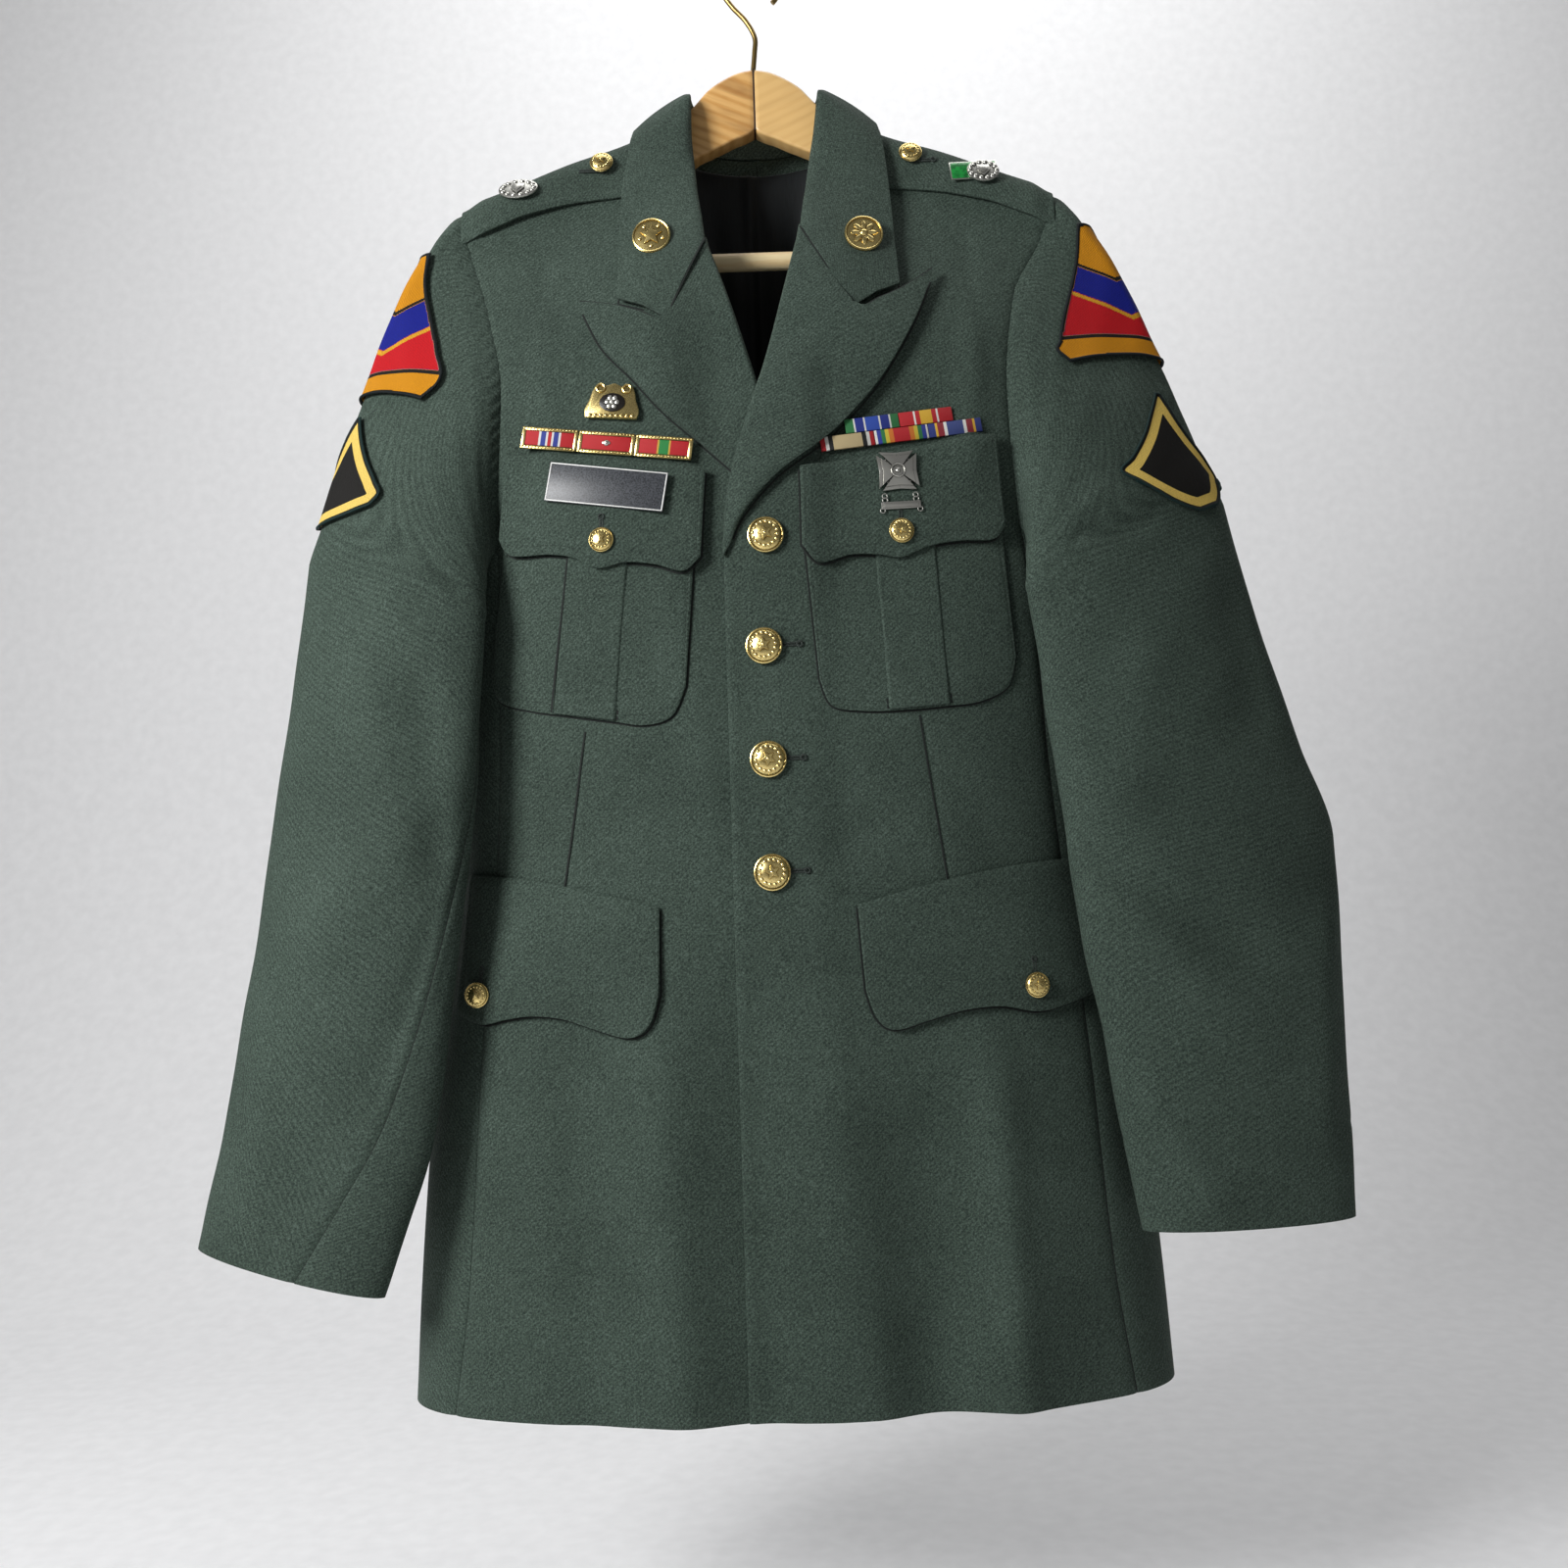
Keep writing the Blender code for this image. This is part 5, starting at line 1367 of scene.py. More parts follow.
@dataclass
class Lapels:
    """The two peaked lapels, rolled back over the fronts."""

    cutter: Cutter
    cloth: float = 0.0022
    lift: float = 0.0026
    opening: float = 0.0046
    pressed_x: float = 0.024
    open_x: float = 0.070
    puff: float = 0.0016
    edge_drop: float = 0.0003
    # The lapel's top edge is carried this far up under the collar.
    tuck: float = 0.0034
    roll_radius: float = 0.0032
    roll_turns: int = 9
    rows: int = 120
    columns: int = 56
    cuts: Sequence[LapelCut] = (
        LapelCut("lapel_left", 1,
                 ((-0.0275, -0.4460), (-0.025, -0.430), (-0.016, -0.386), (-0.003, -0.343),
                  (0.003, -0.325), (0.016, -0.274), (0.0280, -0.2245)),
                 ((-0.0225, -0.4385), (-0.014, -0.422), (0.006, -0.399), (0.032, -0.379),
                  (0.057, -0.355), (0.077, -0.330), (0.098, -0.293), (0.113, -0.2550)),
                 ((0.0280, -0.2245), (0.0425, -0.2555), (0.0585, -0.2860), (0.0765, -0.2790),
                  (0.0930, -0.2700), (0.113, -0.2550))),
        LapelCut("lapel_right", -1,
                 ((-0.0195, -0.4460), (-0.016, -0.430), (-0.007, -0.386), (0.004, -0.343),
                  (0.0085, -0.325), (0.024, -0.268), (0.0350, -0.2315)),
                 ((-0.0135, -0.4350), (-0.004, -0.419), (0.018, -0.394), (0.041, -0.372),
                  (0.064, -0.350), (0.083, -0.327), (0.103, -0.303), (0.117, -0.272)),
                 ((0.0350, -0.2315), (0.047, -0.2605), (0.0605, -0.2892), (0.0765, -0.2838),
                  (0.094, -0.2772), (0.117, -0.272))),
    )

    def top_sag(self, cut: LapelCut, across: Array) -> Array:
        """How far the lapel's top edge leaves the straight line from roll to tip.

        Args:
            cut: the lapel.
            across: shares of the way to the tip.

        Returns:
            Offsets in x and z.
        """
        corners = np.array(cut.top)
        place = across * (len(corners) - 1)
        straight = np.stack([np.interp(place, range(len(corners)), corners[:, i])
                             for i in (0, 1)], -1)
        smooth = Path(cut.top)(across)
        chord = corners[0] + (corners[-1] - corners[0]) * across[..., None]
        near_notch = bell(across - 0.4, 0.08)[..., None]
        return smooth * (1 - near_notch) + straight * near_notch - chord

    def build(self) -> None:
        """Shape both lapels."""
        form, cutter = self.cutter.form, self.cutter
        for cut in self.cuts:
            up, across = net(self.rows, self.columns)
            start, end = Path(cut.roll)(up), Path(cut.outline)(up)
            flat = start + (end - start) * across[..., None]
            flat = flat + self.top_sag(cut, across) * up[..., None] ** 2
            x, z = flat[..., 0], flat[..., 1]
            opening = self.opening * ease(up / 0.4) * (0.35 + 0.65 * across)
            puff = self.puff * np.sin(np.pi * across) * ease(up / 0.3)
            edge = -self.edge_drop * bell(1 - across, 0.05)
            tuck = ease((up - 0.95) / 0.05) * ease((0.46 - across) / 0.06)
            z = z + self.tuck * tuck
            edge = edge - self.edge_drop * tuck
            if cut.sign < 0:
                opening = opening * ease((x - self.pressed_x) / (self.open_x - self.pressed_x))
                puff = puff * ease((x - self.pressed_x) / (self.open_x - self.pressed_x))
                grid = form.point(-x, z, self.lift + opening + puff + edge)
            else:
                grid = form.on_front(x, z, self.lift + opening + puff + edge)
            grid = self.with_roll(grid, x, z, cut.sign)
            uv = np.stack([travel(grid, 1) * cut.sign, travel(grid, 0)], -1)
            made = cutter.piece(f"coat_{cut.name}", grid, self.cloth, "serge_wool", (0, -1, 0), uv,
                                soft_edge=0.0007)
            cutter.dress(made, "wool", cut.name, flat=(0.13, 0.22), area=0.013)

    def with_roll(self, grid: Array, x: Array, z: Array, sign: int) -> Array:
        """Carry the lapel on round the roll line and under the front's edge.

        Args:
            grid: the lapel's points.
            x: their x on the pattern.
            z: their z on the pattern.
            sign: 1 for the left side, -1 for the right.

        Returns:
            The points with the roll before them.
        """
        form = self.cutter.form
        edge = grid[:, 0]
        normal = form.normal(sign * x[:, 0], z[:, 0], Side.FRONT)
        inwards = unit(grid[:, 0] - grid[:, 3])
        inwards = unit(inwards - normal * (inwards * normal).sum(-1, keepdims=True))
        extra = []
        for step in range(self.roll_turns, 0, -1):
            angle = math.pi * step / self.roll_turns
            shrink = ease(np.linspace(0, 1, len(edge)) / 0.12)[:, None]
            radius = self.roll_radius * (0.45 + 0.55 * shrink)
            extra.append(edge + inwards * radius * math.sin(angle)
                         - normal * radius * (1 - math.cos(angle)))
        return np.concatenate([np.stack(extra, 1), grid], 1)


@dataclass
class Collar:
    """Stand and fall in one folded strip, from gorge to gorge round the back of the neck."""

    cutter: Cutter
    cloth: float = 0.0016
    fold_half: float = 0.0030
    fold_depth: float = 0.0032
    stand_reach: Sequence[float] = (0.0100, 0.0060, 0.0024)
    stand_lift: float = 0.0006
    fall_puff: float = 0.0016
    steps: int = 12
    section_points: int = 52
    # The seam, the fold and the outer edge round the neck.
    neck: Sequence[tuple[Point3, ...]] = (
        ((0.0, 0.0272, -0.1312), (0.0, 0.0315, -0.0965), (0.0, 0.0385, -0.1530)),
        ((0.022, 0.0262, -0.1302), (0.020, 0.0302, -0.0968), (0.027, 0.0372, -0.1525)),
        ((0.041, 0.0212, -0.1272), (0.035, 0.0225, -0.0985), (0.053, 0.0310, -0.1500)),
        ((0.053, 0.0100, -0.1206), (0.0425, 0.0100, -0.1005), (0.073, 0.0180, -0.1380)),
        ((0.0570, -0.0040, -0.1180), (0.0445, -0.0050, -0.1010), (0.0815, -0.0070, -0.1265)),
        ((0.0567, -0.0120, -0.1215), (0.0440, -0.0130, -0.1055), (0.0845, -0.0215, -0.1385)),
        ((0.0555, -0.0185, -0.1270), (0.0430, -0.0205, -0.1120), (0.0865, -0.0290, -0.1560)),
    )
    # Fold and outer edge on the chest, as x and z, and the lift.
    left: Sequence[tuple[Point2, Point2, float]] = (
        ((0.0395, -0.1430), (0.0875, -0.1930), 0.0100),
        ((0.0360, -0.1650), (0.0885, -0.2300), 0.0070),
        ((0.0330, -0.1870), (0.0900, -0.2665), 0.0060),
        ((0.0300, -0.2050), (0.0740, -0.2730), 0.0056),
        ((0.0277, -0.2232), (0.0581, -0.2847), 0.0048))
    right: Sequence[tuple[Point2, Point2, float]] = (
        ((0.0430, -0.1430), (0.0895, -0.1850), 0.0100),
        ((0.0415, -0.1650), (0.0910, -0.2260), 0.0070),
        ((0.0395, -0.1900), (0.0915, -0.2710), 0.0060),
        ((0.0370, -0.2090), (0.0750, -0.2775), 0.0056),
        ((0.0348, -0.2303), (0.0602, -0.2878), 0.0048))

    def neck_section(self, station: Sequence[Sequence[float]], sign: int) -> Array:
        """A section round the neck: up the stand, over the fold, down the fall.

        Args:
            station: seam, fold and edge.
            sign: 1 for the left side, -1 for the right.

        Returns:
            The section's points.
        """
        seam, fold, edge = (np.array(p) * (sign, 1, 1) for p in station)
        to_seam, to_edge = unit(seam - fold), unit(edge - fold)
        down = unit(to_seam + to_edge) * self.fold_depth
        apart = unit(to_edge - to_seam)
        inner, outer = fold + down - apart * self.fold_half, fold + down + apart * self.fold_half
        fall = [outer + (edge - outer) * s + apart * self.fall_puff * math.sin(math.pi * s)
                for s in (0.33, 0.67, 1.0)]
        return np.array([seam, (seam + inner) / 2, inner, fold, outer, *fall])

    def front_section(self, station: tuple[Point2, Point2, float], sign: int) -> Array:
        """A section on the chest, where stand and fall lie over the front.

        Args:
            station: fold and edge as x and z, and the lift.
            sign: 1 for the left side, -1 for the right.

        Returns:
            The section's points.
        """
        form = self.cutter.form
        (fold_x, fold_z), (edge_x, edge_z), lift = station
        stand = np.array(self.stand_reach)
        points = [form.point(sign * (fold_x + stand), np.full(3, fold_z), self.stand_lift),
                  form.point(np.array([sign * (fold_x - 0.0006)]), np.array([fold_z]), lift * 0.55)]
        share = np.array([0.08, 0.36, 0.68, 1.0])
        x, z = fold_x + (edge_x - fold_x) * share, fold_z + (edge_z - fold_z) * share
        rise = np.array([0, 0.0010, 0.0010, -0.0004])
        points.append(form.point(sign * x, z, lift + rise))
        return np.concatenate(points)

    def build(self) -> None:
        """Loft the collar through its sections."""
        cutter = self.cutter
        ends = {1: [self.front_section(s, 1) for s in self.left],
                -1: [self.front_section(s, -1) for s in self.right]}
        middle = ([self.neck_section(s, 1) for s in self.neck[::-1]]
                  + [self.neck_section(s, -1) for s in self.neck[1:]])
        corner = 2
        body = np.array(ends[1][corner::-1] + middle + ends[-1][:corner + 1])
        lofted = Path(body.reshape(len(body), -1))(
            np.linspace(0, 1, (len(body) - 1) * self.steps + 1)).reshape(-1, *body.shape[1:])
        tails = {}
        for sign, sections in ends.items():
            tail = np.array(sections[corner:])
            place = np.linspace(0, len(tail) - 1, 2 * self.steps + 1)[1:]
            low = place.astype(int).clip(0, len(tail) - 2)
            share = (place - low)[:, None, None]
            tails[sign] = tail[low] * (1 - share) + tail[low + 1] * share
        sections = np.concatenate([tails[1][::-1], lofted, tails[-1]])
        share = np.linspace(0, 1, self.section_points)
        grid = np.stack([Path(section)(share) for section in sections])
        uv = np.stack([travel(grid, 0), -travel(grid, 1)], -1)
        made = cutter.piece("coat_collar", grid, self.cloth, "serge_wool", (0, -1, 0.6), uv,
                            soft_edge=0.0006)
        cutter.dress(made, "wool", "collar", flat=(0.50, 0.09), area=0.037)


# ---------------------------------------------------------------- pockets and straps

@dataclass(frozen=True)
class PocketCut:
    """A piece laid on the front: its top and bottom lines from -X to +X, and its lift."""

    name: str
    top: Sequence[Point2]
    bottom: Sequence[Point2]
    lift: float
    flat: Point2
    cloth: float = 0.0016
    curl: float = 0.0
    puff: float = 0.0010

    def on_pattern(self, share: Array, down: Array) -> Array:
        """X and z on the front, at shares across and down the piece."""
        fall = down[..., None]
        return Path(self.top)(share) * (1 - fall) + Path(self.bottom)(share) * fall

    def stand_off(self, share: Array, down: Array) -> Array:
        """How far the piece stands off: it is full in the middle and its foot curls out."""
        return (self.lift + self.curl * ease(down) ** 2
                + self.puff * np.sin(np.pi * share) * np.sin(np.pi * np.minimum(down * 0.9, 1)))


@dataclass
class Pockets:
    """Breast pockets with a box pleat, and the scalloped flaps of breast and hips."""

    cutter: Cutter
    columns: int = 90
    rows: int = 60
    # The cut edges sink and round over, and a row of stitches runs beside them.
    edge_round: float = 0.0022
    edge_drop: float = 0.0006
    stitch_in: float = 0.0062
    stitch_width: float = 0.0010
    stitch_depth: float = 0.00035
    pleat_round: float = 0.0016
    pleat_drop: float = 0.0010
    flap_round: float = 0.0024
    flap_drop: float = 0.0012
    cuts: Sequence[PocketCut] = (
        PocketCut("breast_pocket_right", ((-0.166, -0.420), (-0.045, -0.431)),
                  ((-0.178, -0.513), (-0.172, -0.529), (-0.150, -0.537), (-0.125, -0.542),
                   (-0.098, -0.547), (-0.079, -0.550), (-0.062, -0.545), (-0.053, -0.527)),
                  0.0022, (0.125, 0.12)),
        PocketCut("breast_pocket_left", ((0.022, -0.431), (0.147, -0.420)),
                  ((0.029, -0.526), (0.036, -0.542), (0.055, -0.546), (0.080, -0.546),
                   (0.105, -0.544), (0.128, -0.541), (0.147, -0.531), (0.153, -0.512)),
                  0.0022, (0.125, 0.12)),
        PocketCut("pocket_pleat_right", ((-0.124, -0.424), (-0.085, -0.428)),
                  ((-0.136, -0.5395), (-0.097, -0.5465)), 0.0040, (0.04, 0.12)),
        PocketCut("pocket_pleat_left", ((0.065, -0.428), (0.103, -0.424)),
                  ((0.071, -0.5455), (0.109, -0.5425)), 0.0040, (0.04, 0.12)),
        PocketCut("breast_flap_right", ((-0.163, -0.372), (-0.038, -0.390)),
                  ((-0.168, -0.427), (-0.160, -0.438), (-0.136, -0.440), (-0.120, -0.4435),
                   (-0.105, -0.451), (-0.088, -0.4485), (-0.070, -0.451), (-0.053, -0.456),
                   (-0.042, -0.447)), 0.0062, (0.127, 0.07), 0.0024, 0.0010),
        PocketCut("breast_flap_left", ((0.021, -0.393), (0.145, -0.370)),
                  ((0.021, -0.443), (0.031, -0.454), (0.050, -0.449), (0.067, -0.449),
                   (0.082, -0.451), (0.100, -0.444), (0.120, -0.4405), (0.140, -0.439),
                   (0.148, -0.429)), 0.0062, (0.127, 0.07), 0.0024, 0.0010),
        PocketCut("hip_flap_right", ((-0.197, -0.637), (-0.157, -0.642), (-0.115, -0.651),
                                     (-0.073, -0.662)),
                  ((-0.205, -0.724), (-0.187, -0.731), (-0.170, -0.728), (-0.153, -0.726),
                   (-0.133, -0.728), (-0.112, -0.735), (-0.092, -0.740), (-0.080, -0.733),
                   (-0.074, -0.715)), 0.0034, (0.14, 0.08), 0.0022, 0.0012),
        PocketCut("hip_flap_left", ((0.047, -0.664), (0.096, -0.652), (0.146, -0.643),
                                    (0.197, -0.638)),
                  ((0.050, -0.716), (0.056, -0.733), (0.067, -0.740), (0.088, -0.735),
                   (0.110, -0.730), (0.133, -0.729), (0.156, -0.733), (0.180, -0.728),
                   (0.205, -0.720)), 0.0034, (0.16, 0.08), 0.0022, 0.0012),
    )

    def build(self) -> None:
        """Shape every pocket and flap."""
        form, cutter = self.cutter.form, self.cutter
        for cut in self.cuts:
            down, share = net(self.rows, self.columns)
            flat = cut.on_pattern(share, down)
            x, z = flat[..., 0], flat[..., 1]
            width, height = cut.flat
            near = np.minimum(np.minimum(share, 1 - share) * width, (1 - down) * height)
            rounded = -self.edge_drop * bell(near, self.edge_round)
            ridge = -self.stitch_depth * bell(near - self.stitch_in, self.stitch_width)
            lift = cut.stand_off(share, down) + rounded + ridge
            if "pleat" in cut.name:
                edge = np.minimum(share, 1 - share) * width
                lift = cut.lift - self.pleat_drop * bell(edge, self.pleat_round)
            if "flap" in cut.name:
                lift = lift - self.flap_drop * bell(down * height, self.flap_round)
            grid = form.on_front(x, z, lift)
            made = cutter.piece(f"coat_{cut.name}", grid, cut.cloth, "serge_wool", (0, -1, 0),
                                soft_edge=0.0005)
            cutter.dress(made, "wool", *(() if "pleat" in cut.name else (cut.name,)), flat=cut.flat)


@dataclass
class ShoulderStraps:
    """Shoulder straps from under the collar to the sleeve seams, lying over the crest."""

    cutter: Cutter
    cloth: float = 0.0022
    lift: float = 0.0040
    start_x: float = 0.0800
    end_x: float = 0.1990
    edge: Rows = ((0.070, 0.046), (0.087, 0.043), (0.101, 0.039), (0.123, 0.034),
                  (0.143, 0.030), (0.162, 0.027), (0.1995, 0.027))
    columns: int = 60
    edge_round: float = 0.0020
    edge_drop: float = 0.0008
    stitch_in: float = 0.0060
    stitch_width: float = 0.0011
    stitch_depth: float = 0.0004

    def point(self, x: Array, drop: Array, lift: float) -> Array:
        """Points over the shoulder: drop below the crest, to the front or (negative) the back.

        Args:
            x: places across, in metres.
            drop: distances below the crest.
            lift: how far off the cloth.

        Returns:
            The points.
        """
        form = self.cutter.form
        z = form.crest_z(np.abs(x)) - np.abs(drop)
        front = form.point(x, z, lift, Side.FRONT)
        back = form.point(x, z, lift, Side.BACK)
        return np.where((drop >= 0)[..., None], front, back)

    def place(self, x: float, drop: float, gap: float, tilt: float = 0.0) -> Matrix:
        """A place on a strap for its button or badge.

        Args:
            x: where across.
            drop: how far below the crest.
            gap: how far off the strap.
            tilt: turn about the normal.

        Returns:
            The place as a matrix.
        """
        form = self.cutter.form
        spot = np.array(x)
        z = form.crest_z(np.abs(spot)) - drop
        normal = Vector(form.normal(spot, z, Side.FRONT))
        return frame_at(Vector(self.point(spot, np.array(drop), self.lift + gap)), normal, tilt)

    def build(self) -> None:
        """Shape both straps."""
        cutter, front = self.cutter, Curve(self.edge)
        for name, sign in (("shoulder_strap_left", 1), ("shoulder_strap_right", -1)):
            x = np.linspace(self.start_x, self.end_x, self.columns)[:, None]
            crest = np.array([-0.0060, -0.0045, -0.0030, -0.0018, -0.0009, -0.0003, 0.0002, 0.0006,
                              0.0012, 0.0020, 0.0032, 0.0046, 0.0062, 0.0080, 0.0100, 0.0120])
            low = np.linspace(0.014, 1.0, 22)[None, 1:]
            drops = np.concatenate([np.broadcast_to(crest, (self.columns, len(crest))),
                                    0.014 + (front(x) - 0.014) * low], 1)
            x = np.broadcast_to(x, drops.shape)
            near = front(x) - drops
            rounding = -self.edge_drop * bell(near, self.edge_round)
            ridge = -self.stitch_depth * bell(near - self.stitch_in, self.stitch_width)
            wave = 0.0010 * np.sin(46 * x + 0.6) * ease(drops / 0.02)
            sunk = 0.72 * self.lift * ease((x - self.end_x + 0.016) / 0.015)
            grid = self.point(sign * x, drops, self.lift + rounding + ridge + wave - sunk)
            uv = np.stack([drops, x], -1)
            made = cutter.piece(f"coat_{name}", grid, self.cloth, "serge_wool", (0, -0.3, 1), uv,
                                soft_edge=0.0007)
            cutter.dress(made, "wool", name, flat=(0.13, 0.05))


# ---------------------------------------------------------------- sleeves

@dataclass
class Sleeves:
    """Two-piece sleeves set into the armholes."""

    cutter: Cutter
    cloth: float = 0.0016
    cap_rows: int = 70
    arm_rows: int = 120
    top_columns: int = 110
    under_columns: int = 56
    hem_round: float = 0.0020
    hem_drop: float = 0.0008
    hind_seam: float = 0.88
    # The cloth in each top and under sleeve, in square metres.
    areas: ClassVar[dict] = {(1, "top"): 0.150, (1, "under"): 0.070, (-1, "top"): 0.125,
                             (-1, "under"): 0.073}
    # The left cuff was once let down: its old fold is still pressed in.
    cuff_crease: float = 0.062
    crease_width: float = 0.0016
    crease_depth: float = 0.0009
    front_seam: float = 0.58
    gap: float = -0.0004
    tuck: float = -0.0009
    stand: float = 0.0022
    # Middle and half depth of the armhole, front to back.
    hole_y: float = -0.006
    hole_half: float = 0.060
    # How the sleeve head leaves the armhole: outwards, upwards and how strongly, and how it
    # joins the arm; each at the underarm, then its change up to the shoulder.
    head_out: Point2 = (0.55, 0.03)
    head_up: Point2 = (-0.63, 0.30)
    head_pull: Point2 = (0.95, -0.30)
    arm_pull: float = 0.9
    arm_out: float = 0.15
    # Share of the way round the armhole for each turn round the arm.
    loop_share: Rows = ((0.0, 0.0), (0.25, 0.200), (0.50, 0.360), (0.72, 0.490), (0.80, 0.590),
                        (0.88, 0.750), (0.95, 0.900), (1.0, 1.0))
    # Outer edge, inner edge, front swell and back swell of each section down the arm.
    left: Rows = (
        (0.298, -0.034, -0.412, 0.160, -0.084, -0.478, 0.024, 0.014),
        (0.310, -0.036, -0.470, 0.166, -0.082, -0.520, 0.026, 0.017),
        (0.322, -0.039, -0.522, 0.170, -0.079, -0.562, 0.028, 0.020),
        (0.336, -0.041, -0.574, 0.175, -0.079, -0.604, 0.028, 0.020),
        (0.353, -0.043, -0.632, 0.179, -0.079, -0.648, 0.027, 0.020),
        (0.352, -0.046, -0.684, 0.184, -0.078, -0.694, 0.026, 0.019),
        (0.350, -0.050, -0.742, 0.194, -0.077, -0.746, 0.024, 0.018),
        (0.349, -0.053, -0.804, 0.202, -0.076, -0.806, 0.022, 0.017),
        (0.347, -0.056, -0.864, 0.212, -0.075, -0.865, 0.020, 0.016))
    right: Rows = (
        (0.299, -0.034, -0.432, 0.177, -0.084, -0.484, 0.024, 0.014),
        (0.306, -0.037, -0.492, 0.181, -0.082, -0.532, 0.026, 0.017),
        (0.313, -0.039, -0.548, 0.184, -0.079, -0.580, 0.028, 0.020),
        (0.322, -0.042, -0.612, 0.190, -0.079, -0.632, 0.028, 0.020),
        (0.330, -0.045, -0.672, 0.198, -0.079, -0.690, 0.026, 0.020),
        (0.339, -0.049, -0.728, 0.204, -0.078, -0.740, 0.024, 0.019),
        (0.347, -0.052, -0.778, 0.213, -0.077, -0.794, 0.022, 0.018),
        (0.355, -0.055, -0.820, 0.228, -0.076, -0.842, 0.021, 0.017),
        (0.363, -0.058, -0.860, 0.245, -0.074, -0.890, 0.020, 0.016))
    # Creases: arm (1 left, -1 right), share down the arm and turn at both ends, width, height.
    creases: Rows = (
        (1, 0.30, 0.42, 0.62, 0.30, 0.060, 0.0040), (1, 0.42, 0.46, 0.66, 0.22, 0.040, -0.0036),
        (1, 0.52, 0.44, 0.72, 0.26, 0.036, 0.0030), (1, 0.82, 0.40, 0.98, 0.30, 0.030, 0.0022),
        (1, 0.10, 0.12, 0.34, 0.16, 0.045, -0.0024), (1, 0.16, 0.28, 0.40, 0.36, 0.040, 0.0022),
        (1, 0.60, 0.10, 0.90, 0.14, 0.040, 0.0024), (1, -0.28, 0.30, -0.10, 0.22, 0.035, 0.0022),
        (1, -0.18, 0.34, -0.02, 0.24, 0.030, -0.0022),
        (-1, 0.26, 0.40, 0.52, 0.20, 0.050, 0.0036), (-1, 0.46, 0.44, 0.72, 0.30, 0.044, -0.0030),
        (-1, 0.66, 0.14, 0.95, 0.20, 0.040, 0.0024), (-1, 0.10, 0.34, 0.40, 0.40, 0.036, -0.0030),
        (-1, 0.08, 0.24, 0.32, 0.30, 0.040, 0.0030), (-1, -0.26, 0.32, -0.06, 0.20, 0.032, -0.0024),
        (-1, -0.14, 0.36, 0.04, 0.26, 0.030, 0.0024))

    def __post_init__(self) -> None:
        """Turn the tables into curves."""
        self.share_of = Curve(self.loop_share)
        self.cuts = {sign: [Curve([(i, row[c]) for i, row in enumerate(rows)]) for c in range(8)]
                     for sign, rows in ((1, self.left), (-1, self.right))}
        self.count = len(self.left)
        self.loops = {sign: self.armhole(sign) for sign in (1, -1)}

    def section(self, sign: int, place: Array, turn: Array) -> Array:
        """Points round the arm; place counts sections, turn 0 is the outer edge, 0.25 the front.

        Args:
            sign: 1 for the left side, -1 for the right.
            place: sections, counted from the head.
            turn: turns round the arm.

        Returns:
            The points.
        """
        ox, oy, oz, ix, iy, iz, front, back = (curve(place) for curve in self.cuts[sign])
        outer, inner = np.stack([ox, oy, oz], -1), np.stack([ix, iy, iz], -1)
        middle, half = (outer + inner) / 2, (outer - inner) / 2
        along = unit(half)
        depth = np.array([0.0, -1.0, 0.0]) - along * (-along[..., 1:2])
        depth = unit(depth)
        swell = np.sin(2 * np.pi * turn)
        reach = swell * np.where(swell > 0, front, back)
        point = middle + half * np.cos(2 * np.pi * turn)[..., None] + depth * reach[..., None]
        return point * (sign, 1, 1)

    def armhole(self, sign: int) -> tuple[Array, Array]:
        """The armhole as a closed run of points, with the share of each.

        Args:
            sign: 1 for the left side, -1 for the right.

        Returns:
            The points and their shares.
        """
        form, steps = self.cutter.form, 160
        top = float(form.crest_z(form.shoulder_x))
        share = np.arange(steps) / steps
        z = top + (form.underarm_z - top) * share**1.6
        front = form.point(sign * form.arm[sign](z), z, self.tuck)
        down = np.linspace(0, 1, steps + 1)
        low = form.underarm_z - form.underarm_dip * np.sin(np.pi * down)
        start = form.ring_angle(form.arm[sign](low), low)
        end = math.pi - form.ring_angle(form.arm_back(low), low)
        under = form.on_ring(low, start + (end - start) * down, sign)
        away = self.away(sign, under[:, 1])
        under = under + away * self.stand * np.sin(np.pi * down)[:, None]
        back = form.point(sign * form.arm_back(z), z, self.tuck, Side.BACK)[::-1]
        loop = np.concatenate([front, under, back]) + np.array([sign * self.gap, 0, 0])
        length = lengths(loop)
        return loop, length / length[-1]

    def away(self, sign: int, y: Array) -> Array:
        """Level unit vectors out of the armhole, which fan out to the front and the back."""
        across, flat = np.full(y.shape, float(sign)), np.zeros(y.shape)
        return unit(np.stack([across, (y - self.hole_y) / self.hole_half, flat], -1))

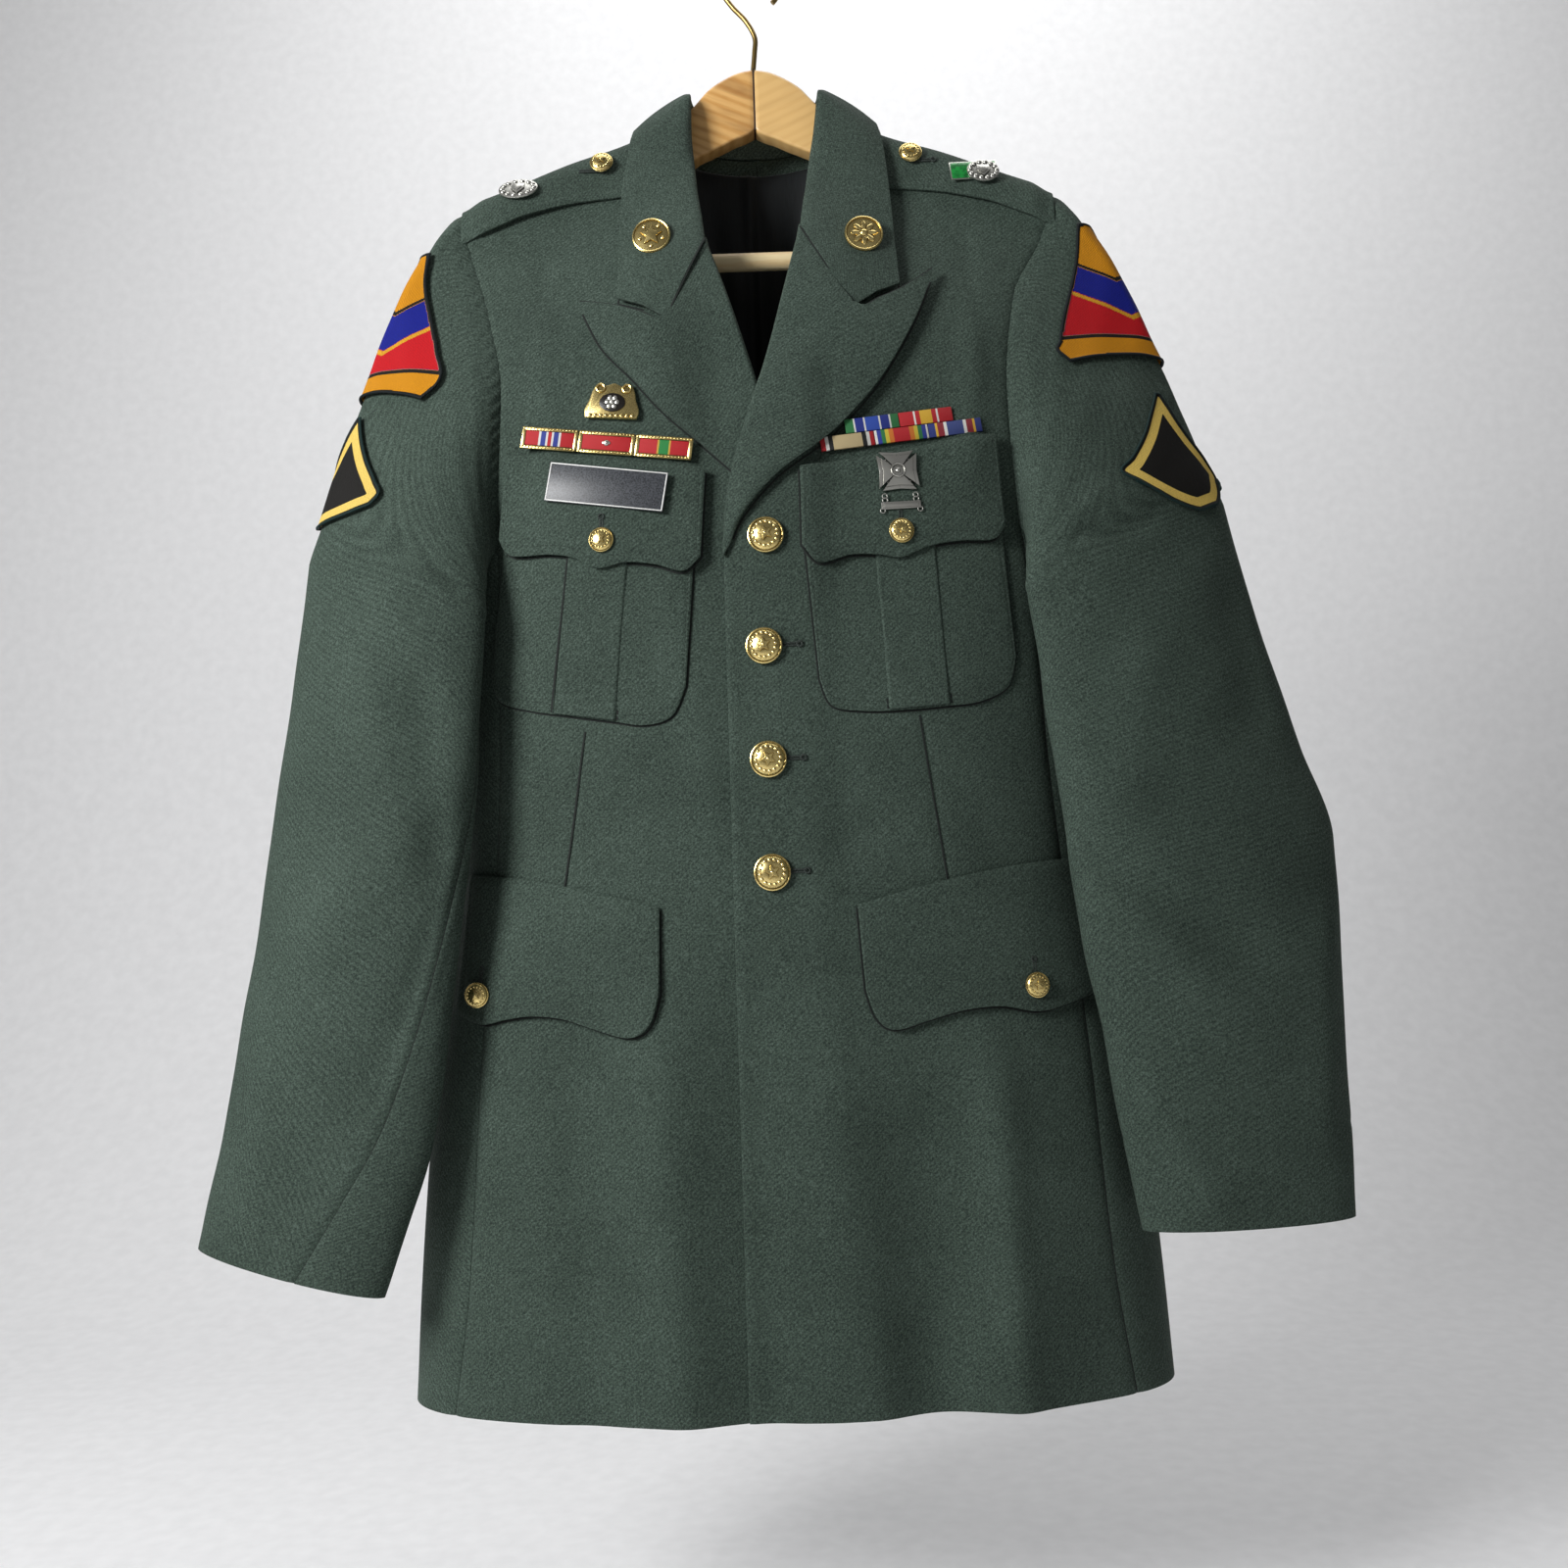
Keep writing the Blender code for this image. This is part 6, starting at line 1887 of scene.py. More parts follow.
    def cap(self, sign: int, down: Array, turn: Array) -> Array:
        """The sleeve's head, swelling out from the armhole and turning down into the arm.

        Args:
            sign: 1 for the left side, -1 for the right.
            down: shares of the head, 0 to 1.
            turn: turns round the arm.

        Returns:
            The points.
        """
        form = self.cutter.form
        loop, shares = self.loops[sign]
        place = self.share_of(turn % 1.0)
        start = np.stack([np.interp(place, shares, loop[:, i]) for i in range(3)], -1)
        end = self.section(sign, np.zeros_like(turn), turn)
        onward = unit(self.section(sign, np.full_like(turn, 0.5), turn) - end)
        reach = np.linalg.norm(end - start, axis=-1, keepdims=True)
        rise = float(form.crest_z(form.shoulder_x)) - form.underarm_z
        high = ease((start[..., 2:3] - form.underarm_z) / rise)
        out, upwards, pull = (low + change * high for low, change in (
            self.head_out, self.head_up, self.head_pull))
        leave = (self.away(sign, start[..., 1]) * out + upwards * (0, 0, 1)) * reach * pull
        arrive = (onward + self.arm_out * high * (sign, 0, 0)) * reach * self.arm_pull
        u = down[..., None]
        return (start * (2 * u**3 - 3 * u**2 + 1) + leave * (u**3 - 2 * u**2 + u)
                + end * (3 * u**2 - 2 * u**3) + arrive * (u**3 - u**2))

    def surface(self, sign: int, down: Array, turn: Array) -> Array:
        """Points of a sleeve: down is 0 to 1 over the head, and 1 to 2 down the arm.

        Args:
            sign: 1 for the left side, -1 for the right.
            down: shares down the sleeve, 0 to 2.
            turn: turns round the arm.

        Returns:
            The points.
        """
        head = self.cap(sign, np.clip(down, 0, 1), turn)
        arm = self.section(sign, np.clip(down - 1, 0, 1) * (self.count - 1), turn)
        return np.where((down <= 1)[..., None], head, arm)

    def seam(self, sign: int, down: Array) -> Array:
        """The front seam stays behind the left sleeve and swings forward on the right one."""
        swing = np.clip((down - 1) * (self.count - 1) / 8, 0, 1) if sign < 0 else 0.0 * down
        return self.front_seam - 0.30 * swing

    def relief(self, sign: int, down: Array, turn: Array) -> Array:
        """Creases at elbow, sleeve head and cuff, and the cloth's small unevenness.

        Args:
            sign: 1 for the left side, -1 for the right.
            down: shares down the sleeve, 0 to 2.
            turn: turns round the arm.

        Returns:
            Lifts in metres.
        """
        wave = (0.0005 * np.sin(2 * np.pi * turn * 3 + 9 * down) * np.sin(11 * down + 1.3)
                + 0.00035 * np.sin(2 * np.pi * turn * 5 - 17 * down) * np.sin(23 * down))
        for arm, from_down, from_turn, to_down, to_turn, width, height in self.creases:
            if arm != sign:
                continue
            crease = Crease((from_down, from_turn), (to_down, to_turn), width, height)
            wave = wave + crease.height_at(down - 1 + 0 * turn, (turn + 0.2) % 1.0 - 0.2)
        head = ease(down / 0.25)
        pucker = 0.0007 * np.sin(2 * np.pi * turn * 46) * bell(down - 0.05, 0.05)
        cuff = ease((2 - down) / 0.06 + 0.3)
        return wave * head * cuff + pucker * ease((0.45 - np.abs(turn - 0.05)) / 0.1)

    def outward(self, sign: int, down: Array, turn: Array) -> Array:
        """Outward normals of a sleeve.

        Args:
            sign: 1 for the left side, -1 for the right.
            down: shares down the sleeve, 0 to 2.
            turn: turns round the arm.

        Returns:
            Unit vectors.
        """
        step = 0.004
        by_turn = self.surface(sign, down, turn + step) - self.surface(sign, down, turn - step)
        by_down = (self.surface(sign, np.minimum(down + step, 2), turn)
                   - self.surface(sign, np.maximum(down - step, 0), turn))
        return unit(np.cross(by_turn, by_down)) * sign

    def build(self) -> None:
        """Shape both sleeves, each a top and an under sleeve."""
        cutter = self.cutter
        head = (np.linspace(0, 1, self.cap_rows) ** 0.85)
        down = np.concatenate([head, np.linspace(1, 2, self.arm_rows)[1:]])[:, None]
        for side, sign in (("left", 1), ("right", -1)):
            for part, columns in (("top", self.top_columns), ("under", self.under_columns)):
                share = np.linspace(0, 1, columns)[None, :]
                seam = self.seam(sign, down)
                start, end = ((self.hind_seam - 1, seam) if part == "top"
                              else (seam, self.hind_seam + 0 * seam))
                rows, turn = np.broadcast_arrays(down, start + (end - start) * share)
                rows, turn = rows.copy(), turn.copy()
                base = self.surface(sign, rows, turn)
                girth = travel(base, 1)
                ends = np.minimum(girth, girth[:, -1:] - girth)
                lift = self.relief(sign, rows, turn) * ease(ends / 0.012)
                lift = lift + cutter.seam_groove(ends)
                cuff = np.linalg.norm(np.gradient(base, axis=0), axis=-1)
                from_hem = cuff[::-1].cumsum(0)[::-1]
                lift = lift - self.hem_drop * bell(from_hem, self.hem_round)
                if sign > 0:
                    pressed = bell(from_hem - self.cuff_crease, self.crease_width)
                    lift = lift - self.crease_depth * pressed
                grid = base + self.outward(sign, rows, turn) * lift[..., None]
                uv = np.stack([girth, -cuff.cumsum(0)], -1)
                made = cutter.piece(f"coat_sleeve_{side}_{part}", grid, self.cloth, "serge_wool",
                                    (sign, -1, 0) if part == "top" else (-sign, 1, 0), uv)
                solids = ("top_upper", "top_fore") if part == "top" else ("under",)
                cutter.dress(made, "wool", *(f"sleeve_{side}_{solid}" for solid in solids),
                             flat=(0.24, 0.66) if part == "top" else (0.15, 0.50),
                             area=self.areas[sign, part])


@dataclass(frozen=True)
class BadgeCut:
    """A badge sewn round a sleeve head: rows of height, first turn and last turn.

    Its foot falls by tilt from the first turn to the last, and rises by bow in the middle.
    """

    name: str
    sign: int
    tilt: float
    bow: float
    rows: Rows
    flat: Point2
    area: float


class Motif(Enum):
    """What is embroidered on a sleeve badge."""

    SHIELD = "shield"
    CHEVRON = "chevron"


@dataclass
class SleeveBadges:
    """A triangular unit patch and a rank chevron on each sleeve."""

    cutter: Cutter
    sleeves: Sleeves
    lift: float = 0.0026
    cloth: float = 0.0014
    steps: int = 140
    # How far in from the edge the chevron's colours are read, in metres.
    inset_span: float = 0.020
    # The overlocked edge: how far in its ridge lies, how wide it is and how high.
    merrow_in: float = 0.0011
    merrow_width: float = 0.0011
    merrow_lift: float = 0.0009
    cuts: Sequence[tuple[BadgeCut, Motif]] = (
        (BadgeCut("shoulder_patch_left", 1, 0.0, 0.010, (
            (-0.2174, 0.008, 0.030), (-0.2409, -0.018, 0.067), (-0.2715, -0.050, 0.120),
            (-0.3077, -0.085, 0.187), (-0.3160, -0.093, 0.203), (-0.3235, -0.088, 0.198)),
                  (0.11, 0.11), 0.0100), Motif.SHIELD),
        (BadgeCut("shoulder_patch_right", -1, 0.0, 0.012, (
            (-0.2235, 0.005, 0.030), (-0.2400, -0.012, 0.048), (-0.2733, -0.048, 0.107),
            (-0.2981, -0.075, 0.153), (-0.3220, -0.098, 0.192), (-0.3330, -0.090, 0.182)),
                  (0.11, 0.11), 0.0100), Motif.SHIELD),
        (BadgeCut("rank_patch_left", 1, 0.008, -0.018, (
            (-0.3404, 0.094, 0.106), (-0.3560, 0.092, 0.142), (-0.3697, 0.083, 0.173),
            (-0.3870, 0.060, 0.217), (-0.3975, 0.041, 0.246), (-0.4048, 0.060, 0.228)),
                  (0.085, 0.08), 0.0036), Motif.CHEVRON),
        (BadgeCut("rank_patch_right", -1, 0.0, -0.006, (
            (-0.3362, 0.055, 0.067), (-0.3530, 0.030, 0.107), (-0.3697, 0.000, 0.147),
            (-0.3860, -0.035, 0.187), (-0.3970, -0.060, 0.208), (-0.4040, -0.050, 0.200)),
                  (0.085, 0.08), 0.0036), Motif.CHEVRON))

    def reach_down(self, sign: int, height: Array, turn: Array) -> Array:
        """How far down the sleeve head each height is reached.

        Args:
            sign: 1 for the left sleeve, -1 for the right.
            height: heights to find.
            turn: the turn round the arm at each.

        Returns:
            Shares of the sleeve head, from 0 to 1.
        """
        above, below = np.zeros_like(height), np.ones_like(height)
        for _ in range(18):
            middle = (above + below) / 2
            high = self.sleeves.cap(sign, middle, turn)[..., 2] > height
            above, below = np.where(high, middle, above), np.where(high, below, middle)
        return above

    def bands(self, motif: Motif, across: Array, down: Array, inset: Array) -> Array:
        """Which coloured band each point of a badge belongs to.

        Args:
            motif: what is embroidered.
            across: from -1 to 1 over the badge's foot, as seen from in front of it.
            down: from 0 at the top to 1 at the foot.
            inset: distance from the edge, in metres.

        Returns:
            Places along the badge's colours, from 0 to 1.
        """
        if motif is Motif.CHEVRON:
            return np.clip(inset / self.inset_span, 0, 0.999)
        roof = down + 0.22 * np.abs(across)
        field = np.where(roof > 0.68, 0.75, np.where(roof > 0.40, 0.55, 0.35))
        field = np.where(np.abs(roof - 0.40) < 0.014, 0.15, field)
        field = np.where(np.abs(roof - 0.68) < 0.018, 0.95, field)
        field = np.where(down > 0.84, 0.35, field)
        field = np.where(np.abs(down - 0.84) < 0.014, 0.15, field)
        return np.where(inset < 0.0024, 0.05, field)

    def distance(self, points: Array, edge: Array) -> Array:
        """Distance of each point from the nearest point of the badge's edge.

        Args:
            points: the badge's points.
            edge: points round its edge.

        Returns:
            Distances in metres.
        """
        nearest = np.full(len(points), 1.0)
        for start in range(0, len(edge), 60):
            gap = np.linalg.norm(points[:, None] - edge[None, start:start + 60], axis=-1)
            nearest = np.minimum(nearest, gap.min(1))
        return nearest

    def build(self) -> None:
        """Shape and embroider the four badges."""
        cutter = self.cutter
        cutter.finishes.add(Embroidery("shield_threads", (
            (0.0, "10181a"), (0.10, "14120f"), (0.25, "d8900c"), (0.45, "0c1a8c"),
            (0.65, "cc101c"), (0.85, "e0a428"))))
        cutter.finishes.add(Embroidery("chevron_threads", (
            (0.0, "16302e"), (0.07, "0d1112"), (0.155, "f4d26c"), (0.46, "14120f"))))
        for cut, motif in self.cuts:
            top, bottom = cut.rows[0][0], cut.rows[-1][0]
            level, share = net(self.steps, self.steps)
            height = top + (bottom - top) * level
            first, last = Curve(cut.rows, 1)(height), Curve(cut.rows, 2)(height)
            turn = first + (last - first) * share
            shift = cut.tilt * (0.5 - share) + cut.bow * (1 - (2 * share - 1) ** 2)
            down = self.reach_down(cut.sign, height + shift * level**2, turn)
            base = self.sleeves.surface(cut.sign, down, turn)
            relief = self.sleeves.relief(cut.sign, down, turn)
            normal = self.sleeves.outward(cut.sign, down, turn)
            edge = np.concatenate([base[0], base[:, -1], base[-1][::-1], base[:, 0][::-1]])
            inset = self.distance(base.reshape(-1, 3), edge).reshape(turn.shape)
            merrow = self.merrow_lift * bell(inset - self.merrow_in, self.merrow_width)
            middle = base[:, self.steps // 2][:, None]
            reach = np.linalg.norm(base - middle, axis=-1) * np.sign(0.5 - share) * cut.sign
            half = np.linalg.norm(base[-1, -1] - base[-1, 0]) / 2
            grid = base + normal * (self.lift + relief + merrow)[..., None]
            uv = np.stack([reach, level * (top - bottom)], -1)
            threads = "shield_threads" if motif is Motif.SHIELD else "chevron_threads"
            made = cutter.piece(f"coat_{cut.name}", grid, 0.0, threads, (cut.sign, -0.6, 0), uv)
            values = self.bands(motif, reach / half, level, inset).reshape(-1)
            layer = made.data.attributes.new("band", "FLOAT", "POINT")
            layer.data.foreach_set("value", values.astype(np.float32))
            solid = made.modifiers.new("Thickness", "SOLIDIFY")
            solid.thickness, solid.offset = self.cloth, -1.0
            Bench.apply(made)
            cutter.dress(made, "patch", cut.name, flat=cut.flat, area=cut.area)


# ---------------------------------------------------------------- buttons

@dataclass
class Buttons:
    """Domed gilt buttons with a struck wreath and star, and their worked buttonholes."""

    cutter: Cutter
    straps: ShoulderStraps
    front: float = 0.0229
    small: float = 0.0159
    strap_x: float = 0.1045
    strap_drop: float = 0.0120
    # The front buttons, from the top: x, z and turn.
    front_lift: float = 0.0006
    front_row: Rows = ((-0.001, -0.435, 0.3), (-0.004, -0.504, 0.1), (-0.004, -0.574, 0.5),
                       (-0.004, -0.643, 0.2))
    # The pocket buttons: x, z, lift and how level they look.
    pocket_turn: float = 0.2
    pocket_row: Sequence[tuple[str, float, float, float, float]] = (
        ("breast_button_right", -0.102, -0.434, 0.0076, 0.0),
        ("breast_button_left", 0.082, -0.435, 0.0076, 0.0),
        ("hip_button_right", -0.186, -0.713, 0.0074, 0.75),
        ("hip_button_left", 0.154, -0.717, 0.0050, 0.3))
    # The upright buttonholes of the pockets: x, z and lift.
    hole_row: Sequence[tuple[str, float, float, float]] = (
        ("breast_right", -0.102, -0.427, 0.0073), ("breast_left", 0.082, -0.428, 0.0073),
        ("hip_right", -0.1855, -0.705, 0.0042), ("hip_left", 0.1535, -0.709, 0.0042))
    front_hole: float = 0.026
    small_hole: float = 0.016

    def model(self, diameter: float) -> Thing:
        """One button: back disc, rolled rim, dome, and a raised star inside a wreath.

        Args:
            diameter: the button's diameter.

        Returns:
            The button, looking up.
        """
        radius, top = diameter / 2, 0.075 * diameter
        dome = Bench.ball(radius * 0.90, (0, 0, top), 0.46, 40)
        back = Bench.disc(radius * 0.86, 0.08 * diameter, 40)
        rim = Bench.ring(radius * 0.92, radius * 0.075, (0, 0, 0.085 * diameter), 44)
        wreath = Bench.beads(around(16, radius * 0.66), top + radius * 0.285, radius * 0.105,
                             0.7, 8)
        raised = Bench.plate(star(radius * 0.44, radius * 0.19), radius * 0.16, radius * 0.035)
        raised = Bench.move(raised, z=top + radius * 0.33)
        centre = Bench.ball(radius * 0.10, (0, 0, top + radius * 0.47), 0.7, 8)
        made = Bench.join("button", dome, back, rim, raised, centre, *wreath)
        return self.cutter.coat(made, "gold_plate", 32)

    def build(self) -> None:
        """Sew on the front, pocket and strap buttons."""
        form, cutter = self.cutter.form, self.cutter
        large, small = self.model(self.front), self.model(self.small)
        spots = [(f"front_button_{i + 1}", large, form.place(x, z, self.front_lift, turn))
                 for i, (x, z, turn) in enumerate(self.front_row)]
        spots += [(name, small, form.place(x, z, lift, self.pocket_turn, level))
                  for name, x, z, lift, level in self.pocket_row]
        spots += [(f"strap_button_{side}", small,
                   self.straps.place(sign * self.strap_x, self.strap_drop, 0.0010))
                  for side, sign in (("left", 1), ("right", -1))]
        for name, source, place in spots:
            made = Bench.settle(Bench.copy(source, f"gilt_{name}"), place)
            cutter.dress(made, "brass", name)
        for source in (large, small):
            bpy.data.objects.remove(source, do_unlink=True)
        self.holes()

    def hole(self, name: str, place: Matrix, length: float) -> None:
        """A worked buttonhole: a slit between two rows of close stitches, with a keyhole eye.

        Args:
            name: the piece's name.
            place: where it is sewn.
            length: how long it is.
        """
        parts = [Bench.move(Bench.plate(box(length, 0.0012), 0.0007, 0.0003), y=y)
                 for y in (-0.0008, 0.0008)]
        parts.append(Bench.ring(0.0016, 0.0006, (length / 2, 0, 0.0004), 16))
        made = self.cutter.coat(Bench.join(name, *parts), "buttonhole_gimp")
        Bench.settle(made, place)
        self.cutter.dress(made, "wool")

    def holes(self) -> None:
        """Buttonholes beside the front buttons, above the pocket buttons and on the straps."""
        form = self.cutter.form
        for i, (_, z, _) in enumerate(self.front_row[1:]):
            self.hole(f"buttonhole_front_{i + 2}", form.place(0.0045, z + 0.0005, 0.0001),
                      self.front_hole)
        for name, x, z, lift in self.hole_row:
            self.hole(f"buttonhole_{name}", form.place(x, z, lift, math.pi / 2),
                      self.small_hole)
        for side, sign in (("left", 1), ("right", -1)):
            place = self.straps.place(sign * (self.strap_x + 0.0075), self.strap_drop + 0.0020,
                                      0.0002)
            self.hole(f"buttonhole_strap_{side}", place, self.small_hole)


# ---------------------------------------------------------------- insignia

@dataclass
class Insignia:
    """Collar discs, nameplate, award bars, ribbon rows and metal badges, all generic."""

    cutter: Cutter
    straps: ShoulderStraps
    disc_diameter: float = 0.0254
    nameplate: Point2 = (0.0762, 0.0254)
    award: Point2 = (0.0365, 0.0143)
    ribbon: Point2 = (0.0349, 0.0095)
    seam: float = 0.0004
    cross_half: float = 0.0128
    plate_border: float = 0.0007
    beads_long: int = 17
    # Where each is pinned on the front: x, z, lift, tilt in degrees, and how level it looks.
    spots: ClassVar[dict[str, tuple[float, ...]]] = {
        "collar_disc_right": (-0.068, -0.228, 0.0092, 0.0, 0.6),
        "collar_disc_left": (0.067, -0.232, 0.0092, 0.0, 0.6),
        "nameplate": (-0.0985, -0.4005, 0.0076, -9.5, 0.0),
        "award_ribbons": (-0.0995, -0.3695, 0.0010, -8.0, 0.0),
        "ribbon_rack": (0.086, -0.3705, 0.0010, 7.5, 0.0),
        "unit_badge": (-0.0950, -0.3425, 0.0010, -6.0, 0.0),
        "marksman_cross": (0.0815, -0.397, 0.0076, 3.0, 0.0),
        "marksman_bar": (0.0825, -0.4190, 0.0076, 3.0, 0.0)}

    def build(self) -> None:
        """Pin everything on."""
        self.discs()
        self.plate()
        self.awards()
        self.rows()
        self.badge()
        self.cross()
        self.pins()

    def pin(self, made: Thing, node: str, slot: str) -> None:
        """Pin a piece on the front in its place, where it stands for a solid.

        Args:
            made: the piece, looking up.
            node: the solid, whose name is also the place's.
            slot: a material slot's name, handed on to dress.
        """
        x, z, lift, tilt, level = self.spots[node]
        Bench.settle(made, self.cutter.form.place(x, z, lift, math.radians(tilt), level))
        self.cutter.dress(made, slot, node)

    def discs(self) -> None:
        """Collar discs: a bright plate with a raised star on one and a rosette on the other."""
        radius = self.disc_diameter / 2
        for name in ("collar_disc_right", "collar_disc_left"):
            parts = [Bench.disc(radius, 0.0014, 56, 0.0005),
                     Bench.ring(radius * 0.93, 0.00055, (0, 0, 0.0015), 56)]
            if name.endswith("right"):
                raised = Bench.plate(star(radius * 0.62, radius * 0.27), 0.0016, 0.0005)
                parts.append(Bench.move(raised, z=0.0009))
                parts += Bench.beads(around(5, radius * 0.62, start=0.7 * math.pi), 0.0016,
                                     radius * 0.09, 0.6, 10)
            else:
                for i in range(8):
                    petal = Bench.ball(radius * 0.19, (0, 0, 0), 0.45, 12)
                    parts.append(Bench.settle(petal, Matrix.Rotation(i * math.pi / 4, 4, "Z")
                                              @ Matrix.Translation((radius * 0.42, 0, 0.0016))
                                              @ Matrix.Diagonal((1.5, 0.75, 1, 1))))
                parts.append(Bench.ball(radius * 0.20, (0, 0, 0.0018), 0.6, 14))
            made = self.cutter.coat(Bench.join(f"gilt_{name}", *parts), "gold_plate", 32)
            self.pin(made, name, "brass")

    def plate(self) -> None:
        """The nameplate, left bare: black with a thin white border."""
        width, height = self.nameplate
        coat = self.cutter.coat
        inset = line = self.plate_border
        body = coat(Bench.plate(box(width, height), 0.0014, 0.0003), "plate_black")
        sides = self.border((width - 2 * inset, line), (line, height - 2 * inset + line),
                            (width / 2 - inset, height / 2 - inset), 0.0002, 0.00005, 0.0013)
        frame = coat(Bench.join("border", *sides), "plate_white")
        self.pin(Bench.join("bare_nameplate", body, frame), "nameplate", "plate")

    def border(self, level: Point2, upright: Point2, away: Point2, depth: float, bevel: float,
               rise: float = 0.0) -> list[Thing]:
        """Four bars round a plate.

        Args:
            level: width and height of the top and bottom bars.
            upright: width and height of the side bars.
            away: how far the side bars and the level bars lie from the middle.
            depth: their depth.
            bevel: how far their edges are rounded over.
            rise: the level that they stand on.

        Returns:
            Top, bottom and side bars.
        """
        spots = ((0, away[1], level), (0, -away[1], level), (away[0], 0, upright),
                 (-away[0], 0, upright))
        return [Bench.move(Bench.plate(box(*size), depth, bevel), x, y, rise)
                for x, y, size in spots]

    def strip(self, width: float, height: float, depth: float, finish: WovenRibbon) -> Thing:
        """A ribbon on its bar, with stripes read across from 0 to 1.

        Args:
            width: its width.
            height: its height.
            depth: its depth.
            finish: its ribbon.

        Returns:
            The bar.
        """
        made = Bench.plate(box(width, height), depth, min(0.0004, depth * 0.4))
        layer = made.data.uv_layers.new(name="cloth")
        for loop in made.data.loops:
            x, y, _ = made.data.vertices[loop.vertex_index].co
            layer.data[loop.index].uv = (min(max(x / width + 0.5, 0.0), 0.9999), y / height + 0.5)
        return Bench.paint(made, self.cutter.finishes.add(finish))

    def awards(self) -> None:
        """Three ribbons in gilt beaded frames."""
        width, height = self.award
        red = "c3161f"
        stripes = (
            ((6, red), (1.0, "e8e8e4"), (2.2, "2a3c9a"), (1.0, "e8e8e4"), (1.6, red),
             (1.0, "e8e8e4"), (2.2, "2a3c9a"), (1.0, "e8e8e4"), (6, red)),
            ((1, red),),
            ((8, red), (0.8, "d8ac3c"), (4.4, "1f8a3e"), (0.8, "d8ac3c"), (8, red)))
        framed = []
        for i, colours in enumerate(stripes):
            cloth = self.strip(width * 0.86, height * 0.66, 0.0014,
                               WovenRibbon(f"award_silk_{i + 1}", colours))
            parts = self.border((width, height * 0.16), (width * 0.07, height),
                                (width * 0.465, height * 0.42), 0.0016, 0.0005)
            spots = [(x, side * height * 0.42) for side in (-1, 1)
                     for x in np.linspace(-0.465 * width, 0.465 * width, self.beads_long)]
            parts += Bench.beads(spots, 0.0016, 0.00075, 0.7, 6)
            frame = self.cutter.coat(Bench.join("frame", *parts), "gold_plate")
            things = [frame, cloth]
            if i == 1:
                stud = Bench.join("stud", Bench.ball(0.0019, (0, 0, 0.0016), 0.5, 14),
                                  Bench.ball(0.0011, (0.0017, 0, 0.0016), 0.5, 10),
                                  Bench.ball(0.0011, (-0.0017, 0, 0.0016), 0.5, 10))
                things.append(self.cutter.coat(stud, "oxidised_silver"))
            framed.append(Bench.move(Bench.join(f"framed_award_{i + 1}", *things),
                                     (i - 1) * (width + self.seam)))
        self.pin(Bench.join("framed_awards", *framed), "award_ribbons", "ribbon")

    def rows(self) -> None:
        """The two rows of service ribbons."""
        width, height = self.ribbon
        white, red, yellow, blue, green = "ecebe4", "bf1d26", "e3b436", "23348f", "2f7d45"
        rainbow = ((0.7, white), (1.3, "2b3c9c"), (1.2, green), (1.2, "d9c23e"), (1.4, "d97a28"),
                   (5.0, red), (1.4, "d97a28"), (1.2, "d9c23e"), (1.2, green), (1.3, "2b3c9c"),
                   (0.7, white))
        upper = (((3.0, green), (0.6, white), (3.2, blue), (0.6, white), (5.0, "3154b8"),
                  (0.6, white), (3.2, blue), (0.6, white), (3.0, green)),
                 ((5.0, red), (0.6, white), (1.6, red), (4.2, yellow), (1.6, red), (0.6, white),
                  (5.0, red)))
        lower = (((1.4, red), (1.0, white), (1.4, "1b1b1b"), (9.0, "cdb98c"), (1.4, "1b1b1b"),
                  (1.0, white), (1.4, red)), rainbow,
                 ((2.2, "27357e"), (0.8, yellow), (2.2, "8f2430"), (1.0, white), (5.6, "3b4a86"),
                  (1.0, white), (2.2, "8f2430"), (0.8, yellow), (2.2, "27357e")))
        things = []
        for name, sets, rise in (("upper_row", upper, height), ("lower_row", lower, 0.0)):
            for i, colours in enumerate(sets):
                bar = self.strip(width - 0.0004, height - 0.0004, 0.0018,
                                 WovenRibbon(f"{name}_silk_{i + 1}", colours))
                x = (i - (len(sets) - 1) / 2) * width
                things.append(Bench.move(bar, x, rise))
        self.pin(Bench.join("ribbon_rack", *things), "ribbon_rack", "ribbon")

    def badge(self) -> None:
        """A gilt breast badge: a bell-shaped plate with a dark oval and a silver rosette."""
        coat = self.cutter.coat
        outline = Path(((-0.0165, -0.0115), (-0.0175, -0.006), (-0.0150, 0.001), (-0.0135, 0.007),
                        (-0.0105, 0.0118), (-0.005, 0.0105), (0.0, 0.0122), (0.005, 0.0105),
                        (0.0105, 0.0118), (0.0135, 0.007), (0.0150, 0.001), (0.0175, -0.006),
                        (0.0165, -0.0115)))(np.linspace(0, 1, 60))
        plate = Bench.plate([tuple(p) for p in outline[::-1]], 0.0024, 0.0008)
        scrolls = [Bench.ring(0.0026, 0.0007, (side * 0.0085, 0.0086, 0.0026), 18)
                   for side in (-1, 1)]
        scrolls += Bench.beads([(x, -0.0098) for x in np.linspace(-0.0135, 0.0135, 9)], 0.0024,
                               0.0014, 0.7, 10)
        gold = coat(Bench.join("gold", plate, *scrolls), "gold_plate")
        stretch = Matrix.Translation((0, -0.001, 0.0022)) @ Matrix.Diagonal((1.35, 1, 1, 1))
        oval = Bench.settle(Bench.disc(0.0062, 0.0008, 30), stretch)
        oval = coat(oval, "dark_enamel")
        petals = Bench.beads([(x, y - 0.001) for x, y in around(6, 0.0031)], 0.0031, 0.0017,
                             0.5, 10)
        petals.append(Bench.ball(0.0019, (0, -0.001, 0.0034), 0.6, 12))
        rosette = coat(Bench.join("rosette", *petals), "oxidised_silver")
        self.pin(Bench.join("gilt_unit_badge", gold, oval, rosette), "unit_badge", "brass")

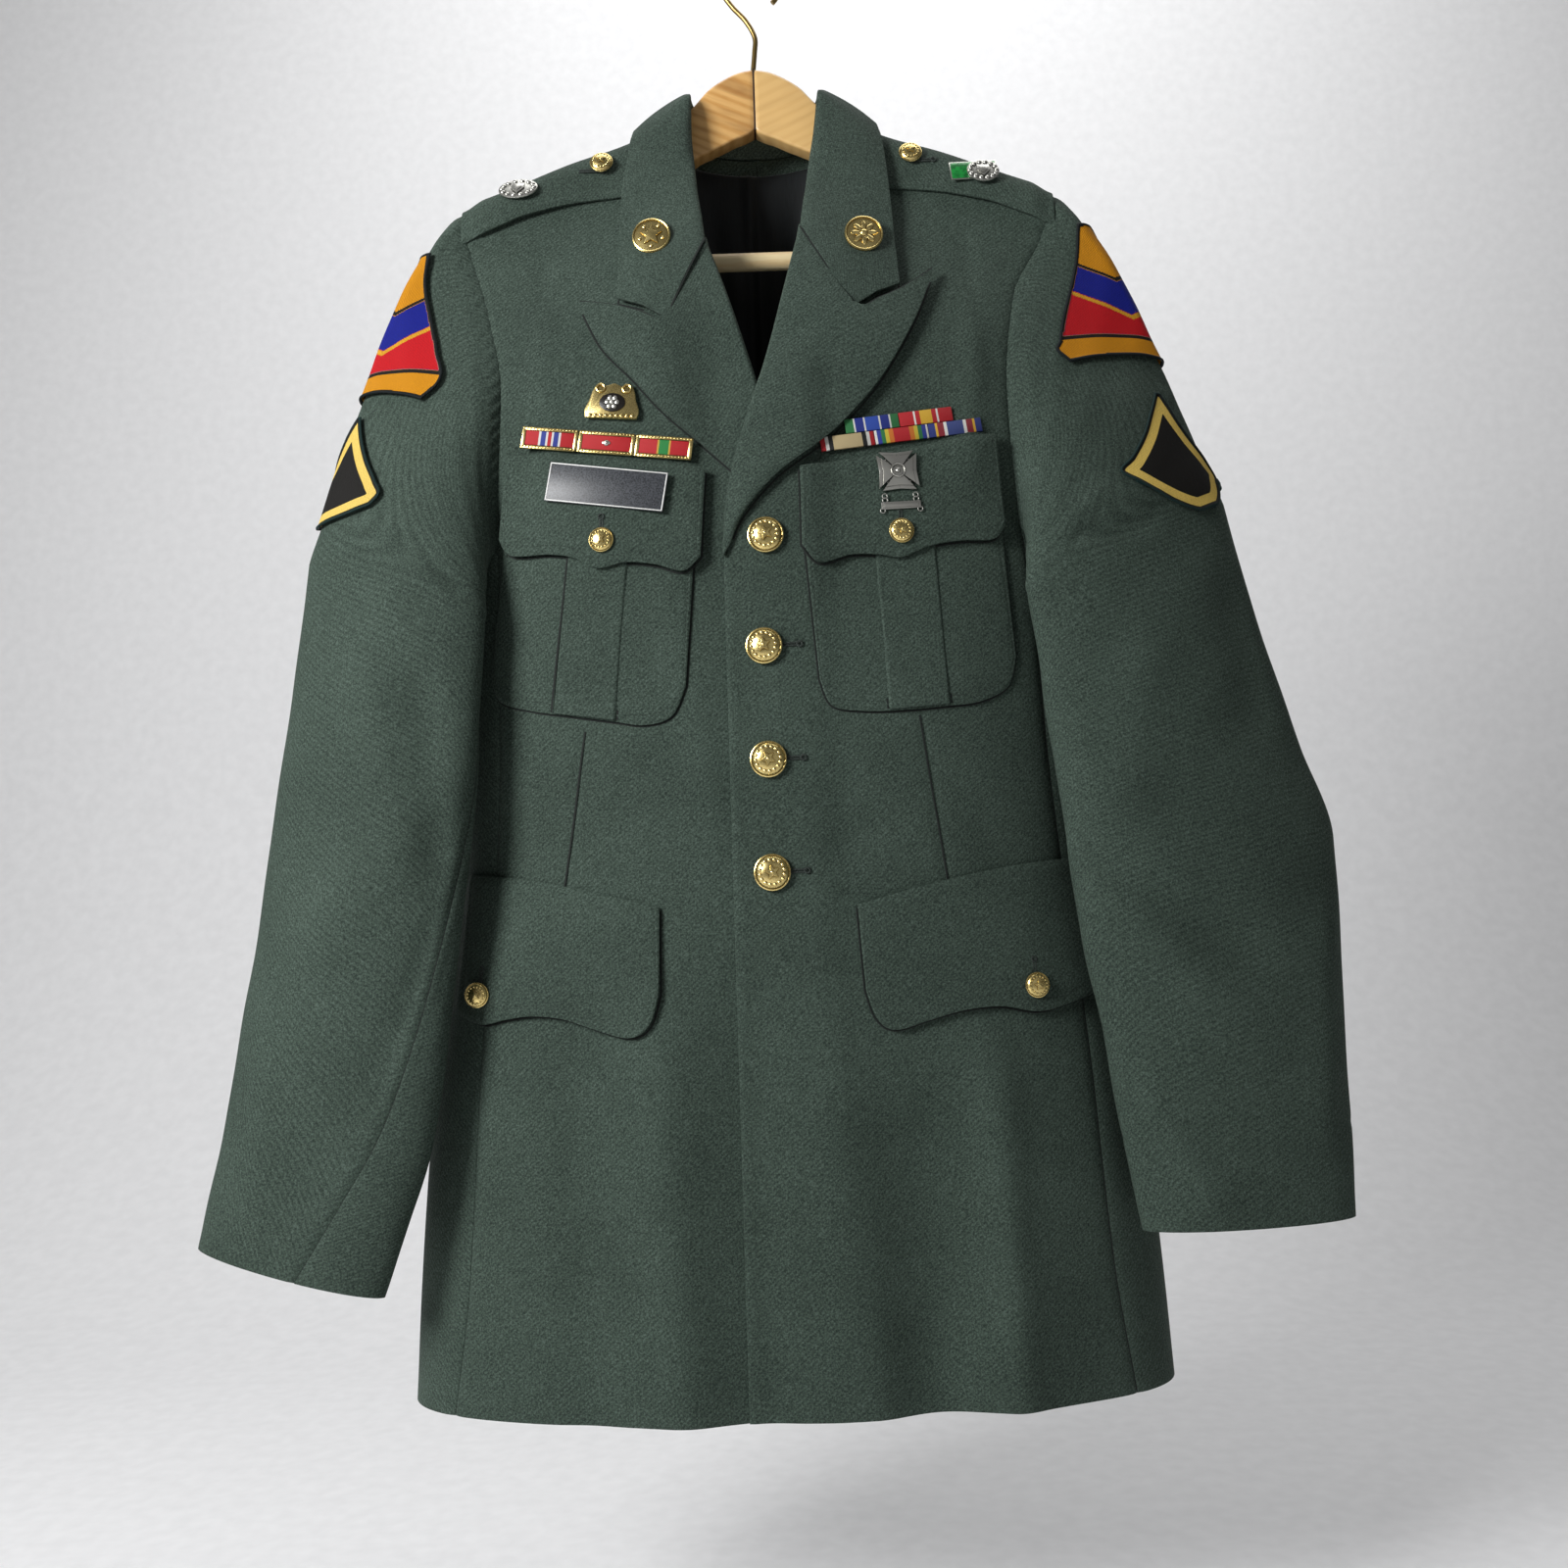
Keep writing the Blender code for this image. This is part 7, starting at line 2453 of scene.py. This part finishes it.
    def cross(self) -> None:
        """A silver cross with flared arms, and its bar hung on two links."""
        coat, half = self.cutter.coat, self.cross_half
        waist, tip = half * 0.20, half * 0.86
        arm = [(waist, -waist), (half, -tip), (half * 0.92, 0.0), (half, tip)]
        outline: list[Point2] = []
        for quarter in range(4):
            turn = Matrix.Rotation(quarter * math.pi / 2, 2)
            outline += [tuple(turn @ Vector(p)) for p in arm]
        rim = Bench.plate([(x * 0.80, y * 0.80) for x, y in outline], 0.0007, 0.0002)
        parts = [Bench.plate(outline, 0.0016, 0.0005), Bench.move(rim, z=0.0014),
                 Bench.ring(0.0042, 0.0005, (0, 0, 0.0023), 28),
                 Bench.ball(0.0016, (0, 0, 0.0022), 0.6, 12)]
        for reach in (0.0052, 0.0078, 0.0100):
            parts += Bench.beads(around(4, reach, start=math.pi / 4), 0.0009, 0.0009, 0.6, 8)
        made = coat(Bench.join("silver_cross", *parts), "oxidised_silver", 32)
        self.pin(made, "marksman_cross", "silver")
        bar = [Bench.plate(box(0.0250, 0.0048), 0.0014, 0.0004),
               Bench.move(Bench.plate(box(0.0218, 0.0024), 0.0005, 0.0001), z=0.0012)]
        bar += [Bench.ring(radius, 0.0004, (side * x, y, z), 16) for side in (-1, 1)
                for radius, x, y, z in ((0.0016, 0.0098, 0.0036, 0.0008),
                                        (0.0015, 0.0098, 0.0062, 0.0010),
                                        (0.0015, 0.0118, -0.0030, 0.0008))]
        made = coat(Bench.join("silver_bar", *bar), "oxidised_silver", 32)
        self.pin(made, "marksman_bar", "silver")

    def pins(self) -> None:
        """Silver unit pins on the straps, the left one over a green enamelled tab."""
        coat = self.cutter.coat
        for name, width, height, x, drop, gap in (
                ("shoulder_badge_right", 0.0270, 0.0180, -0.160, 0.0080, 0.0014),
                ("shoulder_badge_left", 0.0220, 0.0185, 0.152, 0.0105, 0.0030)):
            shield = [(-0.0042, 0.0040), (-0.0046, -0.0005), (0.0, -0.0058), (0.0046, -0.0005),
                      (0.0042, 0.0040)]
            field = [(x * 0.6, y * 0.6) for x, y in shield]
            parts = [Bench.plate(around(36, width / 2, height / 2), 0.0014, 0.0004),
                     *Bench.beads(around(14, width * 0.41, height * 0.38), 0.0014, 0.0017, 0.7, 8),
                     Bench.move(Bench.plate(shield, 0.0012, 0.0004), z=0.0012),
                     Bench.move(Bench.plate(field, 0.0006, 0.0002), z=0.0022)]
            made = coat(Bench.join(f"silver_{name}", *parts), "oxidised_silver")
            Bench.settle(made, self.straps.place(x, drop, gap))
            self.cutter.dress(made, "silver", name)
        edge = coat(Bench.plate(box(0.0320, 0.0150), 0.0009, 0.0003), "oxidised_silver")
        glass = Bench.plate(box(0.0304, 0.0134), 0.0005, 0.0002)
        glass = coat(Bench.move(glass, z=0.0007), "green_enamel")
        made = Bench.join("enamel_tab", edge, glass)
        Bench.settle(made, self.straps.place(0.146, 0.0110, 0.0014, math.radians(3.0)))
        self.cutter.dress(made, "enamel", "shoulder_tab_left")


# ---------------------------------------------------------------- hanger

@dataclass
class Hanger:
    """A contoured two-piece suit hanger with a trouser dowel and a wire hook."""

    cutter: Cutter
    wire: float = 0.00175
    hook_radius: float = 0.0210
    clearance: float = 0.0044
    tip_x: float = 0.1975
    dowel_radius: float = 0.0060
    dowel_z: float = -0.2270
    dowel_end: float = 0.1860
    top: Rows = ((0.0, -0.0850), (0.010, -0.0869), (0.020, -0.0914), (0.031, -0.0988),
                 (0.042, -0.1110), (0.060, -0.1266))
    height: Rows = ((0.0, 0.0453), (0.010, 0.0480), (0.020, 0.0480), (0.031, 0.0457),
                    (0.042, 0.0395), (0.060, 0.0400), (0.127, 0.041), (0.172, 0.045),
                    (0.203, 0.040))
    half: Rows = ((0.0, 0.0070), (0.060, 0.0070), (0.160, 0.0077), (0.203, 0.0074))
    end: Rows = ((0.186, 1.0), (0.194, 0.86), (0.1975, 0.50))
    corner: float = 0.0022
    stations: int = 64
    station_step: float = 0.003
    # The hook's shank and first bend, as x and z, and how far its loop turns, in degrees.
    neck: Sequence[Point2] = ((0.0000, -0.0835), (0.0014, -0.0700), (0.0018, -0.0590),
                              (-0.0040, -0.0470), (-0.0125, -0.0370), (-0.0188, -0.0280))
    loop_turn: float = 225.0
    ferrule_radius: float = 0.0034
    ferrule_z: float = -0.0856
    glue_width: float = 0.0012

    def outline(self, corner: float, half: float, height: float) -> list[Point2]:
        """A rounded rectangular section, corner by corner.

        Args:
            corner: how far the lower corners are rounded.
            half: half the width.
            height: half the height.

        Returns:
            The corners.
        """
        points = []
        for cx, cz, start in ((1, 1, 0), (-1, 1, 90), (-1, -1, 180), (1, -1, 270)):
            soft = corner * (1.7 if cz > 0 else 1.0)
            for step in range(5):
                angle = math.radians(start + 90 * step / 4)
                points.append((cx * (half - soft) + soft * math.cos(angle),
                               cz * (height - soft) + soft * math.sin(angle)))
        return points

    def section(self, x: float, sign: int) -> Array:
        """The arm's section at one station.

        Args:
            x: distance from the middle of the hanger.
            sign: 1 for the left arm, -1 for the right.

        Returns:
            The corners of the rounded section.
        """
        form = self.cutter.form
        ridge = float(Curve(self.top)(x)) if x < form.neck_x else (
            float(form.crest_z(x)) - self.clearance)
        tall, wide = float(Curve(self.height)(x)) / 2, float(Curve(self.half)(x))
        shrink = float(Curve(self.end)(max(x, self.end[0][0]))) * (0.93 if x < 0.001 else 1.0)
        corners = np.array(self.outline(self.corner, wide, tall)) * shrink
        y = float(form.crest_y(np.array(x)))
        return np.array([(sign * x, y + a, ridge - tall + b) for a, b in corners])

    def arm(self, side: str, sign: int) -> None:
        """One arm: its section extruded along the shoulder, then every station shaped.

        Args:
            side: left or right.
            sign: 1 for the left arm, -1 for the right.
        """
        along = np.linspace(0.004, self.end[0][0], self.stations)
        stations = np.concatenate([[0.0001, 0.0012], along, np.linspace(0.1885, self.tip_x, 7)])
        first = self.section(0.0, sign)
        name = f"maple_arm_{side}"
        mesh = bpy.data.meshes.new(name)
        mesh.from_pydata(first.tolist(), [], [tuple(range(len(first)))])
        made = stand(name, mesh)
        Bench.take(made)
        bpy.ops.object.mode_set(mode="EDIT")
        bpy.ops.mesh.select_all(action="SELECT")
        for _ in stations[1:]:
            bpy.ops.mesh.extrude_region_move(
                TRANSFORM_OT_translate={"value": (sign * self.station_step, 0, 0)})
        bpy.ops.mesh.select_all(action="SELECT")
        bpy.ops.mesh.normals_make_consistent(inside=False)
        bpy.ops.object.mode_set(mode="OBJECT")
        spots = np.empty(len(mesh.vertices) * 3)
        mesh.vertices.foreach_get("co", spots)
        spots = spots.reshape(-1, 3)
        number = np.rint(np.abs(spots[:, 0]) / self.station_step).astype(int)
        corner = np.linalg.norm(spots[:, None, 1:] - first[None, :, 1:], axis=-1).argmin(1)
        shaped = np.array([self.section(float(x), sign) for x in stations])
        mesh.vertices.foreach_set("co", shaped[number, corner].reshape(-1))
        mesh.update()
        self.cutter.coat(made, f"maple_{side}", 40)
        self.cutter.dress(made, "maple", f"hanger_arm_{side}")

    def dowel(self) -> None:
        """The round trouser bar between the arms."""
        y = float(self.cutter.form.crest_y(np.array(0.178)))
        Bench.clear()
        bpy.ops.mesh.primitive_cylinder_add(vertices=48, radius=self.dowel_radius,
                                            depth=2 * self.dowel_end)
        made = Bench.round_over(bpy.context.object, 0.0008, 3)
        made.name = made.data.name = "maple_dowel"
        self.cutter.coat(made, "dowel_wood", 40)
        Bench.settle(made, Matrix.Translation((0, y, self.dowel_z))
                     @ Matrix.Rotation(math.pi / 2, 4, "Y"))
        self.cutter.dress(made, "dowel", "hanger_dowel")

    def hook(self) -> None:
        """The wire hook, screwed into the crown and bent over into its loop."""
        route = [tuple(p) for p in Path(self.neck)(np.linspace(0, 1, 40))]
        for i in range(60):
            angle = math.radians(180 - self.loop_turn * i / 59)
            route.append((self.hook_radius * math.cos(angle),
                          -(self.hook_radius - self.wire) + self.hook_radius * math.sin(angle)))
        curve = bpy.data.curves.new("wire_hook", "CURVE")
        curve.dimensions, curve.bevel_depth, curve.bevel_resolution = "3D", self.wire, 6
        curve.use_fill_caps = True
        line = curve.splines.new("POLY")
        line.points.add(len(route) - 1)
        y = float(self.cutter.form.crest_y(np.array(0.0)))
        for point, (x, z) in zip(line.points, route):
            point.co = (x, y, z, 1.0)
        made = stand("wire_hook", curve)
        Bench.take(made)
        bpy.ops.object.convert(target="MESH")
        made = bpy.context.object
        bpy.ops.object.mode_set(mode="EDIT")
        bpy.ops.mesh.select_all(action="SELECT")
        bpy.ops.mesh.remove_doubles(threshold=0.00001)
        bpy.ops.mesh.normals_make_consistent(inside=False)
        bpy.ops.object.mode_set(mode="OBJECT")
        ferrule = Bench.disc(self.ferrule_radius, 0.0012, 28, 0.0004)
        ferrule = Bench.move(ferrule, 0, y, self.ferrule_z)
        made = Bench.join("wire_hook", made, ferrule)
        self.cutter.coat(made, "hook_wire", 45)
        self.cutter.dress(made, "wire", "hanger_hook")

    def glue_line(self) -> None:
        """The dark line of glue where the two arms meet in the crown."""
        tall, half = self.height[0][1], self.half[0][1]
        Bench.clear()
        bpy.ops.mesh.primitive_cube_add(size=1, scale=(self.glue_width, 2 * half,
                                                       tall - 0.0006))
        made = Bench.round_over(bpy.context.object, 0.0002, 2)
        made.name = made.data.name = "crown_glue_line"
        self.cutter.coat(made, "glue_line", 40)
        y = float(self.cutter.form.crest_y(np.array(0.0)))
        Bench.move(made, 0, y, self.top[0][1] - tall / 2)
        self.cutter.dress(made, "maple")

    def build(self) -> None:
        """Make the hanger."""
        self.glue_line()
        self.arm("left", 1)
        self.arm("right", -1)
        self.dowel()
        self.hook()


# ---------------------------------------------------------------- stitching and painted seam shade

@dataclass
class Stitching:
    """Rows of lockstitch laid on the cloth, one small thread bar for each stitch."""

    cutter: Cutter
    pitch: float = 0.0030
    length: float = 0.0022
    radius: float = 0.00022
    # How deep the thread is pulled into the cloth.
    sunk: float = 0.0002

    def row(self, line: Array, normals: Array) -> tuple[Array, Array]:
        """Vertices and faces of the stitches along a line of points.

        Args:
            line: points of the row.
            normals: the cloth's normal at each point.

        Returns:
            Vertices and faces.
        """
        run = lengths(line)
        starts = np.arange(self.pitch / 2, run[-1] - self.length, self.pitch)

        def read(at: Array, source: Array) -> Array:
            """Points of a run at certain lengths."""
            return np.stack([np.interp(at, run, source[:, i]) for i in range(3)], -1)
        a, b = read(starts, line), read(starts + self.length, line)
        up = unit(read(starts, normals))
        across = unit(np.cross(b - a, up))
        r = self.radius
        middle = (a + b) / 2
        verts = np.stack([a, middle + across * r, middle - across * r, middle + up * r,
                          middle - up * r * 0.6, b], 1)
        local = np.array([(0, 1, 3), (0, 3, 2), (0, 2, 4), (0, 4, 1), (5, 3, 1), (5, 2, 3),
                          (5, 4, 2), (5, 1, 4)])
        faces = (local[None] + 6 * np.arange(len(starts))[:, None, None]).reshape(-1, 3)
        return verts.reshape(-1, 3), faces

    def lay(self, name: str, rows: Sequence[tuple[Array, Array]]) -> None:
        """Sew several rows as one piece.

        Args:
            name: the piece's name.
            rows: points and normals of each row.
        """
        verts, faces, count = [], [], 0
        for line, normals in rows:
            v, f = self.row(line, normals)
            verts.append(v)
            faces.append(f + count)
            count += len(v)
        mesh = bpy.data.meshes.new(name)
        mesh.from_pydata(np.concatenate(verts).tolist(), [], np.concatenate(faces).tolist())
        mesh.materials.append(self.cutter.finishes.get("thread_green"))
        made = stand(name, mesh)
        self.cutter.dress(made, "wool")

    def build(self, pockets: Pockets) -> None:
        """Edge-stitch the patch pockets and their flaps.

        Args:
            pockets: the pockets and flaps.
        """
        form = self.cutter.form
        for cut in pockets.cuts:
            if "pleat" in cut.name:
                continue
            width, height = cut.flat
            side, foot = pockets.stitch_in / width, pockets.stitch_in / height
            down = np.linspace(0.02, 1 - foot, 120)
            along = np.linspace(side, 1 - side, 240)
            share = np.concatenate([np.full(120, side), along, np.full(120, 1 - side)])
            level = np.concatenate([down, np.full(240, 1 - foot), down[::-1]])
            x, z = cut.on_pattern(share, level).T
            lift = cut.stand_off(share, level) - self.sunk
            self.lay(f"stitches_{cut.name}", [(form.on_front(x, z, lift),
                                               form.normal(x, z, Side.FRONT))])


@dataclass
class SeamShadows:
    """Painted shade in the crevices between sewn edges, each line a hair-thin dark strip pressed
    into the cloth.
    """

    cutter: Cutter
    sleeves: Sleeves
    pockets: Pockets
    lapels: Lapels
    collar: Collar
    width: float = 0.0012
    lift: float = 0.00014
    # The breast flaps lie over their pockets, and the gorge over lapel and collar.
    flap_lift: float = 0.0030
    gorge_lift: float = 0.0007
    peak_lift: float = 0.0066
    # Painted shade lines at pleat edges and darts on the front: x and z of both ends, and the lift
    # they lie on.
    creases: Rows = (
        (-0.1248, -0.442, -0.1368, -0.5390, 0.0040), (-0.0842, -0.4485, -0.0962, -0.5460, 0.0024),
        (0.0642, -0.4485, 0.0702, -0.5450, 0.0024), (0.1038, -0.441, 0.1098, -0.5420, 0.0024),
        (0.090, -0.549, 0.104, -0.656, 0.0), (-0.117, -0.552, -0.133, -0.650, 0.0))

    def strip(self, name: str, line: Array, normals: Array) -> None:
        """Lay one line of painted shade along a seam.

        Args:
            name: the piece's name.
            line: points along the seam.
            normals: the cloth's normal at each point.
        """
        across = unit(np.cross(np.gradient(line, axis=0), normals)) * self.width / 2
        profile = ((-1.0, -0.00012), (-0.4, 0.0), (0.4, 0.0), (1.0, -0.00012))
        grid = np.stack([line + across * reach + normals * (self.lift + drop)
                         for reach, drop in profile], 1)
        facing = tuple(normals.mean(0))
        made = self.cutter.piece(name, grid, 0.0, "thread_black", facing)
        self.cutter.dress(made, "wool")

    def edge(self, name: str, flat: Array, lift: float, sign: int = 1) -> None:
        """Lay a line of painted shadow under the free edge of a pocket, flap, lapel or collar.

        Args:
            name: the piece's name.
            flat: x and z along the edge, with the open cloth on the right of the way.
            lift: how far off the front it lies.
            sign: -1 to mirror it to the right half.
        """
        way = unit(np.gradient(flat, axis=0))
        x, z = (flat + np.stack([way[:, 1], -way[:, 0]], -1) * self.width * 0.45).T
        points = (self.cutter.form.point(-x, z, lift) if sign < 0
                  else self.cutter.form.on_front(x, z, lift))
        self.strip(name, points, self.cutter.form.normal(sign * x, z, Side.FRONT))

    def edges(self) -> None:
        """Lay the painted shadow lines under every free edge on the front."""
        down, share = np.linspace(0.04, 1, 60), np.linspace(0, 1, 120)
        for cut in self.pockets.cuts:
            if "pleat" in cut.name:
                continue
            level = np.concatenate([down, np.ones(118), down[::-1]])
            across = np.concatenate([0 * down, share[1:-1], 0 * down + 1])
            self.edge(f"edge_{cut.name}", cut.on_pattern(across, level),
                      self.flap_lift if "breast_flap" in cut.name else self.lift)
        for cut in self.lapels.cuts:
            self.edge(f"edge_{cut.name}", Path(cut.outline)(np.linspace(0.03, 0.97, 160)),
                      self.lift, cut.sign)
            self.edge(f"edge_{cut.name}_top", Path(cut.top)(np.linspace(0.985, 0.46, 120)),
                      self.peak_lift, cut.sign)
        for sign, stations in ((1, self.collar.left), (-1, self.collar.right)):
            corners = np.array([edge for _, edge, _ in stations[::-1]])
            flat = np.stack([np.interp(np.linspace(1, 4, 120), range(5), corners[:, i])
                             for i in (0, 1)], -1)
            self.edge(f"edge_collar_{sign}", flat, self.lift, sign)
            (_, low, lift), (high, _, _) = stations[-1], stations[-1]
            gorge = np.linspace(high, low, 60)
            self.edge(f"edge_gorge_{sign}", gorge, lift + self.gorge_lift, sign)

    def build(self) -> None:
        """Lay painted shade lines along the seams of pleats, darts, side panels, sleeves and back.
        """
        form, sleeves = self.cutter.form, self.sleeves
        self.edges()
        for i, (x0, z0, x1, z1, lift) in enumerate(self.creases):
            x, z = np.linspace(x0, x1, 60), np.linspace(z0, z1, 60)
            self.strip(f"seam_front_{i + 1}", form.on_front(x, z, lift),
                       form.normal(x, z, Side.FRONT))
        for side, sign in (("left", 1), ("right", -1)):
            z = np.linspace(form.underarm_z - 0.004, form.hem_z + 0.001, 160)
            for face, edge in ((Side.FRONT, form.arm[sign]), (Side.BACK, form.arm_back)):
                if sign < 0 and face is Side.FRONT:
                    continue
                x = sign * edge(z)
                self.strip(f"seam_{side}_{face.name.lower()}",
                           form.point(x, z, self.cutter.seam_groove(np.zeros(160)), face),
                           form.normal(x, z, face))
            down = np.linspace(0.06, 1.995, 240)
            for place, turn in (("fore", sleeves.seam(sign, down)),
                                ("hind", np.full(240, sleeves.hind_seam))):
                normals = sleeves.outward(sign, down, turn)
                line = sleeves.surface(sign, down, turn) + normals * self.cutter.seam_groove(
                    np.zeros(240))[:, None]
                self.strip(f"seam_sleeve_{side}_{place}", line, normals)
        z = np.linspace(-0.150, -0.780, 160)
        self.strip("seam_back", form.point(0 * z, z, self.cutter.seam_groove(np.zeros(160)),
                                           Side.BACK), form.normal(0 * z, z, Side.BACK))


# ---------------------------------------------------------------- studio

@dataclass
class Studio:
    """Camera, soft window light from the upper left and a pale sweep."""

    lens: float = 33.75
    sensor: float = 36.0
    eye: Point3 = (0.005, -0.9805, -0.6676)
    pitch: float = 5.0
    roll: float = -1.9
    floor_z: float = -1.150
    # The sweep from front to back: where it starts, curves up and ends, and its half width.
    sweep_front: float = -4.0
    sweep_bend: float = 0.7
    sweep_radius: float = 0.8
    sweep_top: float = 3.0
    sweep_half: float = 5.0
    sky: str = "ececec"
    sky_strength: float = 0.125
    # Name, place, what it looks at, the side of its square and its power in watts.
    lamps: Sequence[tuple[str, Point3, Point3, float, float]] = (
        ("window", (-1.22, -1.12, 0.02), (0, 0, -0.47), 0.55, 32.0),
        ("fill", (0.9, -2.4, -0.1), (0, 0, -0.5), 1.8, 1.8),
        ("backdrop", (0.2, 0.35, 1.4), (0.2, 1.5, 0.1), 1.6, 23.0))

    def camera(self) -> None:
        """Set the camera in front of the tunic, looking slightly up."""
        data = bpy.data.cameras.new("camera")
        data.lens, data.sensor_width, data.clip_start = self.lens, self.sensor, 0.01
        made = stand("camera", data)
        pitch = math.radians(self.pitch)
        forward = Vector((0, math.cos(pitch), math.sin(pitch)))
        turn = forward.to_track_quat("-Z", "Y").to_matrix().to_4x4()
        made.matrix_world = (Matrix.Translation(self.eye) @ turn
                             @ Matrix.Rotation(math.radians(self.roll), 4, "Z"))
        bpy.context.scene.camera = made

    def lamp(self, name: str, place: Point3, target: Point3, size: float, power: float) -> None:
        """One soft square light.

        Args:
            name: its name.
            place: where it hangs.
            target: what it looks at.
            size: the side of its square.
            power: its power in watts.
        """
        data = bpy.data.lights.new(name, "AREA")
        data.size, data.energy = size, power
        made = stand(name, data)
        aim = (Vector(target) - Vector(place)).to_track_quat("-Z", "Y")
        made.matrix_world = Matrix.Translation(place) @ aim.to_matrix().to_4x4()

    def sweep(self) -> None:
        """A pale floor that curves up into a backdrop."""
        bend, radius = self.sweep_bend, self.sweep_radius
        profile = [(self.sweep_front, self.floor_z), (bend, self.floor_z)]
        profile += [(bend + radius * math.sin(math.radians(a)),
                     self.floor_z + radius - radius * math.cos(math.radians(a)))
                    for a in range(10, 91, 8)]
        profile.append((bend + radius, self.sweep_top))
        verts = [(x, y, z) for y, z in profile for x in (-self.sweep_half, self.sweep_half)]
        faces = [(2 * i, 2 * i + 1, 2 * i + 3, 2 * i + 2) for i in range(len(profile) - 1)]
        mesh = bpy.data.meshes.new("sweep")
        mesh.from_pydata(verts, [], faces)
        mesh.shade_smooth()
        made = stand("sweep", mesh)
        material, tree = begin("pale_paper")
        spot = node(tree, "TexCoord").outputs["Object"]
        grain = node(tree, "TexNoise", {"Vector": spot, "Scale": 60.0})
        colour = node(tree, "ValToRGB", {"Fac": grain}, ((0.3, "ebebec"), (0.7, "f1f1f2")))
        finish(tree, colour, grain, 0.0005, 0.1, Roughness=0.95)
        mesh.materials.append(material)

    def build(self) -> None:
        """Set up the studio."""
        world = bpy.data.worlds.new("studio")
        world.use_nodes = True
        background = world.node_tree.nodes["Background"]
        background.inputs[0].default_value = linear(self.sky)
        background.inputs[1].default_value = self.sky_strength
        bpy.context.scene.world = world
        bpy.context.scene.view_settings.view_transform = "Standard"
        self.camera()
        self.sweep()
        for lamp in self.lamps:
            self.lamp(*lamp)


def main() -> None:
    """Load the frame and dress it."""
    logging.basicConfig(level=logging.INFO, format="%(message)s")
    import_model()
    Studio().build()
    form = BodyForm()
    cutter = Cutter(Finishes(), form)
    BodyPanels(cutter).build()
    lapels, collar = Lapels(cutter), Collar(cutter)
    lapels.build()
    collar.build()
    pockets = Pockets(cutter)
    pockets.build()
    Stitching(cutter).build(pockets)
    straps = ShoulderStraps(cutter)
    straps.build()
    sleeves = Sleeves(cutter)
    sleeves.build()
    SleeveBadges(cutter, sleeves).build()
    SeamShadows(cutter, sleeves, pockets, lapels, collar).build()
    Buttons(cutter, straps).build()
    Insignia(cutter, straps).build()
    Hanger(cutter).build()


if __name__ == "__main__":
    main()
